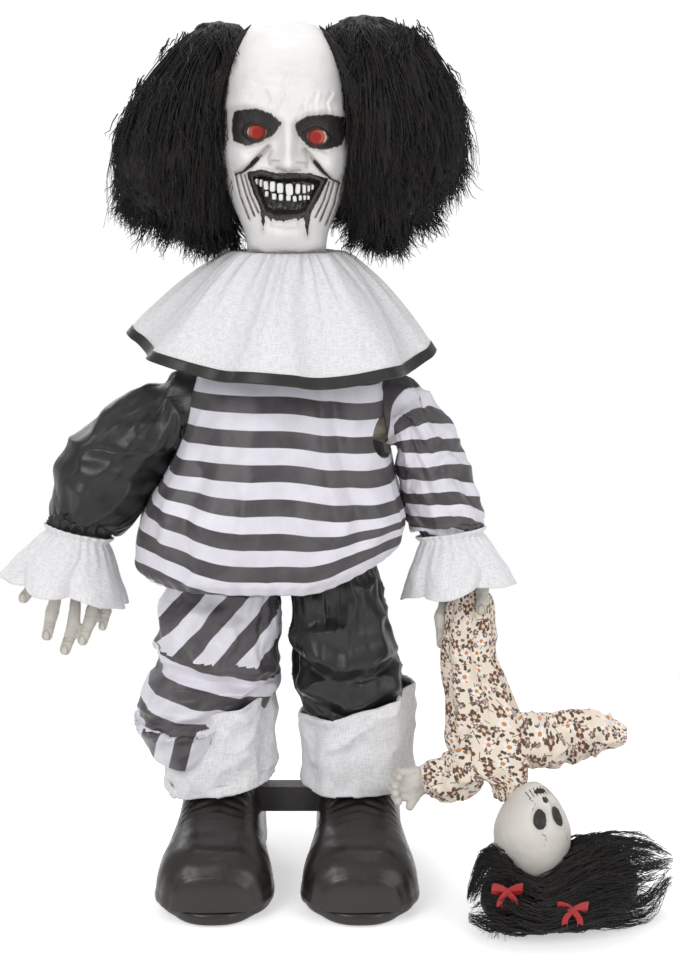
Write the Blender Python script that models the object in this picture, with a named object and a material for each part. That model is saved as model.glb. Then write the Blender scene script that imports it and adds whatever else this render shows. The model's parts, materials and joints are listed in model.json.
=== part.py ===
"""Animated Halloween clown: a walking-figure automaton that holds a rag doll by its skirt.

All lengths are in metres, +Z is up and the figure faces -Y. Right and left are the clown's own sides,
so right pieces have negative X. The drawing frame has X = 0 on the clown's midline and Z = 0 on the floor;
the finished figure is moved so that its box is centred on the origin and stands on Z = 0.
"""

import math

import bmesh
import bpy
from mathutils import Matrix, Vector

# Clearances and general thicknesses
SEAT_GAP = 0.0003
RUNNING_GAP = 0.0005
CLOTH = 0.0030
BEARING_SIDES = 12

# Boots
BOOT_SPREAD = 0.0745
BOOT_WALL = 0.0030
BOOT_SIDE_POWER = 0.72
BOOT_TOP_POWER = 0.80
SOLE_THICKNESS = 0.0140
SOLE_WELT = 0.0030
TOE_WIDTH = 0.1200
HEEL_WIDTH = 0.0900
BOOT_HEIGHT = 0.1180
TOE_HEIGHT = 0.0760
TOE_REACH = 0.1580
HEEL_REACH = 0.0600
ANKLE_OPENING_RADIUS = 0.0330
ANKLE_OPENING_SET_BACK = 0.0060

# Foot frame and legs
ANKLE_HEIGHT = 0.0730
HIP_HEIGHT = 0.3450
HEAD_PLATE_RISE = 0.2950
HEAD_PLATE_HEIGHT = HIP_HEIGHT + HEAD_PLATE_RISE
CROSSBAR_HEIGHT = 0.0280
CROSSBAR_DEPTH = 0.0200
CHEEK_THICKNESS = 0.0030
FOOT_PLATE_LENGTH = 0.0700
FOOT_PLATE_WIDTH = 0.0440
FOOT_PLATE_THICKNESS = 0.0030
PIN_RADIUS = 0.0030
PIN_HEAD_RADIUS = 0.0050
PIN_HEAD_THICKNESS = 0.0020
STRUT_RADIUS = 0.0090
EYE_RADIUS = 0.0120
EYE_WIDTH = 0.0220

# Pelvis and the drive that sways the figure
BEAM_THICKNESS = 0.0160
BEAM_CLEARANCE = 0.0030
BEAM_OVERHANG = 0.0140
HIP_SHAFT_RADIUS = 0.0040
SWAY_BOX_WIDTH = 0.0500
SWAY_BOX_DEPTH = 0.0300
SWAY_BOX_DROP = 0.0110
SWAY_BOX_RISE = 0.0270
SWAY_MOTOR_RADIUS = 0.0110
SWAY_MOTOR_LENGTH = 0.0300

# Spine and torso shells
SPINE_RADIUS = 0.0120
SPINE_WALL = 0.0020
HEAD_BOX_DROP = 0.1100
SPINE_TOP = HEAD_PLATE_HEIGHT - HEAD_BOX_DROP
SHELL_WALL = 0.0025
SHELL_SHAPE = 3.5
CLOTH_SHAPE = 2.2
SHELL_STATIONS = (
    # share of the way from the hips to the head plate, half width, half depth
    (0.1068, 0.066, 0.046),
    (0.1864, 0.080, 0.054),
    (0.3559, 0.085, 0.058),
    (0.5254, 0.088, 0.058),
    (0.6610, 0.084, 0.055),
    (0.7288, 0.072, 0.050),
    (0.7797, 0.054, 0.044),
    (0.8237, 0.042, 0.039),
    (0.8712, 0.036, 0.036),
    (0.9729, 0.034, 0.034),
)

# Shoulders and arms
SHOULDER_RISE = 0.1400
SHOULDER_HEIGHT = HIP_HEIGHT + SHOULDER_RISE
HUB_RADIUS = 0.0165
HUB_NECK_RADIUS = 0.0140
HUB_FLANGE_RADIUS = 0.0190
HUB_REACH = 0.1085
HUB_INNER = 0.0760
HUB_SLACK = 0.0048
ARM_TUBE_RADIUS = 0.0055

# Rear control panel
PANEL_HALF_WIDTH = 0.0450
PANEL_RISE = 0.0580
PANEL_HEIGHT = 0.1090
PANEL_BOTTOM = HIP_HEIGHT + PANEL_RISE
PANEL_TOP = PANEL_BOTTOM + PANEL_HEIGHT
PANEL_FACE = 0.0640
PANEL_THICKNESS = 0.0060
CELL_RADIUS = 0.00725
CELL_LENGTH = 0.0505
CELL_COUNT = 3
CELL_PITCH = 0.0152
BOX_WALL = 0.0020
DOOR_THICKNESS = 0.0022
DOOR_BARREL_RADIUS = 0.0022
DOOR_TRUNNION_RADIUS = 0.0012
DOOR_OVERLAP = 0.0030
EAR_THICKNESS = 0.0030
CONTROL_RISE = 0.0890
SWITCH_PLACE = (-0.0200, PANEL_BOTTOM + CONTROL_RISE)
SWITCH_SIZE = (0.0080, 0.0050)
SWITCH_TRAVEL = 0.0030
BUTTON_PLACE = (0.0220, PANEL_BOTTOM + CONTROL_RISE)
BUTTON_RADIUS = 0.0075
BUTTON_TRAVEL = 0.0030
BOARD_SIZE = (0.0800, 0.0016, 0.0300)
BOARD_STANDOFF = 0.0070
SPEAKER_RADIUS = 0.0250
SPEAKER_DEPTH = 0.0180
SPEAKER_RISE = 0.1300
SPEAKER_HEIGHT = HIP_HEIGHT + SPEAKER_RISE
SPEAKER_SET_BACK = 0.0019

# Head drive
HEAD_BOX_SIZE = (0.0440, 0.0320, 0.0300)
NECK_SHAFT_RADIUS = 0.0040
HEAD_PLATE_RADIUS = 0.0370
HEAD_PLATE_THICKNESS = 0.0040
PLATE_SIDES = 20
HEAD_MOTOR_RADIUS = 0.0100
HEAD_MOTOR_LENGTH = 0.0280

# Head
HEAD_WALL = 0.0030
HEAD_COLUMNS = 22
SOCKET_DEPTH = 0.0080
HEAD_STATIONS = (
    # height above the head plate, half width, front, back
    (-0.0040, 0.0410, -0.0410, 0.0410),
    (0.0220, 0.0400, -0.0430, 0.0430),
    (0.0320, 0.0405, -0.0690, 0.0500),
    (0.0440, 0.0430, -0.0790, 0.0590),
    (0.0600, 0.0500, -0.0800, 0.0700),
    (0.0800, 0.0575, -0.0800, 0.0810),
    (0.1020, 0.0625, -0.0780, 0.0890),
    (0.1200, 0.0670, -0.0745, 0.0940),
    (0.1380, 0.0660, -0.0730, 0.0965),
    (0.1570, 0.0640, -0.0765, 0.0960),
    (0.1800, 0.0630, -0.0755, 0.0940),
    (0.2030, 0.0590, -0.0680, 0.0880),
    (0.2220, 0.0510, -0.0560, 0.0740),
    (0.2370, 0.0380, -0.0380, 0.0520),
    (0.2450, 0.0230, -0.0200, 0.0310),
    (0.2480, 0.0080, -0.0050, 0.0100),
)
NOSE_REACH = 0.0260
NOSE_WIDTH = 0.0120
NOSE_TIP_DROP = 0.0290
NOSE_BRIDGE_RISE = 0.0090
MOUTH_DROP = 0.0585
FACE_SHIFT = 0.0028
FACE_TILT = 0.0800
EYE_SPREAD = 0.0285
EYE_RISE = 0.1370
EYE_HEIGHT = HEAD_PLATE_HEIGHT + EYE_RISE
LENS_RADIUS = 0.0110
LENS_SEAT = -0.0600
LENS_DEPTH = 0.0080
LIGHT_BOARD_OVERHANG = 0.0080
LIGHT_BOARD_THICKNESS = 0.0016
LIGHT_BOARD_HEIGHT = 0.0100
LED_RADIUS = 0.0025
LED_LENGTH = 0.0060

# Hair at each side: height above the head plate, inner reach, outer reach, half depth
HAIR_CENTRE_Y = 0.0100
HAIR_STATIONS = (
    (0.0260, 0.0600, 0.1060, 0.026),
    (0.0440, 0.0470, 0.1450, 0.058),
    (0.0750, 0.0450, 0.1640, 0.078),
    (0.1100, 0.0450, 0.1740, 0.086),
    (0.1500, 0.0450, 0.1750, 0.087),
    (0.1850, 0.0450, 0.1640, 0.082),
    (0.2150, 0.0450, 0.1450, 0.073),
    (0.2400, 0.0440, 0.1180, 0.056),
    (0.2570, 0.0520, 0.0880, 0.028),
)

# Shirt below the shoulders: share of the way from the hips to the head plate, centre x, centre y,
# half width, half depth. Above, it follows the shell.
SHIRT_STATIONS = (
    (-0.0644, -0.0200, -0.0120, 0.1140, 0.0880),
    (-0.0305, -0.0200, -0.0140, 0.1300, 0.1020),
    (0.0508, -0.0190, -0.0150, 0.1380, 0.1080),
    (0.1864, -0.0140, -0.0140, 0.1340, 0.1050),
    (0.2881, -0.0090, -0.0110, 0.1200, 0.0980),
    (0.3898, -0.0040, -0.0070, 0.1090, 0.0910),
    (0.5254, -0.0020, -0.0030, 0.1030, 0.0830),
    (0.6271, 0.0000, 0.0000, 0.0970, 0.0720),
)
SHIRT_SHOULDER_STATIONS = slice(5, 8)
SHIRT_NECK_RADIUS = 0.0475
SHIRT_NECK_BOTTOM = HEAD_PLATE_HEIGHT - 0.0250
SHIRT_NECK_TOP = HEAD_PLATE_HEIGHT + 0.0220
SHIRT_SHAPE = 2.6
SHIRT_FOLDS = 6
SHIRT_COLUMNS = 24
SHIRT_FOLD_DEPTH = 0.0025
ARMHOLE_RADIUS = 0.0360
ARMHOLE_RISE = 0.0100
ARMHOLE_HEIGHT = SHOULDER_HEIGHT + ARMHOLE_RISE
REAR_OPENING_SIDE_ROOM = 0.0050
REAR_OPENING_LOWER_ROOM = 0.0150
REAR_OPENING_UPPER_ROOM = 0.0040
REAR_OPENING_HALF_WIDTH = PANEL_HALF_WIDTH + REAR_OPENING_SIDE_ROOM
REAR_OPENING_BOTTOM = PANEL_BOTTOM - REAR_OPENING_LOWER_ROOM
REAR_OPENING_TOP = PANEL_TOP + REAR_OPENING_UPPER_ROOM

# Collar
COLLAR_FOLDS = 15
COLLAR_FOLD_DEPTH = 0.0060
COLLAR_TOP = SHIRT_NECK_TOP + 0.0010
COLLAR_NECK_RADIUS = 0.0514
COLLAR_FALL = 0.0950
COLLAR_HEM_HEIGHT = COLLAR_TOP - COLLAR_FALL
COLLAR_FRONT_DROP = 0.0260
COLLAR_SIDE_DROP = 0.0090
COLLAR_HEM_WIDTH = 0.1510
COLLAR_HEM_DEPTH = 0.1320
TRIM_WIDTH = 0.0110


def on_arm(x, y, rise):
    """A point of an arm, with its height measured from the shoulder axis."""
    return (x, y, SHOULDER_HEIGHT + rise)


# Sleeves: centre and radius from the shoulder seam to the wrist
RIGHT_SLEEVE = (
    (on_arm(-0.1100, 0.000, 0.0120), 0.0350),
    (on_arm(-0.1380, -0.003, 0.0050), 0.0350),
    (on_arm(-0.1700, -0.008, -0.0170), 0.0420),
    (on_arm(-0.2000, -0.013, -0.0530), 0.0500),
    (on_arm(-0.2120, -0.019, -0.0830), 0.0480),
    (on_arm(-0.2160, -0.024, -0.1010), 0.0400),
    (on_arm(-0.2180, -0.027, -0.1140), 0.0280),
)
LEFT_SLEEVE = (
    (on_arm(0.1100, 0.000, 0.0100), 0.0350),
    (on_arm(0.1310, -0.004, -0.0020), 0.0340),
    (on_arm(0.1490, -0.010, -0.0330), 0.0350),
    (on_arm(0.1600, -0.015, -0.0630), 0.0350),
    (on_arm(0.1660, -0.020, -0.0870), 0.0370),
    (on_arm(0.1690, -0.024, -0.1040), 0.0370),
    (on_arm(0.1700, -0.026, -0.1150), 0.0270),
)
SLEEVE_FOLDS = 7
SLEEVE_FOLD_DEPTH = 0.0025
CUFF_FOLDS = 5
CUFF_FOLD_DEPTH = 0.0060
RIGHT_CUFF = (on_arm(-0.2182, -0.0272, -0.1148), on_arm(-0.2320, -0.0340, -0.1690), 0.0640)
LEFT_CUFF = (on_arm(0.1701, -0.0261, -0.1158), on_arm(0.1725, -0.0340, -0.1770), 0.0560)
CUFF_WRIST_RADIUS = 0.0280

# Hands
FINGER_RADIUS = 0.0078
FINGERTIP_RADIUS = 0.0066
LITTLE_FINGER_SHARE = 0.78
RIGHT_WRIST = on_arm(-0.2200, -0.030, -0.1350)
RIGHT_PALM = (on_arm(-0.2130, -0.038, -0.1560), (0.0310, 0.0105, 0.0240))
RIGHT_FINGERS = (
    # knuckle, middle joint, tip
    (on_arm(-0.2370, -0.038, -0.1490), on_arm(-0.2600, -0.042, -0.1590), on_arm(-0.2730, -0.046, -0.1750)),
    (on_arm(-0.2370, -0.042, -0.1640), on_arm(-0.2439, -0.047, -0.1900), on_arm(-0.2495, -0.050, -0.2140)),
    (on_arm(-0.2179, -0.043, -0.1650), on_arm(-0.2224, -0.049, -0.2060), on_arm(-0.2310, -0.052, -0.2290)),
    (on_arm(-0.2005, -0.042, -0.1670), on_arm(-0.2035, -0.048, -0.1960), on_arm(-0.2125, -0.051, -0.2190)),
    (on_arm(-0.1900, -0.040, -0.1660), on_arm(-0.1885, -0.044, -0.1900), on_arm(-0.1920, -0.047, -0.2055)),
)
LEFT_WRIST = on_arm(0.1730, -0.029, -0.1350)
LEFT_PALM = (on_arm(0.1830, -0.0220, -0.1670), (0.0230, 0.0090, 0.0250))
LEFT_FINGERS = (
    (on_arm(0.1960, -0.0280, -0.1520), on_arm(0.2010, -0.0490, -0.1620), on_arm(0.1985, -0.0610, -0.1830)),
    (on_arm(0.1660, -0.0260, -0.1790), on_arm(0.1590, -0.0420, -0.1970), on_arm(0.1600, -0.0480, -0.2230)),
    (on_arm(0.1760, -0.0200, -0.1870), on_arm(0.1740, -0.0220, -0.2050), on_arm(0.1740, -0.0260, -0.2190)),
    (on_arm(0.1900, -0.0200, -0.1870), on_arm(0.1920, -0.0200, -0.2050), on_arm(0.1930, -0.0220, -0.2190)),
    (on_arm(0.2010, -0.0210, -0.1810), on_arm(0.2080, -0.0210, -0.1990), on_arm(0.2100, -0.0230, -0.2130)),
)

# Trousers: share of the way from the ankle cuff to the hips, centre x, centre y, half width, half depth
RIGHT_TROUSERS = (
    (0.0962, -0.0790, -0.0060, 0.0590, 0.0590),
    (0.2949, -0.0790, -0.0060, 0.0640, 0.0630),
    (0.5064, -0.0770, -0.0050, 0.0680, 0.0650),
    (0.7115, -0.0760, -0.0050, 0.0690, 0.0640),
    (0.8526, -0.0730, -0.0040, 0.0640, 0.0580),
)
LEFT_TROUSERS = (
    (0.0962, 0.0670, -0.0060, 0.0550, 0.0590),
    (0.2949, 0.0600, -0.0060, 0.0550, 0.0630),
    (0.5064, 0.0560, -0.0050, 0.0545, 0.0650),
    (0.7115, 0.0545, -0.0050, 0.0530, 0.0640),
    (0.8526, 0.0560, -0.0040, 0.0520, 0.0580),
)
TROUSER_FOLDS = 5
TROUSER_FOLD_DEPTH = 0.0030
TROUSER_TWIST = 9.0
ANKLE_CUFF_BOTTOM = 0.0990
ANKLE_CUFF_TOP = 0.1890
ANKLE_CUFF_CENTRE = {"right": -0.0765, "left": 0.0725}
ANKLE_CUFF_HALF_WIDTH = {"right": 0.0600, "left": 0.0580}
ANKLE_CUFF_HALF_DEPTH = 0.0600
ANKLE_CUFF_SET_FORWARD = 0.0050
CLOTH_INNER_SIDES = 12
TUCK_LENGTH = 0.0390
TUCK_FOLD_ROOM = 0.0010

# Rag doll, hanging head down from the clown's left hand
GRIP_DROP = 0.1730
GRIP_HEIGHT = SHOULDER_HEIGHT - GRIP_DROP
DOLL_HEAD_HEIGHT = 0.0790
GRIP_X = 0.1870
GRIP_CLOTH = (0.0130, 0.0085)
GRIP_TAIL = 0.0060


def doll_height(share):
    """A height on the doll, from the middle of its head at 0 to the grip at 1."""
    return DOLL_HEAD_HEIGHT + share * (GRIP_HEIGHT - DOLL_HEAD_HEIGHT)


def doll_point(x, y, share):
    """A point of the doll's dress or hand."""
    return (x, y, doll_height(share))


DOLL_BODY = (
    # share of the way from the head's middle to the grip, centre x, centre y, half width, half depth
    (0.9571, 0.1880, -0.0440, 0.0110, 0.0080),
    (0.8841, 0.1900, -0.0520, 0.0190, 0.0120),
    (0.7768, 0.1930, -0.0580, 0.0250, 0.0150),
    (0.6481, 0.1930, -0.0660, 0.0280, 0.0200),
    (0.5193, 0.1930, -0.0750, 0.0320, 0.0240),
    (0.4249, 0.1950, -0.0840, 0.0400, 0.0270),
    (0.3391, 0.2010, -0.0930, 0.0420, 0.0270),
    (0.2790, 0.2090, -0.1010, 0.0320, 0.0220),
    (0.2361, 0.2150, -0.1060, 0.0170, 0.0150),
    (0.1674, 0.2230, -0.1120, 0.0110, 0.0110),
)
DOLL_RIGHT_SLEEVE = (
    (doll_point(0.1900, -0.100, 0.3000), 0.0150),
    (doll_point(0.1780, -0.102, 0.2550), 0.0205),
    (doll_point(0.1610, -0.104, 0.2400), 0.0220),
    (doll_point(0.1440, -0.105, 0.2450), 0.0170),
)
DOLL_LEFT_SLEEVE = (
    (doll_point(0.2200, -0.088, 0.3906), 0.0150),
    (doll_point(0.2450, -0.087, 0.3920), 0.0240),
    (doll_point(0.2700, -0.086, 0.3863), 0.0260),
    (doll_point(0.2955, -0.085, 0.4100), 0.0250),
    (doll_point(0.3200, -0.085, 0.4250), 0.0230),
    (doll_point(0.3420, -0.085, 0.4077), 0.0180),
)
DOLL_HAND = (doll_point(0.1260, -0.105, 0.2232), (0.0150, 0.0085, 0.0170))
DOLL_FINGER_SPREAD = (-0.0140, -0.0050, 0.0050, 0.0140)
DOLL_FINGER_REACH = 0.0240
DOLL_FINGER_RADIUS = 0.0040
DOLL_FOLD_DEPTH = 0.0015
DOLL_HEAD = ((0.2480, -0.1300, DOLL_HEAD_HEIGHT), (0.0390, 0.0400, 0.0530))
DOLL_HAIR = (
    # x, centre y, half depth, bottom, top
    (0.184, -0.165, 0.012, 0.010, 0.030),
    (0.198, -0.165, 0.032, 0.001, 0.056),
    (0.220, -0.160, 0.046, 0.0005, 0.066),
    (0.248, -0.155, 0.056, 0.0005, 0.060),
    (0.280, -0.150, 0.060, 0.0005, 0.075),
    (0.312, -0.145, 0.055, 0.0005, 0.086),
    (0.345, -0.135, 0.045, 0.0005, 0.082),
    (0.372, -0.128, 0.026, 0.006, 0.074),
    (0.386, -0.125, 0.008, 0.030, 0.062),
)
RIBBON_PLACES = ((0.2180, 0.0520), (0.2760, 0.0300))
RIBBON_SINK = 0.0015
DOLL_HAIR_SIDES = 16
DOLL_HAIR_SHAPE = 0.75
RIBBON_SPAN = 0.0320
RIBBON_HEIGHT = 0.0140
RIBBON_THICKNESS = 0.0060

SIDES = {"right": -1.0, "left": 1.0}


def clear_scene():
    """Remove whatever the new file holds."""
    for obj in list(bpy.data.objects):
        bpy.data.objects.remove(obj, do_unlink=True)


def finish(name, colour, roughness=0.5, metallic=0.0):
    """A Principled material of one plain colour."""
    made = bpy.data.materials.new(name)
    made.use_nodes = True
    shader = made.node_tree.nodes["Principled BSDF"]
    shader.inputs["Base Color"].default_value = (*colour, 1.0)
    shader.inputs["Roughness"].default_value = roughness
    shader.inputs["Metallic"].default_value = metallic
    return made


def black_plastic(name):
    return finish(name, (0.030, 0.024, 0.022), 0.35)


def grey_plastic(name):
    return finish(name, (0.070, 0.070, 0.075), 0.50)


def steel(name):
    return finish(name, (0.550, 0.560, 0.580), 0.35, 1.0)


def cream_plastic(name):
    return finish(name, (0.760, 0.710, 0.580), 0.45)


def white_cloth(name):
    return finish(name, (0.850, 0.840, 0.850), 0.90)


def black_satin(name):
    return finish(name, (0.028, 0.026, 0.026), 0.45)


def striped_satin(name):
    return finish(name, (0.420, 0.400, 0.440), 0.45)


def floral_cloth(name):
    return finish(name, (0.600, 0.480, 0.380), 0.85)


def black_fibre(name):
    return finish(name, (0.016, 0.014, 0.013), 0.60)


class Frame:
    """An unrotated empty on a joint axis, which carries the pieces of one moving body."""

    def __init__(self, name, place, parent=None):
        self.place = Vector(place)
        self.empty = bpy.data.objects.new(name, None)
        self.empty.empty_display_size = 0.02
        bpy.context.scene.collection.objects.link(self.empty)
        if parent:
            self.empty.parent = parent.empty
            self.empty.location = self.place - parent.place
        else:
            self.empty.location = self.place

    def add(self, name, mesh_builder, material, origin=None):
        """Turn a bmesh drawn in the figure's frame into a named piece of this body."""
        start = Vector(origin) if origin else self.place
        bmesh.ops.translate(mesh_builder, vec=-start, verts=mesh_builder.verts)
        bmesh.ops.recalc_face_normals(mesh_builder, faces=mesh_builder.faces)
        mesh = bpy.data.meshes.new(name)
        mesh_builder.to_mesh(mesh)
        mesh_builder.free()
        mesh.materials.append(material)
        mesh.shade_smooth()
        mesh.set_sharp_from_angle(angle=math.radians(35.0))
        piece = bpy.data.objects.new(name, mesh)
        piece.parent = self.empty
        piece.location = start - self.place
        bpy.context.scene.collection.objects.link(piece)
        return piece


def helper(mesh_builder, name):
    """A hidden object that cuts or extends a piece."""
    bmesh.ops.recalc_face_normals(mesh_builder, faces=mesh_builder.faces)
    mesh = bpy.data.meshes.new(name)
    mesh_builder.to_mesh(mesh)
    mesh_builder.free()
    guide = bpy.data.objects.new(name, mesh)
    guide.hide_render = True
    guide.display_type = "WIRE"
    bpy.context.scene.collection.objects.link(guide)
    return guide


def combine(piece, mesh_builder, operation):
    """Cut or extend a piece with a shape drawn in the figure's frame."""
    guide = helper(mesh_builder, piece.name + "_guide")
    guide.parent = piece.parent
    guide.location = -frame_place(piece.parent)
    modifier = piece.modifiers.new(operation.lower(), "BOOLEAN")
    modifier.operation = operation
    modifier.object = guide
    modifier.solver = "EXACT"


def frame_place(empty):
    """Where an empty stands in the figure's frame."""
    place = Vector((0.0, 0.0, 0.0))
    while empty:
        place += empty.location
        empty = empty.parent
    return place


def cut(piece, *shapes):
    for shape in shapes:
        combine(piece, shape, "DIFFERENCE")


def extend(piece, *shapes):
    for shape in shapes:
        combine(piece, shape, "UNION")


def box(low, high):
    """A box between two corners."""
    shape = bmesh.new()
    low = Vector(low)
    high = Vector(high)
    bmesh.ops.create_cube(shape, size=1.0)
    size = Matrix.Diagonal((*(high - low), 1.0))
    bmesh.ops.transform(shape, matrix=Matrix.Translation((low + high) / 2) @ size, verts=shape.verts)
    return shape


def bevelled_box(low, high, width, segments=1):
    shape = box(low, high)
    bmesh.ops.bevel(shape, geom=shape.edges[:], offset=width, segments=segments, affect="EDGES", profile=0.5)
    return shape


AXIS_TURNS = {
    "x": Matrix.Rotation(math.radians(90.0), 4, "Y"),
    "y": Matrix.Rotation(math.radians(-90.0), 4, "X"),
    "z": Matrix.Identity(4),
}


def turned(axis, centre, profile, sides=BEARING_SIDES):
    """A solid of revolution: profile points are (distance along the axis, radius)."""
    rings = []
    shape = bmesh.new()
    turn = Matrix.Translation(centre) @ AXIS_TURNS[axis]
    for along, radius in profile:
        ring = []
        for step in range(sides):
            angle = 2.0 * math.pi * step / sides
            point = Vector((radius * math.cos(angle), radius * math.sin(angle), along))
            ring.append(turn @ point)
        rings.append(ring)
    skin(shape, rings)
    return shape


def rod(axis, centre, radius, start, end, sides=BEARING_SIDES):
    return turned(axis, centre, ((start, radius), (end, radius)), sides)


def bore(radius, gap=SEAT_GAP, sides=BEARING_SIDES):
    """Radius of a faceted hole whose flats clear a round piece of the given radius."""
    return (radius + gap) / math.cos(math.pi / sides)


def add_ring(shape, ring):
    return [shape.verts.new(point) for point in ring]


def bridge(shape, first, second, split):
    """Faces between two rings. Lofts are split along one diagonal, so that copies match."""
    count = len(first)
    for step in range(count):
        following = (step + 1) % count
        if split:
            shape.faces.new((first[step], first[following], second[following]))
            shape.faces.new((first[step], second[following], second[step]))
        else:
            shape.faces.new((first[step], first[following], second[following], second[step]))


def skin(shape, rings, split=False):
    """A closed skin over rings of equal count, capped at both ends."""
    made = [add_ring(shape, ring) for ring in rings]
    for first, second in zip(made, made[1:]):
        bridge(shape, first, second, split)
    shape.faces.new(made[0])
    shape.faces.new(made[-1])
    return made


def closed_loft(rings):
    shape = bmesh.new()
    skin(shape, rings, split=True)
    return shape


def open_tube(outer, inner):
    """A wall with open ends: the outer and inner rings may differ in count."""
    shape = bmesh.new()
    ends = []
    for rings in (outer, inner):
        made = [add_ring(shape, ring) for ring in rings]
        for first, second in zip(made, made[1:]):
            bridge(shape, first, second, split=True)
        ends.append((made[0], made[-1]))
    for outer_end, inner_end in zip(*ends):
        close_rim(shape, outer_end, inner_end)
    return shape


def close_rim(shape, first, second):
    """Fill between two rings that start at the same angle, whatever their counts."""
    i = 0
    j = 0
    while i < len(first) or j < len(second):
        here = first[i % len(first)]
        there = second[j % len(second)]
        if (i + 1) * len(second) <= (j + 1) * len(first):
            i += 1
            shape.faces.new((here, first[i % len(first)], there))
        else:
            j += 1
            shape.faces.new((here, second[j % len(second)], there))


def signed_power(value, power):
    return math.copysign(abs(value) ** power, value)


def oval(height, centre, half_width, half_depth, count, shape=2.0, folds=None):
    """A level ring. folds is a function of the angle that gives a radial offset."""
    ring = []
    for step in range(count):
        angle = 2.0 * math.pi * step / count
        grow = folds(angle) if folds else 0.0
        x = (half_width + grow) * signed_power(math.cos(angle), 2.0 / shape)
        y = (half_depth + grow) * signed_power(math.sin(angle), 2.0 / shape)
        ring.append(Vector((centre[0] + x, centre[1] + y, height)))
    return ring


def limb_ring(centre, direction, radius, count, folds=None):
    """A ring square to a limb's direction."""
    along = Vector(direction).normalized()
    side = along.cross(Vector((0.0, 1.0, 0.0))).normalized()
    front = side.cross(along)
    ring = []
    for step in range(count):
        angle = 2.0 * math.pi * step / count
        reach = radius + (folds(angle) if folds else 0.0)
        offset = side * math.cos(angle) + front * math.sin(angle)
        ring.append(Vector(centre) + offset * reach)
    return ring


def limb_rings(stations, count, folds=None, inset=0.0, start=None, end=None):
    """Rings along a limb, each square to the line between its neighbours, or to start and end at its ends."""
    rings = []
    last = len(stations) - 1
    for index, (centre, radius) in enumerate(stations):
        before = Vector(stations[max(index - 1, 0)][0])
        after = Vector(stations[min(index + 1, len(stations) - 1)][0])
        along = after - before
        if start and index == 0:
            along = Vector(start)
        if end and index == last:
            along = Vector(end)
        wave = fold_wave(folds, index, len(stations)) if folds else None
        rings.append(limb_ring(centre, along, radius - inset, count, wave))
    return rings


def fold_wave(folds, index, total):
    """Folds that grow from both ends of a limb towards its middle and twist along it."""
    number, depth, twist = folds
    fade = math.sin(math.pi * index / (total - 1))
    return lambda angle: depth * fade * math.cos(number * angle + twist * index)


def boot_ring(y, half_width, height, floor, count):
    """An arch across the boot with a flat underside."""
    ring = []
    for step in range(count):
        angle = math.pi * step / (count - 1)
        x = half_width * signed_power(math.cos(angle), BOOT_SIDE_POWER)
        z = floor + (height - floor) * math.sin(angle) ** BOOT_TOP_POWER
        ring.append(Vector((x, y, z)))
    return ring


def boot_stations():
    """Heel to toe: y, half width, height."""
    heel = HEEL_WIDTH / 2
    toe = TOE_WIDTH / 2
    return (
        (HEEL_REACH, heel * 0.50, BOOT_HEIGHT * 0.50),
        (HEEL_REACH - 0.007, heel * 0.82, BOOT_HEIGHT * 0.78),
        (HEEL_REACH - 0.022, heel * 0.98, BOOT_HEIGHT),
        (HEEL_REACH - 0.068, heel * 1.02, BOOT_HEIGHT),
        (HEEL_REACH - 0.100, heel * 1.07, BOOT_HEIGHT * 0.86),
        (-TOE_REACH + 0.078, toe * 0.93, TOE_HEIGHT * 1.08),
        (-TOE_REACH + 0.050, toe, TOE_HEIGHT),
        (-TOE_REACH + 0.022, toe * 0.93, TOE_HEIGHT * 0.88),
        (-TOE_REACH + 0.006, toe * 0.70, TOE_HEIGHT * 0.66),
        (-TOE_REACH, toe * 0.42, TOE_HEIGHT * 0.48),
    )


def boot_solid(centre_x, inset, floor, count):
    rings = []
    stations = boot_stations()
    for index, (y, half_width, height) in enumerate(stations):
        if index == 0:
            y -= inset
        if index == len(stations) - 1:
            y += inset
        ring = boot_ring(y, half_width - inset, height - inset, floor, count)
        rings.append([point + Vector((centre_x, 0.0, 0.0)) for point in ring])
    return closed_loft(rings)


def sole_outline(centre_x, grow):
    """The boot's footprint, grown outwards."""
    points = []
    stations = boot_stations()
    for y, half_width, _ in stations:
        points.append((centre_x + half_width + grow, y))
    for y, half_width, _ in reversed(stations):
        points.append((centre_x - half_width - grow, y))
    middle = (HEEL_REACH - TOE_REACH) / 2
    half_length = (HEEL_REACH + TOE_REACH) / 2
    stretch = (half_length + grow) / half_length
    return [Vector((x, middle + (y - middle) * stretch, 0.0)) for x, y in points]


def build_boots(base):
    """Moulded uppers, open at the ankle and slotted for the cross bar, each on its own sole."""
    floor = SOLE_THICKNESS + SEAT_GAP
    for side, sign in SIDES.items():
        centre_x = sign * BOOT_SPREAD
        upper = base.add(side + "_boot", boot_solid(centre_x, 0.0, floor, 13), black_plastic(side + "_boot"))
        cut(upper, boot_solid(centre_x, BOOT_WALL, floor - 0.010, 9))
        opening = (centre_x, ANKLE_OPENING_SET_BACK, 0.0)
        cut(upper, rod("z", opening, ANKLE_OPENING_RADIUS, BOOT_HEIGHT * 0.75, BOOT_HEIGHT * 1.2))
        half_slot = CROSSBAR_DEPTH / 2 + RUNNING_GAP
        slot_rise = CROSSBAR_HEIGHT / 2 + RUNNING_GAP
        low = (min(centre_x, 0.0), -half_slot, ANKLE_HEIGHT - slot_rise)
        high = (max(centre_x, 0.0), half_slot, ANKLE_HEIGHT + slot_rise)
        cut(upper, box(low, high))
        outline = sole_outline(centre_x, SOLE_WELT)
        rings = []
        for height in (0.0, SOLE_THICKNESS):
            rings.append([point + Vector((0.0, 0.0, height)) for point in outline])
        base.add(side + "_sole", closed_loft(rings), black_plastic(side + "_sole"))


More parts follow.
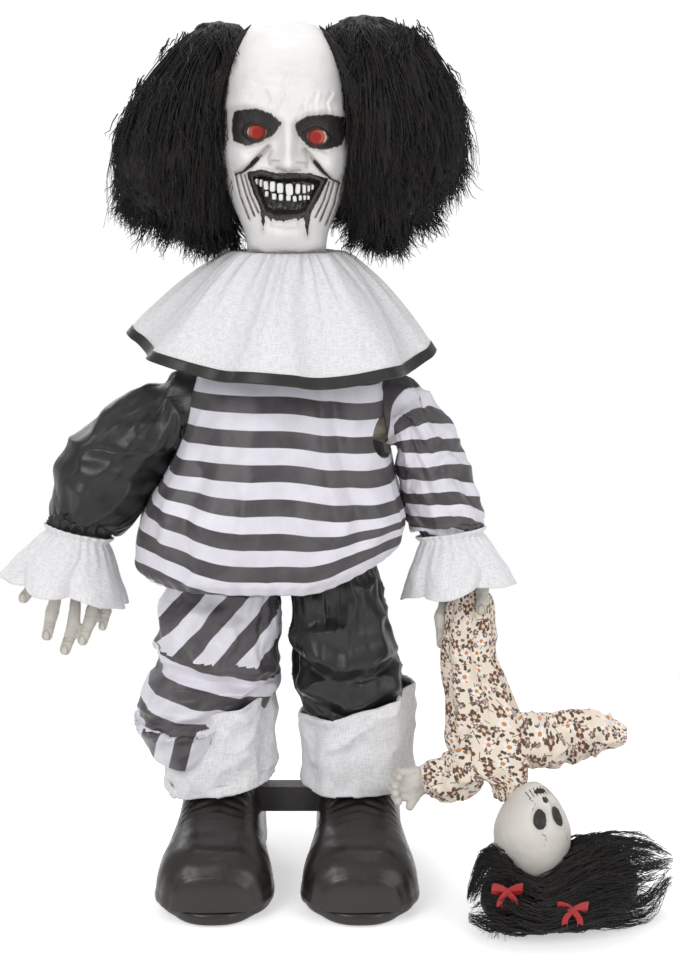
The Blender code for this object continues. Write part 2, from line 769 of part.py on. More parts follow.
def clevis_boxes(centre_x, outward, low_z, high_z, block):
    """Two cheeks round a strut's eye, joined by a block on the inner side."""
    inner = EYE_WIDTH / 2 + RUNNING_GAP
    outer = inner + CHEEK_THICKNESS
    near = centre_x - outward * block
    far = centre_x + outward * EYE_RADIUS
    left = min(near, far)
    right = max(near, far)
    front = box((left, -outer, low_z), (right, -inner, high_z))
    rear = box((left, inner, low_z), (right, outer, high_z))
    return front, rear


def build_foot_frame(base):
    """Cross bar between the ankles, with a clevis, a post and a foot plate in each boot."""
    half_height = CROSSBAR_HEIGHT / 2
    block_start = EYE_RADIUS + 0.003
    block_end = block_start + 0.006
    reach = BOOT_SPREAD - block_start
    bar = box(
        (-reach, -CROSSBAR_DEPTH / 2, ANKLE_HEIGHT - half_height),
        (reach, CROSSBAR_DEPTH / 2, ANKLE_HEIGHT + half_height),
    )
    frame = base.add("foot_crossbar", bar, black_plastic("foot_crossbar"))
    plate_bottom = SOLE_THICKNESS + SEAT_GAP
    plate_top = plate_bottom + FOOT_PLATE_THICKNESS
    outer = EYE_WIDTH / 2 + RUNNING_GAP + CHEEK_THICKNESS
    for sign in SIDES.values():
        centre_x = sign * BOOT_SPREAD
        inner_x = centre_x - sign * block_end
        block_x = centre_x - sign * (block_start + 0.0005)
        left = min(inner_x, block_x)
        right = max(inner_x, block_x)
        low = (left, -outer, ANKLE_HEIGHT - half_height)
        extend(frame, box(low, (right, outer, ANKLE_HEIGHT + half_height)))
        bottom = ANKLE_HEIGHT - half_height
        extend(frame, *clevis_boxes(centre_x, sign, bottom, ANKLE_HEIGHT + half_height, block_end))
        extend(frame, box((left, -outer, plate_top - 0.001), (right, outer, ANKLE_HEIGHT)))
        extend(
            frame,
            box(
                (centre_x - FOOT_PLATE_WIDTH / 2, -FOOT_PLATE_LENGTH / 2, plate_bottom),
                (centre_x + FOOT_PLATE_WIDTH / 2, FOOT_PLATE_LENGTH / 2, plate_top),
            ),
        )
        cut(frame, rod("y", (centre_x, 0.0, ANKLE_HEIGHT), bore(PIN_RADIUS), -2 * outer, 2 * outer))


def pin(centre, radius, length):
    """A headed pin along Y."""
    half = length / 2
    profile = (
        (-half - PIN_HEAD_THICKNESS, PIN_HEAD_RADIUS),
        (-half, PIN_HEAD_RADIUS),
        (-half, radius),
        (half, radius),
    )
    return turned("y", centre, profile)


def build_pins(base, torso):
    length = EYE_WIDTH + 2 * (RUNNING_GAP + CHEEK_THICKNESS + SEAT_GAP)
    for side, sign in SIDES.items():
        place = (sign * BOOT_SPREAD, 0.0, ANKLE_HEIGHT)
        base.add(side + "_ankle_pin", pin(place, PIN_RADIUS, length), steel(side + "_ankle_pin"), place)
    place = (BOOT_SPREAD, 0.0, HIP_HEIGHT)
    torso.add("left_hip_pin", pin(place, PIN_RADIUS, length), steel("left_hip_pin"), place)


def strut(centre_x, hip_radius):
    """A leg strut with an eye at the ankle and at the hip."""
    places = ((ANKLE_HEIGHT, PIN_RADIUS), (HIP_HEIGHT, hip_radius))
    shaft = rod("z", (centre_x, 0.0, 0.0), STRUT_RADIUS, ANKLE_HEIGHT, HIP_HEIGHT)
    eyes = [rod("y", (centre_x, 0.0, z), EYE_RADIUS, -EYE_WIDTH / 2, EYE_WIDTH / 2) for z, _ in places]
    holes = [rod("y", (centre_x, 0.0, z), bore(radius), -EYE_WIDTH, EYE_WIDTH) for z, radius in places]
    return shaft, eyes, holes


def build_struts(right_leg, left_leg):
    for side, body, hip_radius in (("right", right_leg, HIP_SHAFT_RADIUS), ("left", left_leg, PIN_RADIUS)):
        centre_x = SIDES[side] * BOOT_SPREAD
        shaft, eyes, holes = strut(centre_x, hip_radius)
        piece = body.add(side + "_leg_strut", shaft, steel(side + "_leg_strut"))
        extend(piece, *eyes)
        cut(piece, *holes)


def beam_bottom():
    return HIP_HEIGHT + EYE_RADIUS + BEAM_CLEARANCE


def beam_top():
    return beam_bottom() + BEAM_THICKNESS


def build_pelvis(torso):
    """A beam across the hips with a clevis for each leg and a spigot for the spine."""
    outer = EYE_WIDTH / 2 + RUNNING_GAP + CHEEK_THICKNESS
    reach = BOOT_SPREAD + BEAM_OVERHANG
    beam = box((-reach, -outer, beam_bottom()), (reach, outer, beam_top()))
    frame = torso.add("pelvis_frame", beam, steel("pelvis_frame"))
    cheek_bottom = HIP_HEIGHT - EYE_RADIUS + 0.001
    for side, sign in SIDES.items():
        centre_x = sign * BOOT_SPREAD
        radius = HIP_SHAFT_RADIUS if side == "right" else PIN_RADIUS
        extend(frame, *clevis_boxes(centre_x, sign, cheek_bottom, beam_bottom() + 0.002, EYE_RADIUS))
        cut(frame, rod("y", (centre_x, 0.0, HIP_HEIGHT), bore(radius), -2 * outer, 2 * outer))
    spigot = SPINE_RADIUS - SPINE_WALL - SEAT_GAP
    extend(frame, rod("z", (0.0, 0.0, 0.0), spigot, beam_top() - 0.002, beam_top() + 0.014))


def build_sway_drive(right_leg, torso):
    """Gearbox on the beam's rear face, its motor, and the shaft that turns the right hip."""
    outer = EYE_WIDTH / 2 + RUNNING_GAP + CHEEK_THICKNESS
    centre_x = -BOOT_SPREAD
    front = outer + SEAT_GAP
    low = (centre_x - SWAY_BOX_WIDTH * 0.4, front, HIP_HEIGHT - SWAY_BOX_DROP)
    high = (centre_x + SWAY_BOX_WIDTH * 0.6, front + SWAY_BOX_DEPTH, HIP_HEIGHT + SWAY_BOX_RISE)
    gearbox = torso.add("sway_gearbox", bevelled_box(low, high, 0.0015), grey_plastic("sway_gearbox"))
    shaft_end = front + 0.016
    place = (centre_x, 0.0, HIP_HEIGHT)
    cut(gearbox, rod("y", place, bore(HIP_SHAFT_RADIUS), front - 0.01, shaft_end + SEAT_GAP))
    motor_centre = (0.0, front + SWAY_BOX_DEPTH / 2, HIP_HEIGHT + SWAY_BOX_RISE / 2)
    start = high[0] + SEAT_GAP
    profile = (
        (start, SWAY_MOTOR_RADIUS),
        (start + SWAY_MOTOR_LENGTH, SWAY_MOTOR_RADIUS),
        (start + SWAY_MOTOR_LENGTH, 0.004),
        (start + SWAY_MOTOR_LENGTH + 0.002, 0.004),
    )
    torso.add("sway_motor", turned("x", motor_centre, profile), steel("sway_motor"))
    shaft_profile = (
        (-outer - 0.0025, PIN_HEAD_RADIUS + 0.001),
        (-outer - SEAT_GAP, PIN_HEAD_RADIUS + 0.001),
        (-outer - SEAT_GAP, HIP_SHAFT_RADIUS),
        (shaft_end, HIP_SHAFT_RADIUS),
    )
    right_leg.add("right_hip_shaft", turned("y", place, shaft_profile), steel("right_hip_shaft"), place)


def build_spine(torso):
    profile_outer = (beam_top() + SEAT_GAP, SPINE_TOP)
    outer = [oval(z, (0.0, 0.0), SPINE_RADIUS, SPINE_RADIUS, BEARING_SIDES) for z in profile_outer]
    inside = SPINE_RADIUS - SPINE_WALL
    inner = [oval(z, (0.0, 0.0), inside, inside, BEARING_SIDES) for z in profile_outer]
    torso.add("spine_tube", open_tube(outer, inner), steel("spine_tube"))


def torso_height(share):
    """A height on the torso, from the hips at 0 to the head plate at 1."""
    return HIP_HEIGHT + share * HEAD_PLATE_RISE


def shell_rings(inset, count):
    rings = []
    last = len(SHELL_STATIONS) - 1
    for index, (share, half_width, half_depth) in enumerate(SHELL_STATIONS):
        height = torso_height(share)
        if index == 0:
            height += inset
        if index == last:
            height -= inset
        rings.append(oval(height, (0.0, 0.0), half_width - inset, half_depth - inset, count, SHELL_SHAPE))
    return rings


def build_torso_shells(torso):
    """Front and rear halves of the chest, with a panel at the back."""
    reach = 0.2
    halves = {
        "front": ((-reach, -SEAT_GAP / 2, 0.0), (reach, reach, 1.0)),
        "rear": ((-reach, -reach, 0.0), (reach, SEAT_GAP / 2, 1.0)),
    }
    shells = {}
    for half, (low, high) in halves.items():
        name = "torso_" + half + "_shell"
        shell = torso.add(name, closed_loft(shell_rings(0.0, 24)), cream_plastic(name))
        if half == "rear":
            panel_back = PANEL_FACE - PANEL_THICKNESS - 0.004
            extend(
                shell,
                box((-PANEL_HALF_WIDTH, panel_back, PANEL_BOTTOM), (PANEL_HALF_WIDTH, PANEL_FACE, PANEL_TOP)),
            )
        cut(shell, closed_loft(shell_rings(SHELL_WALL, 16)))
        cut(shell, box(low, high))
        spine_hole_top = torso_height(SHELL_STATIONS[1][0])
        cut(shell, rod("z", (0.0, 0.0, 0.0), bore(SPINE_RADIUS), HIP_HEIGHT, spine_hole_top))
        neck_hole = bore(NECK_SHAFT_RADIUS, RUNNING_GAP)
        cut(shell, rod("z", (0.0, 0.0, 0.0), neck_hole, SPINE_TOP, HEAD_PLATE_HEIGHT + 0.06))
        cut(shell, rod("x", (0.0, 0.0, SHOULDER_HEIGHT), bore(HUB_NECK_RADIUS, RUNNING_GAP), -reach, reach))
        shells[half] = shell
    cut_speaker_slots(shells["front"])
    finish_rear_panel(shells["rear"])


def cut_speaker_slots(shell):
    """A grille of upright slots in front of the speaker."""
    for x in (-0.012, -0.004, 0.004, 0.012):
        low = (x - 0.0015, -0.08, SPEAKER_HEIGHT - 0.014)
        high = (x + 0.0015, -0.05, SPEAKER_HEIGHT + 0.014)
        cut(shell, box(low, high))


def battery_space():
    """Half width, bottom and top of the space that the cells fill."""
    half_width = CELL_PITCH * CELL_COUNT / 2
    bottom = PANEL_BOTTOM + 0.0120
    top = bottom + CELL_LENGTH + 2 * RUNNING_GAP
    return half_width, bottom, top


def box_mouth():
    """How far back the battery box reaches."""
    return PANEL_FACE - 0.0030


def door_axis():
    """y and z of the battery door's hinge."""
    _, bottom, _ = battery_space()
    return PANEL_FACE + SEAT_GAP + DOOR_BARREL_RADIUS, bottom - DOOR_OVERLAP - DOOR_BARREL_RADIUS


def door_half_width():
    half_width, _, _ = battery_space()
    return half_width + DOOR_OVERLAP


def finish_rear_panel(shell):
    """Window for the battery box, hinge ears, switch slot, button hole and board posts."""
    half_width, bottom, top = battery_space()
    outer = half_width + BOX_WALL + SEAT_GAP
    deep = PANEL_FACE - PANEL_THICKNESS - 0.01
    wall = BOX_WALL + SEAT_GAP
    cut(shell, box((-outer, deep, bottom - wall), (outer, box_mouth(), top + wall)))
    cut(shell, box((-half_width, deep, bottom), (half_width, PANEL_FACE + 0.01, top)))
    hinge_y, hinge_z = door_axis()
    ear_start = door_half_width() + RUNNING_GAP
    for sign in SIDES.values():
        near = sign * ear_start
        far = sign * (ear_start + EAR_THICKNESS)
        low = (min(near, far), PANEL_FACE - 0.002, hinge_z - DOOR_BARREL_RADIUS)
        high = (max(near, far), hinge_y + DOOR_BARREL_RADIUS, hinge_z + DOOR_BARREL_RADIUS)
        extend(shell, box(low, high))
    hole_end = ear_start + EAR_THICKNESS * 0.67
    cut(shell, rod("x", (0.0, hinge_y, hinge_z), bore(DOOR_TRUNNION_RADIUS), -hole_end, hole_end))
    x, z = SWITCH_PLACE
    half = SWITCH_SIZE[0] / 2 + SWITCH_TRAVEL + RUNNING_GAP
    tall = SWITCH_SIZE[1] / 2 + RUNNING_GAP
    cut(shell, box((x - half, deep, z - tall), (x + half, PANEL_FACE + 0.01, z + tall)))
    x, z = BUTTON_PLACE
    cut(shell, rod("y", (x, 0.0, z), bore(BUTTON_RADIUS, RUNNING_GAP), deep, PANEL_FACE + 0.01))
    for post_x in (-BOARD_SIZE[0] / 2 + 0.006, BOARD_SIZE[0] / 2 - 0.006):
        extend(shell, rod("y", (post_x, 0.0, z), 0.003, board_face() + SEAT_GAP, PANEL_FACE - 0.002, 12))


def board_face():
    """y of the control board's rear face."""
    return PANEL_FACE - PANEL_THICKNESS - BOARD_STANDOFF


def build_rear_panel(torso, door, switch, button):
    half_width, bottom, top = battery_space()
    mouth = box_mouth() - SEAT_GAP
    floor = mouth - 2 * CELL_RADIUS - 0.0035
    tray = torso.add(
        "battery_box",
        box(
            (-half_width - BOX_WALL, floor, bottom - BOX_WALL),
            (half_width + BOX_WALL, mouth, top + BOX_WALL),
        ),
        black_plastic("battery_box"),
    )
    cut(tray, box((-half_width, floor + BOX_WALL, bottom), (half_width, mouth + 0.01, top)))
    for index in range(CELL_COUNT):
        x = (index - (CELL_COUNT - 1) / 2) * CELL_PITCH
        name = "battery_cell_" + str(index + 1)
        centre = (x, floor + BOX_WALL + SEAT_GAP + CELL_RADIUS, bottom + RUNNING_GAP)
        profile = (
            (0.0, CELL_RADIUS),
            (CELL_LENGTH - 0.0015, CELL_RADIUS),
            (CELL_LENGTH - 0.0015, CELL_RADIUS * 0.4),
            (CELL_LENGTH, CELL_RADIUS * 0.4),
        )
        torso.add(name, turned("z", centre, profile), finish(name, (0.10, 0.10, 0.11), 0.3, 0.6), centre)
    build_battery_door(door, top)
    build_switch(switch)
    build_button(button)
    board = (
        (-BOARD_SIZE[0] / 2, board_face() - BOARD_SIZE[1], BUTTON_PLACE[1] - BOARD_SIZE[2] / 2),
        (BOARD_SIZE[0] / 2, board_face(), BUTTON_PLACE[1] + BOARD_SIZE[2] / 2),
    )
    torso.add("control_board", box(*board), finish("control_board", (0.02, 0.16, 0.06), 0.5))


def build_battery_door(door, window_top):
    """A flap on a barrel hinge below the battery window."""
    hinge_y, hinge_z = door_axis()
    reach = door_half_width()
    inner = PANEL_FACE + SEAT_GAP
    plate = box((-reach, inner, hinge_z), (reach, inner + DOOR_THICKNESS, window_top + DOOR_OVERLAP))
    piece = door.add("battery_door", plate, black_plastic("battery_door"))
    stub = EAR_THICKNESS * 0.55
    ear = reach + RUNNING_GAP
    profile = (
        (-ear - stub, DOOR_TRUNNION_RADIUS),
        (-reach, DOOR_TRUNNION_RADIUS),
        (-reach, DOOR_BARREL_RADIUS),
        (reach, DOOR_BARREL_RADIUS),
        (reach, DOOR_TRUNNION_RADIUS),
        (ear + stub, DOOR_TRUNNION_RADIUS),
    )
    extend(piece, turned("x", (0.0, hinge_y, hinge_z), profile))


def build_switch(switch):
    """A slide knob with a wider foot behind the panel."""
    x, z = SWITCH_PLACE
    half = SWITCH_SIZE[0] / 2
    tall = SWITCH_SIZE[1] / 2
    back = PANEL_FACE - PANEL_THICKNESS
    knob = box((x - half, back - 0.006, z - tall), (x + half, PANEL_FACE + 0.0030, z + tall))
    switch.add("mode_switch", knob, finish("mode_switch", (0.60, 0.60, 0.62), 0.4))


def build_button(button):
    """A round push button whose stem runs in the panel."""
    x, z = BUTTON_PLACE
    back = PANEL_FACE - PANEL_THICKNESS
    profile = (
        (back - BOARD_STANDOFF + BUTTON_TRAVEL + SEAT_GAP, BUTTON_RADIUS),
        (PANEL_FACE + 0.0030, BUTTON_RADIUS),
        (PANEL_FACE + 0.0042, BUTTON_RADIUS * 0.75),
    )
    red = finish("try_me_button", (0.55, 0.02, 0.02), 0.4)
    button.add("try_me_button", turned("y", (x, 0.0, z), profile), red)


def build_speaker(torso):
    front = -SHELL_STATIONS[2][2] + SHELL_WALL + SPEAKER_SET_BACK
    profile = (
        (front, SPEAKER_RADIUS),
        (front + 0.003, SPEAKER_RADIUS),
        (front + 0.010, SPEAKER_RADIUS * 0.55),
        (front + SPEAKER_DEPTH, SPEAKER_RADIUS * 0.55),
    )
    torso.add("speaker", turned("y", (0.0, 0.0, SPEAKER_HEIGHT), profile, 20), grey_plastic("speaker"))


def build_head_drive(torso, head):
    width, depth, height = HEAD_BOX_SIZE
    bottom = SPINE_TOP + SEAT_GAP
    gearbox = torso.add(
        "head_gearbox",
        bevelled_box((-width / 2, -depth / 2, bottom), (width / 2, depth / 2, bottom + height), 0.0015),
        grey_plastic("head_gearbox"),
    )
    shaft_bottom = bottom + height * 0.5
    hole = bore(NECK_SHAFT_RADIUS)
    cut(gearbox, rod("z", (0.0, 0.0, 0.0), hole, shaft_bottom - SEAT_GAP, bottom + height + 0.01))
    start = width / 2 + SEAT_GAP
    motor = rod("x", (0.0, 0.0, bottom + height / 2), HEAD_MOTOR_RADIUS, start, start + HEAD_MOTOR_LENGTH)
    torso.add("head_motor", motor, steel("head_motor"))
    profile = (
        (shaft_bottom, NECK_SHAFT_RADIUS),
        (HEAD_PLATE_HEIGHT, NECK_SHAFT_RADIUS),
        (HEAD_PLATE_HEIGHT, HEAD_PLATE_RADIUS),
        (HEAD_PLATE_HEIGHT + HEAD_PLATE_THICKNESS, HEAD_PLATE_RADIUS),
    )
    head.add("neck_shaft", turned("z", (0.0, 0.0, 0.0), profile, PLATE_SIDES), steel("neck_shaft"))


def bump(value, centre, width):
    return math.exp(-(((value - centre) / width) ** 2))


def face_relief(x, z):
    """How far the face stands proud of the plain skull, towards the front."""
    x -= FACE_SHIFT
    z += FACE_TILT * x
    bridge_height = EYE_HEIGHT + NOSE_BRIDGE_RISE
    tip_height = EYE_HEIGHT - NOSE_TIP_DROP
    mouth_height = EYE_HEIGHT - MOUTH_DROP
    slope = (bridge_height - z) / (bridge_height - tip_height)
    nose = 0.0
    if 0.0 < slope <= 1.0:
        nose = NOSE_REACH * slope**1.2 * bump(x, 0.0, NOSE_WIDTH * (0.7 + 0.5 * slope))
    elif slope > 1.0:
        nose = NOSE_REACH * bump(z, tip_height, 0.009) * bump(x, 0.0, NOSE_WIDTH)
    sockets = -SOCKET_DEPTH * bump(abs(x), EYE_SPREAD, 0.016) * bump(z, EYE_HEIGHT, 0.012)
    brow = 0.0040 * bump(abs(x), 0.024, 0.020) * bump(z, EYE_HEIGHT + 0.020, 0.010)
    cheeks = 0.0050 * bump(abs(x), 0.040, 0.014) * bump(z, mouth_height + 0.034, 0.014)
    lips = 0.0030 * bump(x, 0.0, 0.034) * bump(z, mouth_height, 0.014)
    return nose + sockets + brow + cheeks + lips


def hollow_relief(x, z):
    """The hollow inside stays behind the eye sockets."""
    return -SOCKET_DEPTH * bump(z, EYE_HEIGHT, 0.045)


def head_rings(inset, count, relief=face_relief):
    rings = []
    last = len(HEAD_STATIONS) - 1
    for index, (rise, half_width, front, back) in enumerate(HEAD_STATIONS):
        height = HEAD_PLATE_HEIGHT + rise
        if index == last:
            height -= inset
        centre_y = (front + back) / 2
        half_depth = (back - front) / 2 - inset
        ring = []
        for step in range(count):
            part = 2.0 * step / count - 1.0
            angle = math.pi * signed_power(part, 1.45)
            x = max(half_width - inset, 0.002) * math.sin(angle)
            y = centre_y - max(half_depth, 0.002) * math.cos(angle)
            if math.cos(angle) > 0.0:
                y -= relief(x, height)
            ring.append(Vector((x, y, height)))
        rings.append(ring)
    return rings


def eye_place(sign):
    """Middle of an eye. The face is set a little askew, with its left eye lower."""
    across = sign * EYE_SPREAD
    return (FACE_SHIFT + across, 0.0, EYE_HEIGHT - FACE_TILT * across)


def build_head(head):
    """Moulded head, open at the neck, with a lit lens behind each eye hole."""
    skull = closed_loft(head_rings(0.0, HEAD_COLUMNS))
    shell = head.add("head_shell", skull, finish("head_shell", (0.84, 0.83, 0.82), 0.45))
    inner = head_rings(HEAD_WALL, 14, hollow_relief)
    inner = inner[:4] + inner[5::2]
    inner[0] = [point - Vector((0.0, 0.0, 0.01)) for point in inner[0]]
    cut(shell, closed_loft(inner))
    plate_top = HEAD_PLATE_HEIGHT + HEAD_PLATE_THICKNESS + SEAT_GAP
    seat_radius = bore(HEAD_PLATE_RADIUS, SEAT_GAP, PLATE_SIDES)
    cut(shell, rod("z", (0.0, 0.0, 0.0), seat_radius, HEAD_PLATE_HEIGHT - 0.02, plate_top, PLATE_SIDES))
    for side, sign in SIDES.items():
        place = eye_place(sign)
        cut(shell, rod("y", place, bore(LENS_RADIUS), -0.12, -0.03))
        profile = (
            (LENS_SEAT - LENS_DEPTH, LENS_RADIUS * 0.45),
            (LENS_SEAT - LENS_DEPTH * 0.6, LENS_RADIUS * 0.85),
            (LENS_SEAT, LENS_RADIUS),
            (LENS_SEAT + 0.004, LENS_RADIUS),
        )
        name = side + "_eye_lens"
        head.add(name, turned("y", place, profile), finish(name, (0.75, 0.02, 0.02), 0.2), place)
    build_eye_lights(head)


def build_eye_lights(head):
    """One board with a light behind each lens."""
    tip = LENS_SEAT + 0.004 + SEAT_GAP
    reach = EYE_SPREAD + LIGHT_BOARD_OVERHANG
    front = tip + LED_LENGTH
    back = front + LIGHT_BOARD_THICKNESS
    low = (FACE_SHIFT - reach, front, EYE_HEIGHT - LIGHT_BOARD_HEIGHT / 2)
    board = box(low, (FACE_SHIFT + reach, back, EYE_HEIGHT + LIGHT_BOARD_HEIGHT / 2))
    piece = head.add("eye_light_board", board, finish("eye_light_board", (0.02, 0.16, 0.06), 0.5))
    for sign in SIDES.values():
        extend(piece, rod("y", eye_place(sign), LED_RADIUS, tip, back - LIGHT_BOARD_THICKNESS / 2))


def build_hair(head):
    """A puff of fibre at each side, shaped to the head on its inner face."""
    for side, sign in SIDES.items():
        rings = []
        for rise, near, far, half_depth in HAIR_STATIONS:
            height = HEAD_PLATE_HEIGHT + rise
            centre = (sign * (near + far) / 2, HAIR_CENTRE_Y)
            rings.append(oval(height, centre, (far - near) / 2, half_depth, 14))
        name = side + "_hair"
        puff = head.add(name, closed_loft(rings), black_fibre(name))
        around = head_rings(-SEAT_GAP, HEAD_COLUMNS)
        cut(puff, closed_loft(around))


def shirt_rings(inset):
    """Rings from the hem to the neck. Above the armholes the cloth lies on the torso shell."""
    rings = []
    for index, (share, x, y, half_width, half_depth) in enumerate(SHIRT_STATIONS):
        height = torso_height(share)
        fade = max(0.0, 1.0 - index / 6.0)

        def folded(angle, fade=fade, index=index):
            return SHIRT_FOLD_DEPTH * fade * math.cos(SHIRT_FOLDS * angle + 1.3 * index)

        wide = half_width - inset
        deep = half_depth - inset
        rings.append(oval(height, (x, y), wide, deep, SHIRT_COLUMNS, SHIRT_SHAPE, folded))
    for share, half_width, half_depth in SHELL_STATIONS[SHIRT_SHOULDER_STATIONS]:
        height = torso_height(share)
        wide = half_width + CLOTH + SEAT_GAP - inset
        deep = half_depth + CLOTH + SEAT_GAP - inset
        rings.append(oval(height, (0.0, 0.0), wide, deep, SHIRT_COLUMNS, SHELL_SHAPE))
    for height in (SHIRT_NECK_BOTTOM, SHIRT_NECK_TOP):
        radius = SHIRT_NECK_RADIUS - inset
        rings.append(oval(height, (0.0, 0.0), radius, radius, SHIRT_COLUMNS))
    return rings


def build_shirt(torso):
    """A loose shirt body with armholes and a rear opening over the control panel."""
    outer = shirt_rings(0.0)
    inner = shirt_rings(CLOTH)
    shirt = torso.add("shirt", open_tube(outer, inner), striped_satin("shirt"))
    cut(shirt, rod("x", (0.0, 0.0, ARMHOLE_HEIGHT), ARMHOLE_RADIUS, -0.2, 0.2))
    low = (-REAR_OPENING_HALF_WIDTH, 0.0, REAR_OPENING_BOTTOM)
    high = (REAR_OPENING_HALF_WIDTH, 0.2, REAR_OPENING_TOP)
    cut(shirt, box(low, high))


def collar_point(angle, along, offset):
    """A point of the collar: along runs from 0 at the neck to 1 at the hem."""
    front = max(0.0, -math.sin(angle))
    hem_height = COLLAR_HEM_HEIGHT - COLLAR_FRONT_DROP * front - COLLAR_SIDE_DROP * math.cos(angle)
    drop = along**1.15
    height = COLLAR_TOP + (hem_height - COLLAR_TOP) * drop
    spread = along**0.80
    wave = COLLAR_FOLD_DEPTH * along * math.cos(COLLAR_FOLDS * angle)
    wide = COLLAR_NECK_RADIUS + (COLLAR_HEM_WIDTH - COLLAR_NECK_RADIUS) * spread + wave - offset
    deep = COLLAR_NECK_RADIUS + (COLLAR_HEM_DEPTH - COLLAR_NECK_RADIUS) * spread + wave - offset
    return Vector((wide * math.cos(angle), deep * math.sin(angle), height))


def collar_ring(along, offset, count):
    return [collar_point(2.0 * math.pi * step / count, along, offset) for step in range(count)]


def build_collar(torso):
    """A gathered cape collar, and the ribbon that binds its hem."""
    count = COLLAR_FOLDS * 4
    fall = COLLAR_TOP - COLLAR_HEM_HEIGHT + COLLAR_FRONT_DROP / 2
    length = math.hypot(fall, COLLAR_HEM_WIDTH - COLLAR_NECK_RADIUS)
    cloth_end = 1.0 - TRIM_WIDTH / length
    stations = [cloth_end * part for part in (0.0, 0.22, 0.5, 1.0)]
    outer = [collar_ring(along, 0.0, count) for along in stations]
    inner = [collar_ring(along, CLOTH, count // 2) for along in stations]
    torso.add("collar", open_tube(outer, inner), white_cloth("collar"))
    trim_start = cloth_end + 2 * SEAT_GAP / length
    outer = [collar_ring(along, -0.0005, count) for along in (trim_start, 1.0)]
    inner = [collar_ring(along, CLOTH, count // 2) for along in (trim_start, 1.0)]
    torso.add("collar_trim", open_tube(outer, inner), black_satin("collar_trim"))


def arm_tube(points, end_way):
    """A bent tube through the given points, cut square to end_way at its last one."""
    stations = [(point, ARM_TUBE_RADIUS) for point in points]
    return closed_loft(limb_rings(stations, BEARING_SIDES, end=end_way))


def build_shoulder_hub(body, side):
    """A turned hub whose groove is held between the chest shells."""
    sign = SIDES[side]
    shell_side = SHELL_STATIONS[3][1]
    profile = (
        (sign * HUB_INNER, HUB_FLANGE_RADIUS),
        (sign * (shell_side - SHELL_WALL - HUB_SLACK), HUB_FLANGE_RADIUS),
        (sign * (shell_side - SHELL_WALL - HUB_SLACK), HUB_NECK_RADIUS),
        (sign * (shell_side + RUNNING_GAP), HUB_NECK_RADIUS),
        (sign * (shell_side + RUNNING_GAP), HUB_RADIUS),
        (sign * HUB_REACH, HUB_RADIUS),
    )
    name = side + "_shoulder_hub"
    body.add(name, turned("x", (0.0, 0.0, SHOULDER_HEIGHT), profile), cream_plastic(name))


def build_arm(body, side, sleeve, cuff, wrist, palm):
    """Hub, tube, sleeve and flared cuff of one arm. The tube ends on the hand's wrist."""
    build_shoulder_hub(body, side)
    sign = SIDES[side]
    start = (sign * (HUB_REACH + SEAT_GAP), 0.0, SHOULDER_HEIGHT)
    turn = (sign * (HUB_REACH + 0.016), 0.0, SHOULDER_HEIGHT)
    points = [start, turn] + [centre for centre, _ in sleeve[2:-1]]
    hand_way = (Vector(palm[0]) - Vector(wrist)).normalized()
    points.append(Vector(wrist) - hand_way * SEAT_GAP)
    name = side + "_arm_tube"
    body.add(name, arm_tube(points, hand_way), steel(name))
    cloth = striped_satin if side == "left" else black_satin
    top, bottom, radius = cuff
    root = (sign, 0.0, 0.0)
    wrist_way = Vector(bottom) - Vector(top)
    outer = limb_rings(sleeve, 24, (SLEEVE_FOLDS, SLEEVE_FOLD_DEPTH, 0.9), 0.0, root, wrist_way)
    inner = limb_rings(sleeve, 12, None, CLOTH + SLEEVE_FOLD_DEPTH, root, wrist_way)
    name = side + "_sleeve"
    body.add(name, open_tube(outer, inner), cloth(name))
    rings = {"outer": [], "inner": []}
    for along in (0.0, 0.45, 1.0):
        centre = Vector(top).lerp(Vector(bottom), along)
        reach = CUFF_WRIST_RADIUS + (radius - CUFF_WRIST_RADIUS) * along**0.75
        depth = CUFF_FOLD_DEPTH * along

        def wave(angle, depth=depth):
            return depth * math.cos(CUFF_FOLDS * angle)

        rings["outer"].append(limb_ring(centre, wrist_way, reach, CUFF_FOLDS * 8, wave))
        rings["inner"].append(limb_ring(centre, wrist_way, reach - CLOTH, CUFF_FOLDS * 4, wave))
    name = side + "_sleeve_cuff"
    body.add(name, open_tube(rings["outer"], rings["inner"]), white_cloth(name))


def ellipsoid(centre, radii, columns=12, rows=8):
    shape = bmesh.new()
    bmesh.ops.create_uvsphere(shape, u_segments=columns, v_segments=rows, radius=1.0)
    size = Matrix.Diagonal((*radii, 1.0))
    bmesh.ops.transform(shape, matrix=Matrix.Translation(centre) @ size, verts=shape.verts)
    return shape


def finger(points, share):
    """One finger, with its radii times a share."""
    knuckle, joint, tip = (Vector(point) for point in points)
    root_radius = FINGER_RADIUS * share
    tip_radius = FINGERTIP_RADIUS * share
    middle = (root_radius + tip_radius) / 2
    blunt = tip_radius * 0.5
    end = tip + (tip - joint).normalized() * blunt
    stations = ((knuckle, root_radius), (joint, middle), (tip, tip_radius), (end, blunt))
    return closed_loft(limb_rings(stations, 6))


def build_hand(body, side, wrist, palm, fingers):
    centre, radii = palm
    name = side + "_hand"
    hand = body.add(name, ellipsoid(centre, radii), finish(name, (0.66, 0.62, 0.55), 0.55))
    top = Vector(wrist)
    stations = ((top, 0.0110), (top.lerp(Vector(centre), 0.45), 0.0120), (Vector(centre), 0.0085))
    extend(hand, closed_loft(limb_rings(stations, 10)))
    for points in fingers:
        share = LITTLE_FINGER_SHARE if points is fingers[-1] else 1.0
        extend(hand, finger(points, share))
    return hand


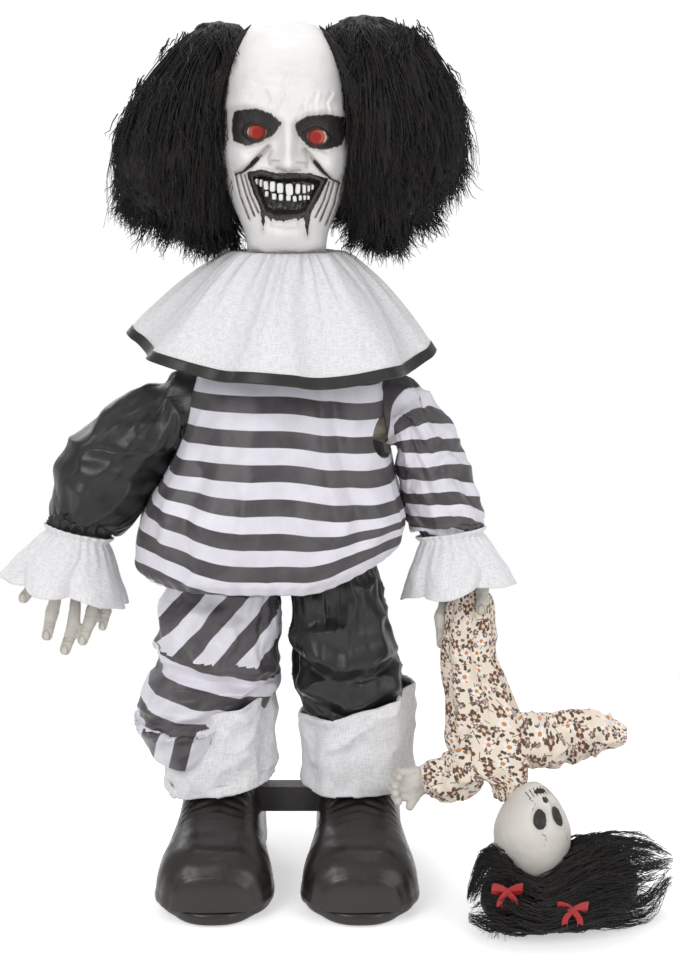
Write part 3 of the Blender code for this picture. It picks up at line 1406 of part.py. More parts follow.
def tucked_stations(side):
    """The trouser leg's lower end, which fills the ankle cuff."""
    flat = math.cos(math.pi / CLOTH_INNER_SIDES)
    room = SEAT_GAP + TUCK_FOLD_ROOM
    half_width = (ANKLE_CUFF_HALF_WIDTH[side] - CLOTH) * flat - room
    half_depth = (ANKLE_CUFF_HALF_DEPTH - CLOTH) * flat - room
    centre = (ANKLE_CUFF_CENTRE[side], -ANKLE_CUFF_SET_FORWARD)
    top = ANKLE_CUFF_TOP + SEAT_GAP
    return tuple((height, *centre, half_width, half_depth) for height in (top - TUCK_LENGTH, top))


def build_trouser_leg(body, side, upper, cloth):
    """A loose trouser leg over its strut, from the waist down into the ankle cuff."""
    waist_reach = HIP_HEIGHT - ANKLE_CUFF_TOP
    stations = tucked_stations(side)
    stations += tuple((ANKLE_CUFF_TOP + share * waist_reach, *rest) for share, *rest in upper)
    outer = []
    inner = []
    total = len(stations)
    for index, (height, x, y, half_width, half_depth) in enumerate(stations):
        fade = math.sin(math.pi * index / (total - 1))

        def wave(angle, index=index, fade=fade):
            twist = TROUSER_TWIST * index / total
            return TROUSER_FOLD_DEPTH * fade * (math.cos(TROUSER_FOLDS * angle + twist) - 0.6)

        outer.append(oval(height, (x, y), half_width, half_depth, 24, CLOTH_SHAPE, wave))
        wall = CLOTH + 2 * TROUSER_FOLD_DEPTH
        wide = half_width - wall
        deep = half_depth - wall
        inner.append(oval(height, (x, y), wide, deep, CLOTH_INNER_SIDES, CLOTH_SHAPE))
    name = side + "_trouser_leg"
    body.add(name, open_tube(outer, inner), cloth(name))


def build_ankle_cuff(body, side):
    """A white gathered band between the trouser leg and the boot."""
    centre = (ANKLE_CUFF_CENTRE[side], -ANKLE_CUFF_SET_FORWARD)
    half_width = ANKLE_CUFF_HALF_WIDTH[side]
    outer = []
    inner = []
    for along in (0.0, 0.30, 0.70, 1.0):
        height = ANKLE_CUFF_BOTTOM + (ANKLE_CUFF_TOP - ANKLE_CUFF_BOTTOM) * along
        swell = 0.0020 * math.sin(math.pi * along)

        def wave(angle, swell=swell, along=along):
            return swell + 0.0012 * math.cos(6 * angle + 2.0 * along)

        outer.append(oval(height, centre, half_width, ANKLE_CUFF_HALF_DEPTH, 24, CLOTH_SHAPE, wave))
        half_depth = ANKLE_CUFF_HALF_DEPTH - CLOTH
        inner.append(oval(height, centre, half_width - CLOTH, half_depth, CLOTH_INNER_SIDES, CLOTH_SHAPE))
    name = side + "_trouser_cuff"
    body.add(name, open_tube(outer, inner), white_cloth(name))


def grip_place():
    """Where the clown's left palm holds the dress."""
    centre, radii = LEFT_PALM
    across = (GRIP_X - centre[0]) / radii[0]
    along = (GRIP_HEIGHT - centre[2]) / radii[2]
    palm_front = centre[1] - radii[1] * math.sqrt(max(0.0, 1.0 - across**2 - along**2))
    return GRIP_X, palm_front - SEAT_GAP - GRIP_CLOTH[1], GRIP_HEIGHT


def doll_stations():
    """The dress from the gathered cloth in the hand down to the doll's neck."""
    x, y, height = grip_place()
    half_width, half_depth = GRIP_CLOTH
    tail = (height + GRIP_TAIL, x, y, half_width * 0.75, half_depth * 0.75)
    body = tuple((doll_height(share), *rest) for share, *rest in DOLL_BODY)
    return (tail, (height, x, y, half_width, half_depth)) + body


def doll_rings(inset, count):
    rings = []
    stations = doll_stations()
    total = len(stations)
    for index, (height, x, y, half_width, half_depth) in enumerate(stations):
        fade = math.sin(math.pi * index / (total - 1))
        if index == total - 1:
            height += inset

        def wave(angle, index=index, fade=fade):
            return DOLL_FOLD_DEPTH * fade * math.cos(6 * angle + 0.7 * index)

        rings.append(oval(height, (x, y), half_width - inset, half_depth - inset, count, folds=wave))
    return rings


def build_doll(doll):
    """A rag doll: floral dress, two stuffed sleeves, one hand, head, hair and ribbons."""
    doll.add("doll_body", closed_loft(doll_rings(0.0, 20)), floral_cloth("doll_body"))
    sleeves = (("doll_right_sleeve", DOLL_RIGHT_SLEEVE), ("doll_left_sleeve", DOLL_LEFT_SLEEVE))
    for name, stations in sleeves:
        sleeve = doll.add(name, closed_loft(limb_rings(stations, 14)), floral_cloth(name))
        cut(sleeve, closed_loft(doll_rings(-SEAT_GAP, 20)))
    build_doll_hand(doll)
    centre, radii = DOLL_HEAD
    skin_cloth = finish("doll_head", (0.74, 0.72, 0.67), 0.7)
    head = doll.add("doll_head", ellipsoid(centre, radii, 20, 12), skin_cloth)
    cut(head, closed_loft(doll_rings(-SEAT_GAP, 20)))
    hair = doll.add("doll_hair", closed_loft(doll_hair_rings(0.0)), black_fibre("doll_hair"))
    clear = [radius + SEAT_GAP for radius in radii]
    cut(hair, ellipsoid(centre, clear, 20, 12))
    for index, place in enumerate(RIBBON_PLACES):
        build_ribbon(doll, "doll_ribbon_" + str(index + 1), *place)


def doll_hair_rings(grow):
    """Upright rings through the spread hair, from the clown's side outwards."""
    rings = []
    for x, centre_y, half_depth, bottom, top in DOLL_HAIR:
        ring = []
        for step in range(DOLL_HAIR_SIDES):
            angle = 2.0 * math.pi * step / DOLL_HAIR_SIDES
            y = centre_y + (half_depth + grow) * math.cos(angle)
            rise = (top - bottom) / 2 + grow
            z = (bottom + top) / 2 + rise * signed_power(math.sin(angle), DOLL_HAIR_SHAPE)
            ring.append(Vector((x, y, z)))
        rings.append(ring)
    return rings


def doll_hair_front(x, z):
    """y of the hair's front at one place, between the two stations round it."""
    for near, far in zip(DOLL_HAIR, DOLL_HAIR[1:]):
        if near[0] <= x <= far[0]:
            part = (x - near[0]) / (far[0] - near[0])
            centre_y, half_depth, bottom, top = (a + (b - a) * part for a, b in zip(near[1:], far[1:]))
            rise = (2 * z - bottom - top) / (top - bottom)
            angle = math.asin(signed_power(rise, 1.0 / DOLL_HAIR_SHAPE))
            return centre_y - half_depth * math.cos(angle)
    return DOLL_HAIR[0][1]


def build_doll_hand(doll):
    """One small hand with four fingers, seated in the end of its sleeve."""
    centre, radii = DOLL_HAND
    vinyl = finish("doll_hand", (0.70, 0.67, 0.60), 0.6)
    hand = doll.add("doll_hand", ellipsoid(centre, radii, 10, 6), vinyl)
    wrist = (
        (Vector(DOLL_RIGHT_SLEEVE[-1][0]) + Vector((-0.0006, 0.0, -0.0006)), 0.0070),
        (Vector(centre), 0.0060),
    )
    extend(hand, closed_loft(limb_rings(wrist, 8)))
    radius = DOLL_FINGER_RADIUS
    for spread in DOLL_FINGER_SPREAD:
        root = Vector(centre) + Vector((-DOLL_FINGER_REACH / 3, 0.0, spread * 0.7))
        tip = Vector(centre) + Vector((-DOLL_FINGER_REACH, 0.0, spread * 1.4))
        stations = ((root, radius), (root.lerp(tip, 0.6), radius * 0.93), (tip, radius * 0.65))
        extend(hand, closed_loft(limb_rings(stations, 5)))
    last, sleeve_radius = DOLL_RIGHT_SLEEVE[-1]
    beyond = Vector(last) + (Vector(last) - Vector(DOLL_RIGHT_SLEEVE[-2][0])).normalized() * SEAT_GAP
    stations = DOLL_RIGHT_SLEEVE[:-1] + ((tuple(beyond), sleeve_radius),)
    cut(hand, closed_loft(limb_rings(stations, 14, inset=-SEAT_GAP)))


def build_ribbon(doll, name, centre_x, centre_z):
    """A bow: two loops and a knot, seated on the hair."""
    centre_y = doll_hair_front(centre_x, centre_z) - RIBBON_THICKNESS / 2 + RIBBON_SINK
    half = RIBBON_SPAN / 2
    stations = []
    for along, share in ((-1.0, 0.55), (-0.6, 1.0), (-0.15, 0.45), (0.15, 0.45), (0.6, 1.0), (1.0, 0.55)):
        stations.append((along * half, share * RIBBON_HEIGHT / 2))
    rings = []
    for x, tall in stations:
        ring = []
        for step in range(8):
            angle = 2.0 * math.pi * step / 8
            y = RIBBON_THICKNESS / 2 * math.cos(angle)
            ring.append(Vector((centre_x + x, centre_y + y, centre_z + tall * math.sin(angle))))
        rings.append(ring)
    bow = doll.add(name, closed_loft(rings), finish(name, (0.50, 0.02, 0.03), 0.4))
    cut(bow, closed_loft(doll_hair_rings(SEAT_GAP)))


def centre_on_floor(root):
    """Put the middle of the figure's box on the origin, standing on Z = 0."""
    bpy.context.view_layer.update()
    graph = bpy.context.evaluated_depsgraph_get()
    low = Vector((math.inf,) * 3)
    high = Vector((-math.inf,) * 3)
    for obj in bpy.context.scene.collection.objects:
        if obj.type != "MESH" or obj.hide_render:
            continue
        evaluated = obj.evaluated_get(graph)
        for corner in evaluated.bound_box:
            point = evaluated.matrix_world @ Vector(corner)
            low = Vector(map(min, low, point))
            high = Vector(map(max, high, point))
    middle = (low + high) / 2
    root.empty.location -= Vector((middle.x, middle.y, low.z))
    bpy.context.view_layer.update()


def build_figure():
    root = Frame("figure", (0.0, 0.0, 0.0))
    base = Frame("base", (0.0, 0.0, 0.0), root)
    right_leg = Frame("right_ankle_axis", (-BOOT_SPREAD, 0.0, ANKLE_HEIGHT), base)
    torso = Frame("right_hip_axis", (-BOOT_SPREAD, 0.0, HIP_HEIGHT), right_leg)
    left_leg = Frame("left_hip_axis", (BOOT_SPREAD, 0.0, HIP_HEIGHT), torso)
    head = Frame("neck_axis", (0.0, 0.0, HEAD_PLATE_HEIGHT), torso)
    right_arm = Frame("right_shoulder_axis", (-HUB_REACH, 0.0, SHOULDER_HEIGHT), torso)
    left_arm = Frame("left_shoulder_axis", (HUB_REACH, 0.0, SHOULDER_HEIGHT), torso)
    doll = Frame("doll_grip_axis", grip_place(), left_arm)
    hinge_y, hinge_z = door_axis()
    door = Frame("battery_door_axis", (0.0, hinge_y, hinge_z), torso)
    switch = Frame("mode_switch_slide", (SWITCH_PLACE[0], PANEL_FACE, SWITCH_PLACE[1]), torso)
    button = Frame("try_me_slide", (BUTTON_PLACE[0], PANEL_FACE, BUTTON_PLACE[1]), torso)

    build_boots(base)
    build_foot_frame(base)
    build_pins(base, torso)
    build_struts(right_leg, left_leg)
    build_pelvis(torso)
    build_sway_drive(right_leg, torso)
    build_spine(torso)
    build_torso_shells(torso)
    build_rear_panel(torso, door, switch, button)
    build_speaker(torso)
    build_head_drive(torso, head)
    build_head(head)
    build_hair(head)
    build_shirt(torso)
    build_collar(torso)
    build_arm(right_arm, "right", RIGHT_SLEEVE, RIGHT_CUFF, RIGHT_WRIST, RIGHT_PALM)
    build_arm(left_arm, "left", LEFT_SLEEVE, LEFT_CUFF, LEFT_WRIST, LEFT_PALM)
    build_hand(right_arm, "right", RIGHT_WRIST, RIGHT_PALM, RIGHT_FINGERS)
    build_hand(left_arm, "left", LEFT_WRIST, LEFT_PALM, LEFT_FINGERS)
    build_trouser_leg(right_leg, "right", RIGHT_TROUSERS, striped_satin)
    build_trouser_leg(left_leg, "left", LEFT_TROUSERS, black_satin)
    build_ankle_cuff(right_leg, "right")
    build_ankle_cuff(left_leg, "left")
    build_doll(doll)
    centre_on_floor(root)


clear_scene()
build_figure()
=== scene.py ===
"""The looks of an animated clown figure that holds a doll by its dress.

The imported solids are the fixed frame. Cloth, hair, faces and hands are modelled here around
them, every surface gets its finish, and the figure stands on a pale floor in soft light.
"""

import json
import logging
import math
from dataclasses import dataclass
from enum import Enum
from typing import Callable, Optional, Sequence

import bpy
import numpy as np
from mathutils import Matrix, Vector, noise

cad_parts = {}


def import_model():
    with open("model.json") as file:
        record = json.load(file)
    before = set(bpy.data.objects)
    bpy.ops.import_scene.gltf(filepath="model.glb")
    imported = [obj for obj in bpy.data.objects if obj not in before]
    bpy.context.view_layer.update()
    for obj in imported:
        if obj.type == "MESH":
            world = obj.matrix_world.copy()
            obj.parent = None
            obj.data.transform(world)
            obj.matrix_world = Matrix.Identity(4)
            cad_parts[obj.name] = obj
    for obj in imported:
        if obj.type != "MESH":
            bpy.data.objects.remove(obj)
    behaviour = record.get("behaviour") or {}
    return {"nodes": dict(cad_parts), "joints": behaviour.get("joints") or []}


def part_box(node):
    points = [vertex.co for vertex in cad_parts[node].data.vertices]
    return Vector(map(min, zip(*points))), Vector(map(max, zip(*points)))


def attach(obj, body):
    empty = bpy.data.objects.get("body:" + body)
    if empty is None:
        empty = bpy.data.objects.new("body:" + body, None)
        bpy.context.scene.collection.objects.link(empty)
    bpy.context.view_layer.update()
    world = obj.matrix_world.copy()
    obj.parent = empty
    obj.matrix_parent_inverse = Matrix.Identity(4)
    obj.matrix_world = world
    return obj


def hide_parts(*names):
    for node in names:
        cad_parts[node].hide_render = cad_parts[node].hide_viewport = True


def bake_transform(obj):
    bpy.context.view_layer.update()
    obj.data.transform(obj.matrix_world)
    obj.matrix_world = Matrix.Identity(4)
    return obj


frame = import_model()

log = logging.getLogger("clown")

Array = np.ndarray
Colour = tuple[float, float, float]
Point = tuple[float, float, float]
Spot = tuple[float, float]
Row = tuple[float, ...]
Line = Sequence[Spot]
Lay = Callable[[Array, Array], Array]
Piece = bpy.types.Object
Finish = bpy.types.Material
Socket = bpy.types.NodeSocket

CLOTH_WALL = 0.0009
STRIPE_PITCH = 0.0162
SEAM_MERGE = 0.00002
END_SHARE = 0.0001
FAR = 1e9
WHITE = (1.0, 1.0, 1.0, 1.0)


def joint_point(name: str) -> Vector:
    """Where a joint of the frame lies at rest.

    Args:
        name: The joint's name in the record.

    Returns:
        The joint's point in world metres.
    """
    found = next(joint for joint in frame["joints"] if joint["name"] == name)
    return Vector(found["pos_m"])


NECK = joint_point("head_turn")
PLAN_SHIFT = np.array((NECK.x, NECK.y, 0.0))


class Side(Enum):
    """The figure's own right and left: its right is at negative X."""

    RIGHT = "right"
    LEFT = "left"

    def __str__(self) -> str:
        """The word that the side's pieces start with."""
        return self.value

    @property
    def sign(self) -> float:
        """Minus one on the figure's right, plus one on its left."""
        return -1.0 if self is Side.RIGHT else 1.0


class Coordinates(Enum):
    """What a material's pattern follows."""

    OBJECT = "Object"
    CLOTH = "UV"


def clear_selection() -> None:
    """Leaves object mode with nothing selected."""
    if bpy.context.mode != "OBJECT":
        bpy.ops.object.mode_set(mode="OBJECT")
    bpy.ops.object.select_all(action="DESELECT")


def pick(obj: Piece) -> None:
    """Selects one object alone and makes it the active one."""
    clear_selection()
    obj.select_set(True)
    bpy.context.view_layer.objects.active = obj


def newest(name: str) -> Piece:
    """Names the object that the last operator added, and returns it."""
    obj = bpy.context.active_object
    obj.name = obj.data.name = name
    return obj


def world(place: Sequence[float]) -> Vector:
    """A place of the figure's own frame in world metres."""
    return Vector(place) + Vector(PLAN_SHIFT)


def ball(name: str, place: Sequence[float], segments: int, rings: int, **form: object) -> Piece:
    """Adds a sphere of some form in the figure's own frame."""
    clear_selection()
    bpy.ops.mesh.primitive_uv_sphere_add(
        segments=segments, ring_count=rings, location=world(place), **form
    )
    return newest(name)


def joined(name: str, parts: Sequence[Piece]) -> Piece:
    """Joins parts into the first of them, which keeps no place, turn or scale of its own."""
    pick(parts[0])
    for part in parts:
        part.select_set(True)
    bpy.ops.object.join()
    bpy.ops.object.transform_apply(location=True, rotation=True, scale=True)
    return newest(name)


def coordinates(obj: Piece) -> Array:
    """The object's mesh points, one row each."""
    points = np.empty(len(obj.data.vertices) * 3)
    obj.data.vertices.foreach_get("co", points)
    return points.reshape(-1, 3)


def place_points(obj: Piece, points: Array) -> None:
    """Moves the object's mesh points to the given rows."""
    obj.data.vertices.foreach_set("co", points.astype(np.float32).ravel())
    obj.data.update()


def own_points(obj: Piece) -> Array:
    """The object's mesh points in the figure's own frame."""
    return coordinates(obj) - PLAN_SHIFT


def normals(obj: Piece) -> Array:
    """The object's point normals, one row each."""
    values = np.empty(len(obj.data.vertices) * 3)
    obj.data.vertices.foreach_get("normal", values)
    return values.reshape(-1, 3)


def corner_points(obj: Piece) -> tuple[Array, Array, Array]:
    """The X, Y and Z of each face corner of the object, in the figure's own frame."""
    corners = np.empty(len(obj.data.loops), np.int32)
    obj.data.loops.foreach_get("vertex_index", corners)
    return own_points(obj)[corners].T


def lay_stripes(obj: Piece, rule: Callable[[Array], Array]) -> None:
    """Changes where along the cloth each face corner reads its stripes.

    Args:
        obj: The sheet.
        rule: Gives each corner's new place along the cloth from its place so far.
    """
    layer = obj.data.uv_layers.active.data
    flat = np.empty(len(layer) * 2)
    layer.foreach_get("uv", flat)
    flat = flat.reshape(-1, 2)
    flat[:, 1] = rule(flat[:, 1])
    layer.foreach_set("uv", flat.ravel())


def store(obj: Piece, name: str, values: Array) -> None:
    """Keeps one number for each mesh point, for a material to read."""
    attribute = obj.data.attributes.new(name, "FLOAT", "POINT")
    attribute.data.foreach_set("value", np.clip(values, 0.0, 1.0).astype(np.float32))


def apply_modifiers(obj: Piece) -> None:
    """Applies every modifier on the object, in order."""
    pick(obj)
    for modifier in list(obj.modifiers):
        bpy.ops.object.modifier_apply(modifier=modifier.name)


def merge_doubles(obj: Piece, distance: float = SEAM_MERGE) -> None:
    """Merges points that lie on each other and turns the faces outwards.

    Args:
        obj: The mesh object.
        distance: How far apart two merged points may lie, in metres.
    """
    pick(obj)
    bpy.ops.object.mode_set(mode="EDIT")
    bpy.ops.mesh.select_all(action="SELECT")
    bpy.ops.mesh.remove_doubles(threshold=distance)
    bpy.ops.mesh.normals_make_consistent(inside=False)
    bpy.ops.object.mode_set(mode="OBJECT")


def smooth(obj: Piece, angle: float = 180.0) -> Piece:
    """Shades the object smooth, with edges sharper than an angle left sharp.

    Args:
        obj: The mesh object.
        angle: The sharpest smooth edge, in degrees.

    Returns:
        The same object.
    """
    pick(obj)
    if angle >= 180.0:
        bpy.ops.object.shade_smooth()
    else:
        bpy.ops.object.shade_smooth_by_angle(angle=math.radians(angle))
    return obj


def subdivide(obj: Piece, levels: int) -> None:
    """Subdivides the object's surface and applies it."""
    modifier = obj.modifiers.new("finer", "SUBSURF")
    modifier.levels = levels
    modifier.render_levels = levels
    apply_modifiers(obj)


def give_wall(obj: Piece, wall: float, offset: float = -1.0) -> None:
    """Gives a thin sheet its thickness, inwards unless offset says otherwise.

    Args:
        obj: The sheet.
        wall: The thickness in metres.
        offset: Minus one for inwards, one for outwards.
    """
    modifier = obj.modifiers.new("wall", "SOLIDIFY")
    modifier.thickness = wall
    modifier.offset = offset
    apply_modifiers(obj)


def eased(keys: Sequence[float], values: Sequence, at: Array) -> Array:
    """A smooth curve through values given at some keys.

    Args:
        keys: Rising numbers.
        values: One number or row of numbers for each key.
        at: Where the curve is read.

    Returns:
        The curve's value at each number of at.
    """
    keys = np.asarray(keys, float)
    values = np.asarray(values, float)
    flat = values.ndim == 1
    table = values[:, None] if flat else values
    slopes = np.gradient(table, keys, axis=0)
    at = np.clip(np.asarray(at, float), keys[0], keys[-1])
    low = np.clip(np.searchsorted(keys, at) - 1, 0, len(keys) - 2)
    step = (keys[low + 1] - keys[low])[..., None]
    t = (at - keys[low])[..., None] / step
    found = (
        (2 * t**3 - 3 * t**2 + 1) * table[low]
        + (t**3 - 2 * t**2 + t) * step * slopes[low]
        + (3 * t**2 - 2 * t**3) * table[low + 1]
        + (t**3 - t**2) * step * slopes[low + 1]
    )
    return found[..., 0] if flat else found


def ramp(low: float, high: float, values: Array) -> Array:
    """A smooth step from nought at low to one at high."""
    t = np.clip((np.asarray(values, float) - low) / (high - low), 0.0, 1.0)
    return t * t * (3 - 2 * t)


def closed_ends(share: Array) -> Array:
    """Nought at a form's two ends, where it closes, and one between them."""
    return np.where((share < END_SHARE) | (share > 1.0 - END_SHARE), 0.0, 1.0)


def mound(values: Array, centre: float, width: float) -> Array:
    """A bell curve of height one round a centre."""
    return np.exp(-(((values - centre) / width) ** 2))


def grain(points: Array, size: float, seed: int, octaves: int = 2) -> Array:
    """Smooth noise of about minus one to one at each point.

    Args:
        points: Rows of three coordinates in metres.
        size: How large its features are, in metres.
        seed: Picks one pattern of many.
        octaves: How many finer layers it has.

    Returns:
        One number for each point.
    """
    shift = Vector((17.31 * seed, 5.17 * seed, 9.73 * seed))
    found = [noise.fractal(Vector(p) / size + shift, 0.9, 2.1, octaves) for p in points]
    return np.array(found)


def creases(points: Array, size: float, seed: int, octaves: int = 2) -> Array:
    """Noise with soft mounds and narrow valleys, as crumpled cloth has, from nought to one."""
    return 1.0 - np.abs(np.clip(grain(points, size, seed, octaves) * 1.6, -1.0, 1.0))


def line_distance(flat: Array, line: Line) -> Array:
    """How far each flat point lies from a bent line.

    Args:
        flat: Rows of two coordinates.
        line: The line's own points.

    Returns:
        The least distance for each row.
    """
    best = np.full(len(flat), FAR)
    for start, end in zip(line[:-1], line[1:]):
        first = np.asarray(start, float)
        along = np.asarray(end, float) - first
        share = np.clip((flat - first) @ along / (along @ along), 0.0, 1.0)
        best = np.minimum(best, np.linalg.norm(flat - first - share[:, None] * along, axis=1))
    return best


def laid_grid(name: str, across: int, along: int, lay: Lay) -> Piece:
    """Adds a grid and lays its points where a rule says.

    Args:
        name: The new object's name.
        across: How many faces it has in U.
        along: How many faces it has in V.
        lay: Gives the rows of points, in the figure's own frame, for U and V from nought to one.

    Returns:
        The new object, with its flat layout kept as its UV map.
    """
    clear_selection()
    bpy.ops.mesh.primitive_grid_add(x_subdivisions=across, y_subdivisions=along, size=1.0)
    obj = newest(name)
    flat = coordinates(obj) + 0.5
    place_points(obj, lay(flat[:, 0], flat[:, 1]) + PLAN_SHIFT)
    return obj


def tube_cloth(name: str, across: int, along: int, lay: Lay) -> Piece:
    """A laid grid whose two sides in U are sewn together into a tube."""
    obj = laid_grid(name, across, along, lay)
    merge_doubles(obj)
    return obj


def super_circle(angle: Array, power: float) -> tuple[Array, Array]:
    """A unit outline between a circle, at power two, and a square.

    Args:
        angle: Where the outline is read, in radians.
        power: How square it is.

    Returns:
        Its cosine and sine parts.
    """
    cosine = np.cos(angle)
    sine = np.sin(angle)
    size = (np.abs(cosine) ** power + np.abs(sine) ** power) ** (-1.0 / power)
    return cosine * size, sine * size


def read_rows(rows: Sequence[Row], at: Array) -> Array:
    """The numbers that follow the first one in each row, read smoothly between the rows.

    Args:
        rows: The rows, by their rising first number.
        at: The first numbers at which they are read.

    Returns:
        One column for each number that follows.
    """
    return eased([row[0] for row in rows], [row[1:] for row in rows], at).T


def upright_form(
    rows: Sequence[Row], u: Array, v: Array, squareness: float, close: Array | float = 1.0
) -> tuple[Array, Array, Array]:
    """The smooth form of an upright garment, its seam at the back.

    Args:
        rows: Height, centre X, centre Y, half width and half depth of each station, bottom first.
        u: From nought to one round it.
        v: From nought at its bottom to one at its top.
        squareness: The power of its rounded section.
        close: Draws a closed form's ends in to points.

    Returns:
        The five numbers of its rows, its points, and the level direction outwards at each.
    """
    low, high = rows[0][0], rows[-1][0]
    at = low + v * (high - low)
    stations = np.column_stack([at, read_rows(rows, at).T])
    cosine, sine = super_circle(math.tau * u + math.pi / 2, squareness)
    points = np.column_stack([
        stations[:, 1] + stations[:, 3] * cosine * close,
        stations[:, 2] + stations[:, 4] * sine * close, stations[:, 0],
    ])
    return stations, points, np.column_stack([cosine, sine, 0.0 * v])


def round_form(path: Sequence[Point], u: Array, v: Array, radius: Array) -> tuple[Array, Array]:
    """The smooth form of a tube round a bent line.

    Args:
        path: The line's points.
        u: From nought to one round the tube.
        v: From nought to one along it.
        radius: The tube's radius at each.

    Returns:
        Its points, and the direction outwards at each.
    """
    places, back, aside = bent_frame(path, v)
    angle = math.tau * u
    out_way = np.cos(angle)[:, None] * aside + np.sin(angle)[:, None] * back
    return places + out_way * radius[:, None], out_way


def bent_frame(path: Sequence[Point], share: Array) -> tuple[Array, Array, Array]:
    """A smooth line through points, with two directions square to it.

    Args:
        path: The line's points.
        share: Where it is read, from nought to one along its length.

    Returns:
        The places, the direction nearest to the figure's back, and the direction square to both.
    """
    steps = np.linalg.norm(np.diff(np.asarray(path, float), axis=0), axis=1)
    keys = np.concatenate([[0.0], np.cumsum(steps)]) / steps.sum()
    places = eased(keys, path, share)
    ahead = eased(keys, path, np.clip(share + 0.01, 0, 1)) - eased(
        keys, path, np.clip(share - 0.01, 0, 1)
    )
    ahead /= np.linalg.norm(ahead, axis=1)[:, None]
    back = np.array((0.0, 1.0, 0.0)) - ahead[:, 1:2] * ahead
    back /= np.linalg.norm(back, axis=1)[:, None]
    return places, back, np.cross(back, ahead)


def dress(obj: Piece, material: Finish, slot: str, body: Optional[str] = None) -> Piece:
    """Gives a piece its finish and, where it moves with one body, its body; its slot is only logged.

    Args:
        obj: The piece.
        material: Its finish.
        slot: The record's material slot.
        body: The body that carries it, or nothing for a piece that no body carries.

    Returns:
        The same object.
    """
    obj.data.materials.clear()
    obj.data.materials.append(material)
    if body:
        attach(obj, body)
    log.info("%s: %d faces in %s", obj.name, len(obj.data.polygons), slot)
    return obj


def repaint(node: str, material: Finish) -> None:
    """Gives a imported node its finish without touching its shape."""
    obj = frame["nodes"][node]
    if not obj.material_slots:
        obj.data.materials.append(material)
    for slot in obj.material_slots:
        slot.material = material
    log.info("%s keeps its solid", node)


@dataclass
class Billow:
    """How a sheet is let loose by cloth simulation between the edges that hold it."""

    growth: float = 0.06
    pressure: float = 0.0
    frames: int = 20
    cap: float = 0.01
    gravity: float = 1.0
    bending: float = 0.4

    def run(self, obj: Piece, held: Array) -> None:
        """Simulates the sheet, caps how far its points move and keeps the result.

        Args:
            obj: The sheet, in place.
            held: From nought, loose, to one, held still, for each point.
        """
        before = coordinates(obj)
        group = obj.vertex_groups.new(name="held")
        for index, weight in enumerate(held):
            if weight > 0.0:
                group.add([index], float(weight), "REPLACE")
        cloth = obj.modifiers.new("cloth", "CLOTH")
        cloth.settings.vertex_group_mass = "held"
        cloth.settings.quality = 7
        cloth.settings.mass = 0.12
        cloth.settings.shrink_min = -self.growth
        cloth.settings.bending_stiffness = self.bending
        cloth.settings.effector_weights.gravity = self.gravity
        cloth.settings.use_pressure = self.pressure > 0.0
        cloth.settings.uniform_pressure_force = self.pressure
        cloth.point_cache.frame_start = 1
        cloth.point_cache.frame_end = self.frames
        for number in range(1, self.frames + 1):
            bpy.context.scene.frame_set(number)
        apply_modifiers(obj)
        bpy.context.scene.frame_set(1)
        moved = coordinates(obj) - before
        far = np.linalg.norm(moved, axis=1)[:, None] + 1e-9
        place_points(obj, before + moved / far * self.cap * np.tanh(far / self.cap))
        obj.vertex_groups.clear()


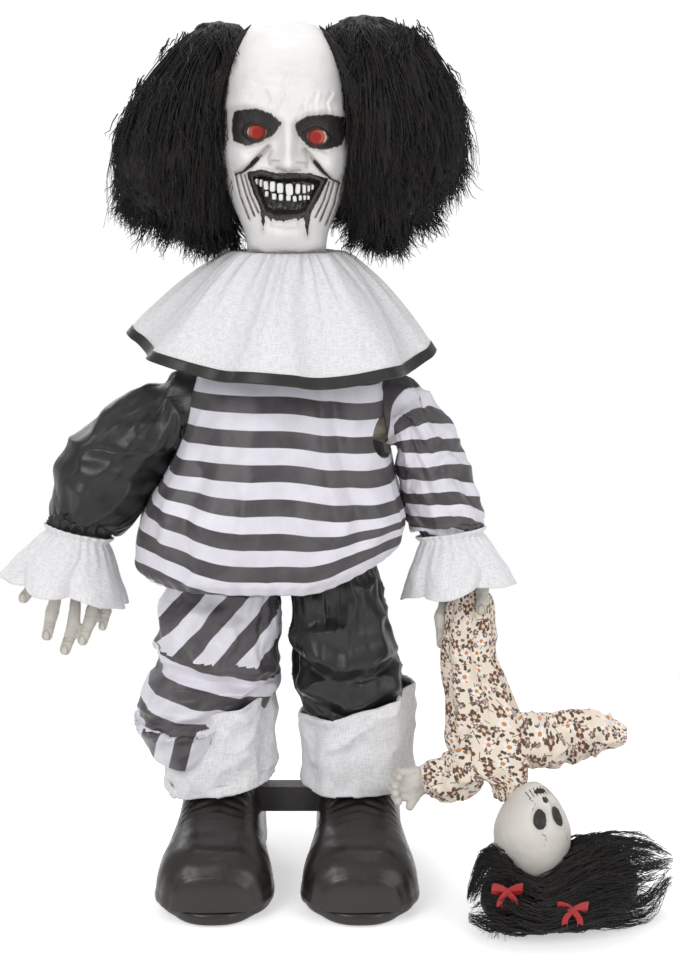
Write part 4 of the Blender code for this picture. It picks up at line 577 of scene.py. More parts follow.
class Shader:
    """One material while its nodes are put together."""

    def __init__(self, name: str) -> None:
        """Starts an empty material with a Principled surface."""
        self.material = bpy.data.materials.new(name)
        self.material.use_nodes = True
        self.nodes = self.material.node_tree.nodes
        self.links = self.material.node_tree.links
        self.nodes.clear()
        out = self.nodes.new("ShaderNodeOutputMaterial")
        self.surface = self.nodes.new("ShaderNodeBsdfPrincipled")
        self.links.new(self.surface.outputs["BSDF"], out.inputs["Surface"])

    def feed(self, socket: Socket, value: object) -> None:
        """Sets a socket to a number or a colour, or links it to another node's output."""
        if isinstance(value, Socket):
            self.links.new(value, socket)
        elif isinstance(value, (tuple, list)) and len(value) == 3 and socket.type == "RGBA":
            socket.default_value = (*value, 1.0)
        else:
            socket.default_value = value

    def add(self, kind: str, inputs: Optional[dict] = None, **settings: object) -> bpy.types.Node:
        """Adds a node.

        Args:
            kind: The node's type.
            inputs: Values or outputs for its inputs, by name or number.
            settings: The node's own settings.

        Returns:
            The new node.
        """
        node = self.nodes.new(kind)
        for name, value in settings.items():
            setattr(node, name, value)
        for name, value in (inputs or {}).items():
            self.feed(node.inputs[name], value)
        return node

    def where(
        self,
        follows: Coordinates,
        scale: Point = (1.0, 1.0, 1.0),
        turn: float = 0.0,
        shift: Point = (0.0, 0.0, 0.0),
    ) -> Socket:
        """Coordinates for a pattern.

        Args:
            follows: The object's own space, or the cloth's flat layout.
            scale: How much longer each direction is made.
            turn: A turn about Z in degrees.
            shift: A move after the turn.

        Returns:
            The coordinates.
        """
        source = self.add("ShaderNodeTexCoord").outputs[follows.value]
        inputs = {"Scale": scale, "Rotation": (0.0, 0.0, math.radians(turn)), "Location": shift}
        return self.add("ShaderNodeMapping", {"Vector": source, **inputs}).outputs["Vector"]

    def noise(self, vector: Socket, scale: float, detail: float = 2.0, roughness: float = 0.5) -> Socket:
        """Noise from nought to one."""
        inputs = {"Vector": vector, "Scale": scale, "Detail": detail, "Roughness": roughness}
        return self.add("ShaderNodeTexNoise", inputs).outputs["Fac"]

    def vector(self, operation: str, first: object, second: object) -> Socket:
        """One sum on vectors."""
        return self.add("ShaderNodeVectorMath", {0: first, 1: second}, operation=operation).outputs[0]

    def math(self, operation: str, first: object, second: object = 0.0, clamp: bool = False) -> Socket:
        """One sum on numbers."""
        node = self.add("ShaderNodeMath", {0: first, 1: second}, operation=operation)
        node.use_clamp = clamp
        return node.outputs[0]

    def times(self, first: object, second: object) -> Socket:
        """Two numbers multiplied."""
        return self.math("MULTIPLY", first, second)

    def spread(
        self, value: object, low: float, high: float, to_low: float = 0.0, to_high: float = 1.0
    ) -> Socket:
        """A number's range moved to another range, smoothly and kept inside it."""
        inputs = {"Value": value, "From Min": low, "From Max": high, "To Min": to_low, "To Max": to_high}
        node = self.add("ShaderNodeMapRange", inputs, interpolation_type="SMOOTHSTEP")
        return node.outputs["Result"]

    def mix(self, share: object, first: object, second: object) -> Socket:
        """A colour between two colours."""
        node = self.add("ShaderNodeMix", data_type="RGBA")
        self.feed(node.inputs[0], share)
        self.feed(node.inputs[6], first)
        self.feed(node.inputs[7], second)
        return node.outputs[2]

    def mark(self, name: str) -> Socket:
        """A number kept on the mesh."""
        return self.add("ShaderNodeAttribute", attribute_name=name).outputs["Fac"]

    def split(self, vector: Socket) -> Sequence[Socket]:
        """The X, Y and Z of a vector."""
        return self.add("ShaderNodeSeparateXYZ", {"Vector": vector}).outputs

    def bump(self, height: object, strength: float, distance: float) -> None:
        """Adds fine relief over whatever relief the surface has already.

        Args:
            height: The relief from nought to one.
            strength: How much of it shows.
            distance: Its depth in metres.
        """
        inputs = {"Height": height, "Strength": strength, "Distance": distance}
        relief = self.add("ShaderNodeBump", inputs)
        socket = self.surface.inputs["Normal"]
        if socket.is_linked:
            self.links.new(socket.links[0].from_socket, relief.inputs["Normal"])
        self.links.new(relief.outputs["Normal"], socket)

    def set(self, **values: object) -> None:
        """Sets the Principled surface's own sockets, with underscores for spaces."""
        for name, value in values.items():
            self.feed(self.surface.inputs[name.replace("_", " ")], value)


@dataclass(frozen=True)
class Satin:
    """Thin polyester satin, plain or with woven stripes across it."""

    name: str
    light: Colour = (0.8, 0.78, 0.85)
    dark: Colour = (0.06, 0.052, 0.058)
    bloom: Colour = (0.3, 0.28, 0.3)
    pitch: float = 0.0
    offset: float = 0.0
    turn: float = 0.0
    size: Spot = (0.5, 0.3)
    roughness: float = 0.42
    sheen: float = 0.1
    crinkle: float = 0.22

    def stripes(self, shader: Shader, cloth: Socket) -> Socket:
        """The share of light colour along the cloth, in hard-edged stripes."""
        along = shader.split(cloth)["Y"]
        folded = shader.math("PINGPONG", shader.math("ADD", along, self.offset), self.pitch)
        return shader.spread(folded, self.pitch * 0.5 - 0.0004, self.pitch * 0.5 + 0.0004)

    def make(self) -> Finish:
        """The satin's material."""
        shader = Shader(self.name)
        cloth = shader.where(Coordinates.CLOTH, (*self.size, 1.0), self.turn)
        if self.pitch:
            colour = shader.mix(self.stripes(shader, cloth), self.dark, self.light)
        else:
            colour = self.dark
        cloud = shader.noise(cloth, 34.0, 3.0)
        threads = shader.where(Coordinates.CLOTH, (self.size[0] * 0.12, self.size[1], 1.0))
        thread = shader.noise(threads, 2600.0)
        shaded = shader.mix(shader.spread(cloud, 0.35, 0.75, 0.0, 0.18), colour, self.bloom)
        tone = shader.mix(shader.spread(thread, 0.3, 0.8, 0.0, 0.1), shaded, (0.02, 0.02, 0.02))
        shader.set(Base_Color=tone)
        shader.set(Roughness=shader.spread(cloud, 0.3, 0.7, self.roughness - 0.06, self.roughness + 0.08))
        shader.set(Sheen_Weight=self.sheen, Sheen_Roughness=0.4, Specular_IOR_Level=0.5)
        shader.bump(thread, 0.25, 0.0002)
        shader.bump(shader.noise(cloth, 210.0, 3.0, 0.6), self.crinkle, 0.0012)
        return shader.material


@dataclass(frozen=True)
class Muslin:
    """Open plain-weave muslin: thin threads both ways, with thick places here and there."""

    name: str
    colour: Colour = (0.83, 0.82, 0.84)
    thread: float = 0.0011
    size: Spot = (0.9, 0.12)

    def make(self) -> Finish:
        """The muslin's material."""
        shader = Shader(self.name)
        cloth = shader.where(Coordinates.CLOTH, (*self.size, 1.0))
        drift = shader.noise(cloth, 160.0, 2.0)
        ways = []
        for stretch in ((9.0, 1.0), (1.0, 9.0)):
            scale = (self.size[0] / stretch[0], self.size[1] / stretch[1], 1.0)
            streak = shader.noise(shader.where(Coordinates.CLOTH, scale), 1.0 / self.thread, 1.0)
            ways.append(shader.spread(streak, 0.32, 0.68))
        weave = shader.times(shader.math("ADD", ways[0], ways[1]), 0.5)
        woven = shader.times(weave, 0.75)
        tone = shader.math("ADD", woven, shader.times(drift, 0.25))
        dark = tuple(value * 0.84 for value in self.colour)
        shader.set(Base_Color=shader.mix(shader.spread(tone, 0.25, 0.65), dark, self.colour))
        shader.set(Roughness=shader.spread(drift, 0.3, 0.7, 0.82, 0.95))
        shader.set(Sheen_Weight=0.12, Sheen_Roughness=0.5, Specular_IOR_Level=0.25)
        shader.bump(weave, 0.45, 0.0005)
        return shader.material


@dataclass(frozen=True)
class PaintedVinyl:
    """Soft moulded vinyl with sprayed paint: marks on the mesh say where the paint lies."""

    name: str
    skin: Colour = (0.83, 0.81, 0.805)
    shade: Colour = (0.36, 0.3, 0.27)
    paint: Colour = (0.022, 0.019, 0.018)
    pore: float = 0.0012
    roughness: float = 0.46
    glossy_paint: float = 0.2

    def make(self) -> Finish:
        """The vinyl's material, which reads the marks paint, gloss and one that darkens the skin towards
        the shade colour: painted shade in creases and hollows, and random stains and soft edges round the
        paint elsewhere.
        """
        shader = Shader(self.name)
        place = shader.where(Coordinates.OBJECT)
        mottle = shader.noise(place, 38.0, 3.0)
        pores = shader.noise(place, 1.0 / self.pore, 2.0)
        streak = shader.noise(shader.where(Coordinates.OBJECT, (1.0, 1.0, 0.35)), 420.0, 2.0)
        faded = tuple(value * 0.94 for value in self.skin)
        skin = shader.mix(shader.spread(mottle, 0.35, 0.7), self.skin, faded)
        # Darkens the skin towards the shade colour: painted shade in creases and hollows, with random
        # stains and soft edges round the paint.
        wash_and_shade = shader.times(shader.mark("wash_and_shade"), shader.spread(mottle, 0.2, 0.6, 0.7, 1.0))
        washed_and_shaded = shader.mix(wash_and_shade, skin, self.shade)
        edge = shader.math("ADD", shader.mark("paint"), shader.spread(streak, 0.2, 0.8, -0.16, 0.16))
        black = shader.mix(shader.spread(streak, 0.45, 0.85, 0.0, 0.35), self.paint, (0.09, 0.08, 0.08))
        shader.set(Base_Color=shader.mix(shader.spread(edge, 0.3, 0.7), washed_and_shaded, black))
        rough = shader.spread(mottle, 0.3, 0.7, self.roughness - 0.05, self.roughness + 0.06)
        gloss = shader.times(shader.mark("gloss"), self.roughness - self.glossy_paint)
        shader.set(Roughness=shader.math("SUBTRACT", rough, gloss), Specular_IOR_Level=0.45)
        shader.set(Subsurface_Weight=0.06, Subsurface_Scale=0.004, Subsurface_Radius=(1.0, 0.7, 0.6))
        shader.bump(pores, 0.12, 0.0003)
        shader.bump(streak, 0.1, 0.0005)
        return shader.material


@dataclass(frozen=True)
class Fibre:
    """Black synthetic hair with a brown cast where light catches it."""

    name: str
    dark: Colour = (0.0065, 0.0056, 0.0052)
    light: Colour = (0.04, 0.032, 0.028)
    roughness: float = 0.5

    def make(self) -> Finish:
        """The hair's material."""
        shader = Shader(self.name)
        lock = shader.noise(shader.where(Coordinates.OBJECT, (1.0, 1.0, 0.16)), 130.0, 3.0, 0.6)
        strand = shader.noise(shader.where(Coordinates.OBJECT, (1.0, 1.0, 0.05)), 1300.0, 1.0)
        tone = shader.times(shader.spread(lock, 0.35, 0.75), shader.spread(strand, 0.3, 0.7))
        shader.set(Base_Color=shader.mix(tone, self.dark, self.light))
        shader.set(Roughness=shader.spread(lock, 0.3, 0.7, self.roughness - 0.08, self.roughness + 0.1))
        shader.set(Specular_IOR_Level=0.3, Sheen_Weight=0.04, Sheen_Roughness=0.5)
        shader.bump(strand, 0.5, 0.0006)
        return shader.material


@dataclass(frozen=True)
class Moulding:
    """Moulded plastic with the fine grain, scuffs and dust of a finish that was used."""

    name: str
    colour: Colour
    worn: Colour
    roughness: float = 0.35
    grain: float = 0.0008
    relief: float = 0.0002
    coat: float = 0.0
    metal: float = 0.0

    def make(self) -> Finish:
        """The plastic's or the metal's material."""
        shader = Shader(self.name)
        place = shader.where(Coordinates.OBJECT)
        cloud = shader.noise(place, 26.0, 4.0, 0.6)
        fine = shader.noise(place, 1.0 / self.grain, 2.0)
        scuff = shader.noise(shader.where(Coordinates.OBJECT, (1.0, 0.35, 1.0)), 190.0, 4.0, 0.7)
        worn = shader.times(shader.spread(cloud, 0.45, 0.8), shader.spread(scuff, 0.4, 0.75))
        shader.set(Base_Color=shader.mix(worn, self.colour, self.worn), Metallic=self.metal)
        shader.set(Roughness=shader.spread(scuff, 0.25, 0.8, self.roughness - 0.07, self.roughness + 0.16))
        shader.set(Coat_Weight=self.coat, Coat_Roughness=0.15)
        shader.bump(fine, 0.3, self.relief)
        shader.bump(cloud, 0.12, 0.0015)
        return shader.material


@dataclass(frozen=True)
class DitsyPrint:
    """Cream cotton with a small all-over print of flowers and leaves."""

    name: str
    ground: Colour = (0.83, 0.72, 0.6)
    leaf: Colour = (0.06, 0.048, 0.032)
    dead_leaf: Colour = (0.19, 0.11, 0.06)
    rose: Colour = (0.135, 0.05, 0.038)
    daisy: Colour = (0.86, 0.83, 0.8)
    small: Colour = (0.2, 0.115, 0.145)
    size: Spot = (0.3, 0.3)
    flower: float = 0.0108

    def blossoms(
        self,
        shader: Shader,
        cloth: Socket,
        across: float,
        petals: float,
        reach: float,
        shift: float,
    ) -> tuple[Socket, Socket, Socket]:
        """Petalled marks, one to a cell, at odd places and turns.

        Args:
            shader: The material under work.
            cloth: The flat cloth's coordinates in metres.
            across: How far apart the marks lie.
            petals: How many petals each has.
            reach: How much of its cell a mark fills.
            shift: Moves the whole set, so that two sets differ.

        Returns:
            The petals' share, the centre's share and a number that differs between marks.
        """
        moved = shader.vector("ADD", cloth, (shift, shift * 0.7, 0.0))
        inputs = {"Vector": moved, "Scale": 1.0 / across, "Randomness": 0.7}
        cells = shader.add("ShaderNodeTexVoronoi", inputs, voronoi_dimensions="2D")
        inside = shader.vector("SUBTRACT", moved, cells.outputs["Position"])
        parts = shader.split(inside)
        odd = shader.split(cells.outputs["Color"])
        turned = shader.times(odd["X"], math.tau)
        angle = shader.math("ADD", shader.math("ARCTAN2", parts["Y"], parts["X"]), turned)
        wave = shader.math("ABSOLUTE", shader.math("COSINE", shader.times(angle, petals * 0.5)))
        edge = shader.times(shader.math("ADD", shader.times(wave, 0.55), 0.45), reach)
        petal = shader.spread(shader.math("SUBTRACT", edge, cells.outputs["Distance"]), 0.0, 0.03)
        centre = shader.spread(cells.outputs["Distance"], reach * 0.3, reach * 0.36, 1.0, 0.0)
        return petal, centre, odd["Y"]

    def make(self) -> Finish:
        """The print's material."""
        shader = Shader(self.name)
        cloth = shader.where(Coordinates.CLOTH, (*self.size, 1.0))
        colour: object = self.ground
        sprigs = shader.add(
            "ShaderNodeTexVoronoi",
            {"Vector": cloth, "Scale": 1.0 / (self.flower * 1.25), "Randomness": 1.0},
            voronoi_dimensions="2D",
            feature="DISTANCE_TO_EDGE",
        ).outputs["Distance"]
        broken = shader.spread(shader.noise(cloth, 110.0, 1.0), 0.5, 0.54)
        vine = shader.times(shader.spread(sprigs, 0.012, 0.035, 1.0, 0.0), broken)
        colour = shader.mix(vine, colour, self.leaf)
        for shift, reach, tone in ((0.031, 0.36, self.leaf), (0.057, 0.3, self.dead_leaf)):
            leaf, _, kind = self.blossoms(shader, cloth, self.flower * 0.66, 2.0, reach, shift)
            shown = shader.times(leaf, shader.spread(kind, 0.38, 0.42))
            colour = shader.mix(shown, colour, tone)
        petal, centre, kind = self.blossoms(shader, cloth, self.flower * 1.05, 5.0, 0.3, 0.017)
        shown = shader.spread(kind, 0.5, 0.52)
        colour = shader.mix(shader.times(petal, shown), colour, self.small)
        colour = shader.mix(shader.times(centre, shown), colour, (0.62, 0.5, 0.36))
        petal, centre, kind = self.blossoms(shader, cloth, self.flower * 1.55, 5.0, 0.36, 0.0)
        daisy = shader.spread(kind, 0.44, 0.46)
        colour = shader.mix(petal, colour, shader.mix(daisy, self.rose, self.daisy))
        colour = shader.mix(centre, colour, shader.mix(daisy, (0.72, 0.58, 0.38), (0.66, 0.24, 0.05)))
        weave = shader.noise(cloth, 1900.0, 1.0)
        tone = shader.mix(shader.spread(weave, 0.3, 0.9, 0.0, 0.14), colour, (0.4, 0.34, 0.29))
        shader.set(Base_Color=tone)
        shader.set(Roughness=shader.spread(weave, 0.3, 0.7, 0.78, 0.92), Sheen_Weight=0.08)
        shader.bump(weave, 0.3, 0.0003)
        return shader.material


@dataclass(frozen=True)
class GlowingLens:
    """A translucent lens lit red from behind, with a dark red middle and a white rim."""

    name: str
    middle: Point
    pupil: float = 0.0044
    iris: float = 0.0082

    def make(self) -> Finish:
        """The lens's material, centred on the lens."""
        shader = Shader(self.name)
        place = shader.where(Coordinates.OBJECT)
        flat = shader.vector("MULTIPLY", shader.vector("SUBTRACT", place, self.middle), (1.0, 0.0, 1.0))
        reach = shader.add("ShaderNodeVectorMath", {0: flat}, operation="LENGTH").outputs["Value"]
        parts = shader.split(flat)
        angle = shader.math("ARCTAN2", parts["Z"], parts["X"])
        rays = shader.math("SINE", shader.times(angle, 34.0))
        ragged = shader.math("ADD", reach, shader.times(rays, 0.00035))
        rim = shader.spread(ragged, self.iris, self.iris + 0.0007)
        white = shader.mix(rim, (0.46, 0.085, 0.055), (0.78, 0.7, 0.68))
        inner = shader.spread(ragged, self.pupil, self.pupil + 0.0006)
        ring = shader.mix(inner, (0.24, 0.002, 0.002), white)
        halo = shader.spread(reach, self.pupil + 0.0004, self.pupil + 0.0016, 0.35, 0.0)
        tone = shader.mix(halo, ring, (0.42, 0.015, 0.01))
        shader.set(Base_Color=tone, Roughness=shader.spread(ragged, 0.0, 0.01, 0.12, 0.2))
        shader.set(Emission_Color=tone, Emission_Strength=0.06, Coat_Weight=0.3, Coat_Roughness=0.1)
        return shader.material


def outline_distance(flat: Array, outline: Line) -> Array:
    """Signed distance to a closed outline, negative inside it.

    Args:
        flat: Rows of two coordinates.
        outline: The outline's corners in order.

    Returns:
        One distance for each row.
    """
    closed = [*outline, outline[0]]
    inside = np.zeros(len(flat), bool)
    for (ax, az), (bx, bz) in zip(closed[:-1], closed[1:]):
        spans = (az > flat[:, 1]) != (bz > flat[:, 1])
        crossing = ax + (flat[:, 1] - az) * (bx - ax) / (bz - az if bz != az else 1e-9)
        inside ^= spans & (flat[:, 0] < crossing)
    return np.where(inside, -1.0, 1.0) * line_distance(flat, closed)


def nearest_outline(flat: Array, outlines: Sequence[Line]) -> Array:
    """Signed distance to the nearest of some closed outlines, negative inside any of them."""
    return np.minimum.reduce([outline_distance(flat, outline) for outline in outlines])


def both_sides(flat: Array) -> Array:
    """The same places folded over to the positive side of a face's midline."""
    return np.column_stack([np.abs(flat[:, 0]), flat[:, 1]])


def blob(flat: Array, middle: Spot, wide: float, tall: float) -> Array:
    """A round swelling of height one on a face."""
    across = (flat[:, 0] - middle[0]) / wide
    up = (flat[:, 1] - middle[1]) / tall
    return np.exp(-(across**2) - up**2)


def furrow(flat: Array, line: Line, width: float) -> Array:
    """How deep each place lies in a furrow along a line, from nought to one."""
    return np.exp(-((line_distance(flat, line) / width) ** 2))


@dataclass
class Head:
    """The painted vinyl head: eye openings, hooked nose, stretched cheeks and a black mouth."""

    vinyl: Finish
    tooth: Finish
    columns: int = 320
    rows: int = 270
    squareness: float = 2.25
    slope: float = 0.0
    middle: float = 0.0
    eye_line: float = 0.777
    stations: Sequence[Row] = (
        (0.636, 0.041, 0.041, 0.041), (0.662, 0.04, 0.043, 0.043), (0.672, 0.0405, 0.069, 0.05),
        (0.684, 0.043, 0.079, 0.059), (0.7, 0.05, 0.08, 0.07), (0.72, 0.059, 0.08, 0.081),
        (0.742, 0.0655, 0.078, 0.089), (0.76, 0.0698, 0.0745, 0.094), (0.778, 0.068, 0.073, 0.0965),
        (0.797, 0.065, 0.0765, 0.096), (0.82, 0.063, 0.0755, 0.094), (0.843, 0.059, 0.068, 0.088),
        (0.862, 0.051, 0.056, 0.074), (0.877, 0.038, 0.038, 0.052), (0.885, 0.023, 0.02, 0.031),
        (0.888, 0.008, 0.005, 0.01),
    )
    eye_place: Spot = (0.0285, 0.777)
    eye_opening: Spot = (0.0098, 0.0069)
    patches: Sequence[Line] = (
        (
            (-0.0503, 0.7944), (-0.0396, 0.7968), (-0.0285, 0.798), (-0.0143, 0.7945), (-0.0052, 0.7872),
            (-0.0129, 0.7758), (-0.0256, 0.7686), (-0.0384, 0.764), (-0.0513, 0.7675), (-0.0535, 0.7805),
        ),
        (
            (0.0087, 0.7868), (0.0125, 0.79), (0.0212, 0.7955), (0.0394, 0.7985), (0.057, 0.7975),
            (0.0575, 0.7848), (0.052, 0.7716), (0.0346, 0.766), (0.0219, 0.7672), (0.0117, 0.7773),
        ),
    )
    mouth: Line = (
        (-0.0392, 0.7382), (-0.0241, 0.7424), (-0.0098, 0.7398), (0.0013, 0.7412), (0.0092, 0.7417),
        (0.0219, 0.743), (0.0405, 0.7388), (0.0304, 0.7186), (0.022, 0.703), (0.0106, 0.6981),
        (0.0026, 0.697), (-0.0102, 0.6949), (-0.0181, 0.6977), (-0.0236, 0.7), (-0.0314, 0.7167),
    )
    drips: Sequence[Line] = (
        ((-0.026, 0.703), (-0.02, 0.7005), (-0.0233, 0.6837)),
        ((-0.0175, 0.7), (-0.013, 0.6985), (-0.0152, 0.6918)),
        ((0.016, 0.7004), (0.0228, 0.7045), (0.0197, 0.681)),
        ((0.0085, 0.699), (0.0125, 0.699), (0.0105, 0.6948)),
        ((-0.005, 0.6965), (-0.0015, 0.697), (-0.003, 0.6938)),
    )
    smile_line: Line = (
        (0.0175, 0.764), (0.0262, 0.7548), (0.0345, 0.745), (0.043, 0.7382), (0.05, 0.7358),
    )
    cheek_grooves: Sequence[Line] = (
        ((0.0408, 0.7358), (0.0352, 0.7172), (0.0275, 0.701)),
        ((0.045, 0.7355), (0.0396, 0.717), (0.0318, 0.6975)),
        ((0.05, 0.7348), (0.0458, 0.715), (0.0372, 0.6935)),
    )
    frown_lines: Sequence[Line] = (
        ((-0.008, 0.7905), (-0.0075, 0.799), (-0.003, 0.809)),
        ((0.0105, 0.79), (0.0115, 0.7975), (0.0155, 0.804)),
        ((0.016, 0.795), (0.015, 0.804), (0.0178, 0.811)),
        ((0.0285, 0.7985), (0.0262, 0.808), (0.029, 0.818)),
        ((0.04, 0.801), (0.038, 0.81), (0.043, 0.819)),
        ((-0.018, 0.799), (-0.015, 0.807), (-0.019, 0.816)),
        ((-0.002, 0.813), (-0.0035, 0.823), (0.0005, 0.833)),
    )
    nose_middle: float = 0.002
    nose_wing: Line = ((0.0165, 0.761), (0.019, 0.755), (0.0175, 0.748))
    nose_profile: Line = (
        (0.74, 0.0), (0.7425, 0.009), (0.745, 0.02), (0.749, 0.0255), (0.754, 0.024),
        (0.762, 0.018), (0.772, 0.013), (0.782, 0.009), (0.792, 0.0045), (0.802, 0.0),
    )
    upper_teeth: Sequence[Row] = (
        (-0.0288, 0.002, 0.006), (-0.0245, 0.0024, 0.0072), (-0.0198, 0.0046, 0.0086),
        (-0.0135, 0.0056, 0.0102), (-0.0063, 0.0068, 0.01), (0.0025, 0.0078, 0.0116),
        (0.0106, 0.005, 0.01), (0.0165, 0.0034, 0.0086), (0.0207, 0.0024, 0.0064),
        (0.0243, 0.002, 0.0052),
    )
    lower_teeth: Sequence[Row] = (
        (-0.0192, 0.003, 0.0052), (-0.012, 0.0044, 0.0062), (-0.0056, 0.0046, 0.0064),
        (0.0016, 0.0048, 0.0058), (0.0075, 0.004, 0.0058), (0.0128, 0.003, 0.0052),
        (0.0168, 0.0026, 0.0048), (0.0204, 0.0024, 0.0042),
    )

    def __post_init__(self) -> None:
        """Takes the face's midline and slope from the two lenses."""
        ends = [sum(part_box(f"{side}_eye_lens"), Vector()) / 2 for side in Side]
        self.slope = (ends[0].z - ends[1].z) / (ends[1].x - ends[0].x)
        self.middle = (ends[0].x + ends[1].x) / 2 - NECK.x
        self.eye_line = (ends[0].z + ends[1].z) / 2

    def face_places(self, points: Array) -> Array:
        """Places on the face: across from its midline, and up along its own slope."""
        across = points[:, 0] - self.middle
        drop = self.eye_place[1] - self.eye_line
        return np.column_stack([across, points[:, 2] + self.slope * across + drop])

    def skull(self, share_round: Array, share_up: Array) -> tuple[Array, Array]:
        """The plain head before its face is sculpted.

        Args:
            share_round: From nought to one round the head, with the face at a half.
            share_up: From nought at the neck's end to one at the crown.

        Returns:
            The points, and how far forward each faces.
        """
        turn = 2.0 * share_round - 1.0
        angle = math.pi * (0.56 * turn + 0.44 * turn**3)
        forward, sideways = super_circle(angle, self.squareness)
        low, high = self.stations[0][0], self.stations[-1][0]
        at = low + (high - low) * share_up
        wide, front, back = read_rows(self.stations, at)
        close = closed_ends(share_up)
        y = np.where(forward > 0, -front, -back) * forward
        return np.column_stack([wide * sideways * close, y * close, at]), forward

    def nose(self, flat: Array) -> Array:
        """How far the long hooked nose stands out, with its wings and nostrils."""
        up = flat[:, 1]
        own = np.column_stack([flat[:, 0] - self.nose_middle, up])
        near = both_sides(own)
        ridge = read_rows(self.nose_profile, up)[0]
        width = 0.0066 + 0.003 * mound(up, 0.75, 0.0085) + 0.0012 * mound(up, 0.776, 0.008)
        out = ridge * np.exp(-np.abs(own[:, 0] / width) ** 2.4)
        out += 0.008 * blob(near, (0.0122, 0.753), 0.0052, 0.0048)
        out -= 0.0022 * furrow(near, self.nose_wing, 0.0012)
        out -= 0.006 * blob(near, (0.007, 0.745), 0.0032, 0.0017)
        return out

    def relief(self, flat: Array) -> Array:
        """How far the sculpted face stands out from the plain head.

        Args:
            flat: Places on the face.

        Returns:
            Metres forward for each place.
        """
        near = both_sides(flat)
        up = flat[:, 1]
        out = self.nose(flat)
        brow = ((0.01, 0.7925), (0.0215, 0.8), (0.04, 0.8035), (0.056, 0.801))
        out += 0.0052 * furrow(near, brow, 0.0062)
        out -= 0.003 * blob(near, (0.03, 0.7805), 0.0175, 0.011)
        out -= 0.0016 * furrow(near, ((0.012, 0.772), (0.025, 0.7665), (0.038, 0.764)), 0.0018)
        for line in self.frown_lines:
            out -= 0.0013 * furrow(flat, line, 0.0018)
            out += 0.001 * furrow(flat, [(x + 0.003, z) for x, z in line], 0.002)
        for height, reach in ((0.822, 0.034), (0.832, 0.028), (0.842, 0.022)):
            arch = height + 2.2 * flat[:, 0] ** 2
            arch = arch + 0.0012 * np.sin(flat[:, 0] * 260.0 + height * 900.0)
            out -= 0.0007 * mound(up, arch, 0.0014) * mound(flat[:, 0], 0.0, reach)
        out += 0.01 * blob(near, (0.043, 0.753), 0.0145, 0.012)
        out += 0.0045 * blob(near, (0.012, 0.746), 0.014, 0.005)
        out -= 0.0058 * furrow(near, self.smile_line, 0.0023)
        for line in self.cheek_grooves:
            out -= 0.0036 * furrow(near, line, 0.0012)
            out += 0.0012 * furrow(near, [(x + 0.0022, z) for x, z in line], 0.0013)
        for line in (((0.025, 0.763), (0.038, 0.757)), ((0.042, 0.74), (0.054, 0.743))):
            out -= 0.0011 * furrow(near, line, 0.0016)
        out += 0.0065 * blob(flat, (-0.001, 0.683), 0.021, 0.0085)
        out -= 0.0024 * furrow(flat, ((-0.014, 0.6915), (0.0, 0.6905), (0.014, 0.6925)), 0.002)
        lips = outline_distance(flat, self.mouth)
        out += 0.0028 * mound(lips, -0.003, 0.0026)
        out -= 0.0085 * ramp(-0.0045, -0.0085, lips)
        out += 0.005 * blob(flat, (-0.001, 0.7015), 0.019, 0.0042) * ramp(0.0, -0.003, lips)
        return out

    def eye_gap(self, flat: Array) -> Array:
        """Signed distance to the almond eye openings in shares of their size, negative inside."""
        near = both_sides(flat)
        across = (near[:, 0] - self.eye_place[0]) / self.eye_opening[0]
        up = (near[:, 1] - self.eye_place[1]) / self.eye_opening[1]
        return np.sqrt(across**2 + up**2 * (1.0 + 0.55 * across**2)) - 1.0

    def build_shell(self) -> Piece:
        """The head with its face and paint.

        Returns:
            The head's object.
        """

        def lay(u: Array, v: Array) -> Array:
            """Lays the grid round the skull and pushes the face out."""
            points, forward = self.skull(u, v)
            flat = self.face_places(points)
            facing = ramp(0.05, 0.45, forward)
            front = ramp(0.3, 0.6, forward)
            gap = self.eye_gap(flat)
            lid = 0.004 * mound(gap, 0.22, 0.2) - 0.02 * ramp(0.06, -0.1, gap)
            tar = ramp(0.0, -0.003, outline_distance(flat, self.mouth))
            skin = grain(points, 0.016, 3, 3) * 0.0006 + creases(points, 0.007, 8, 2) * 0.0002
            skin += 0.0009 * tar * grain(points, 0.0045, 11, 2)
            points[:, 1] -= (self.relief(flat) + skin) * facing + lid * front
            return points

        obj = tube_cloth("head_skin", self.columns, self.rows, lay)
        smooth(obj)
        points = own_points(obj)
        flat = self.face_places(points)
        front = ramp(-0.02, -0.032, points[:, 1])
        rough = grain(points, 0.006, 5, 3)
        self.paint_face(obj, flat, front, rough)
        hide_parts("head_shell")
        return dress(obj, self.vinyl, "face_vinyl", "head")

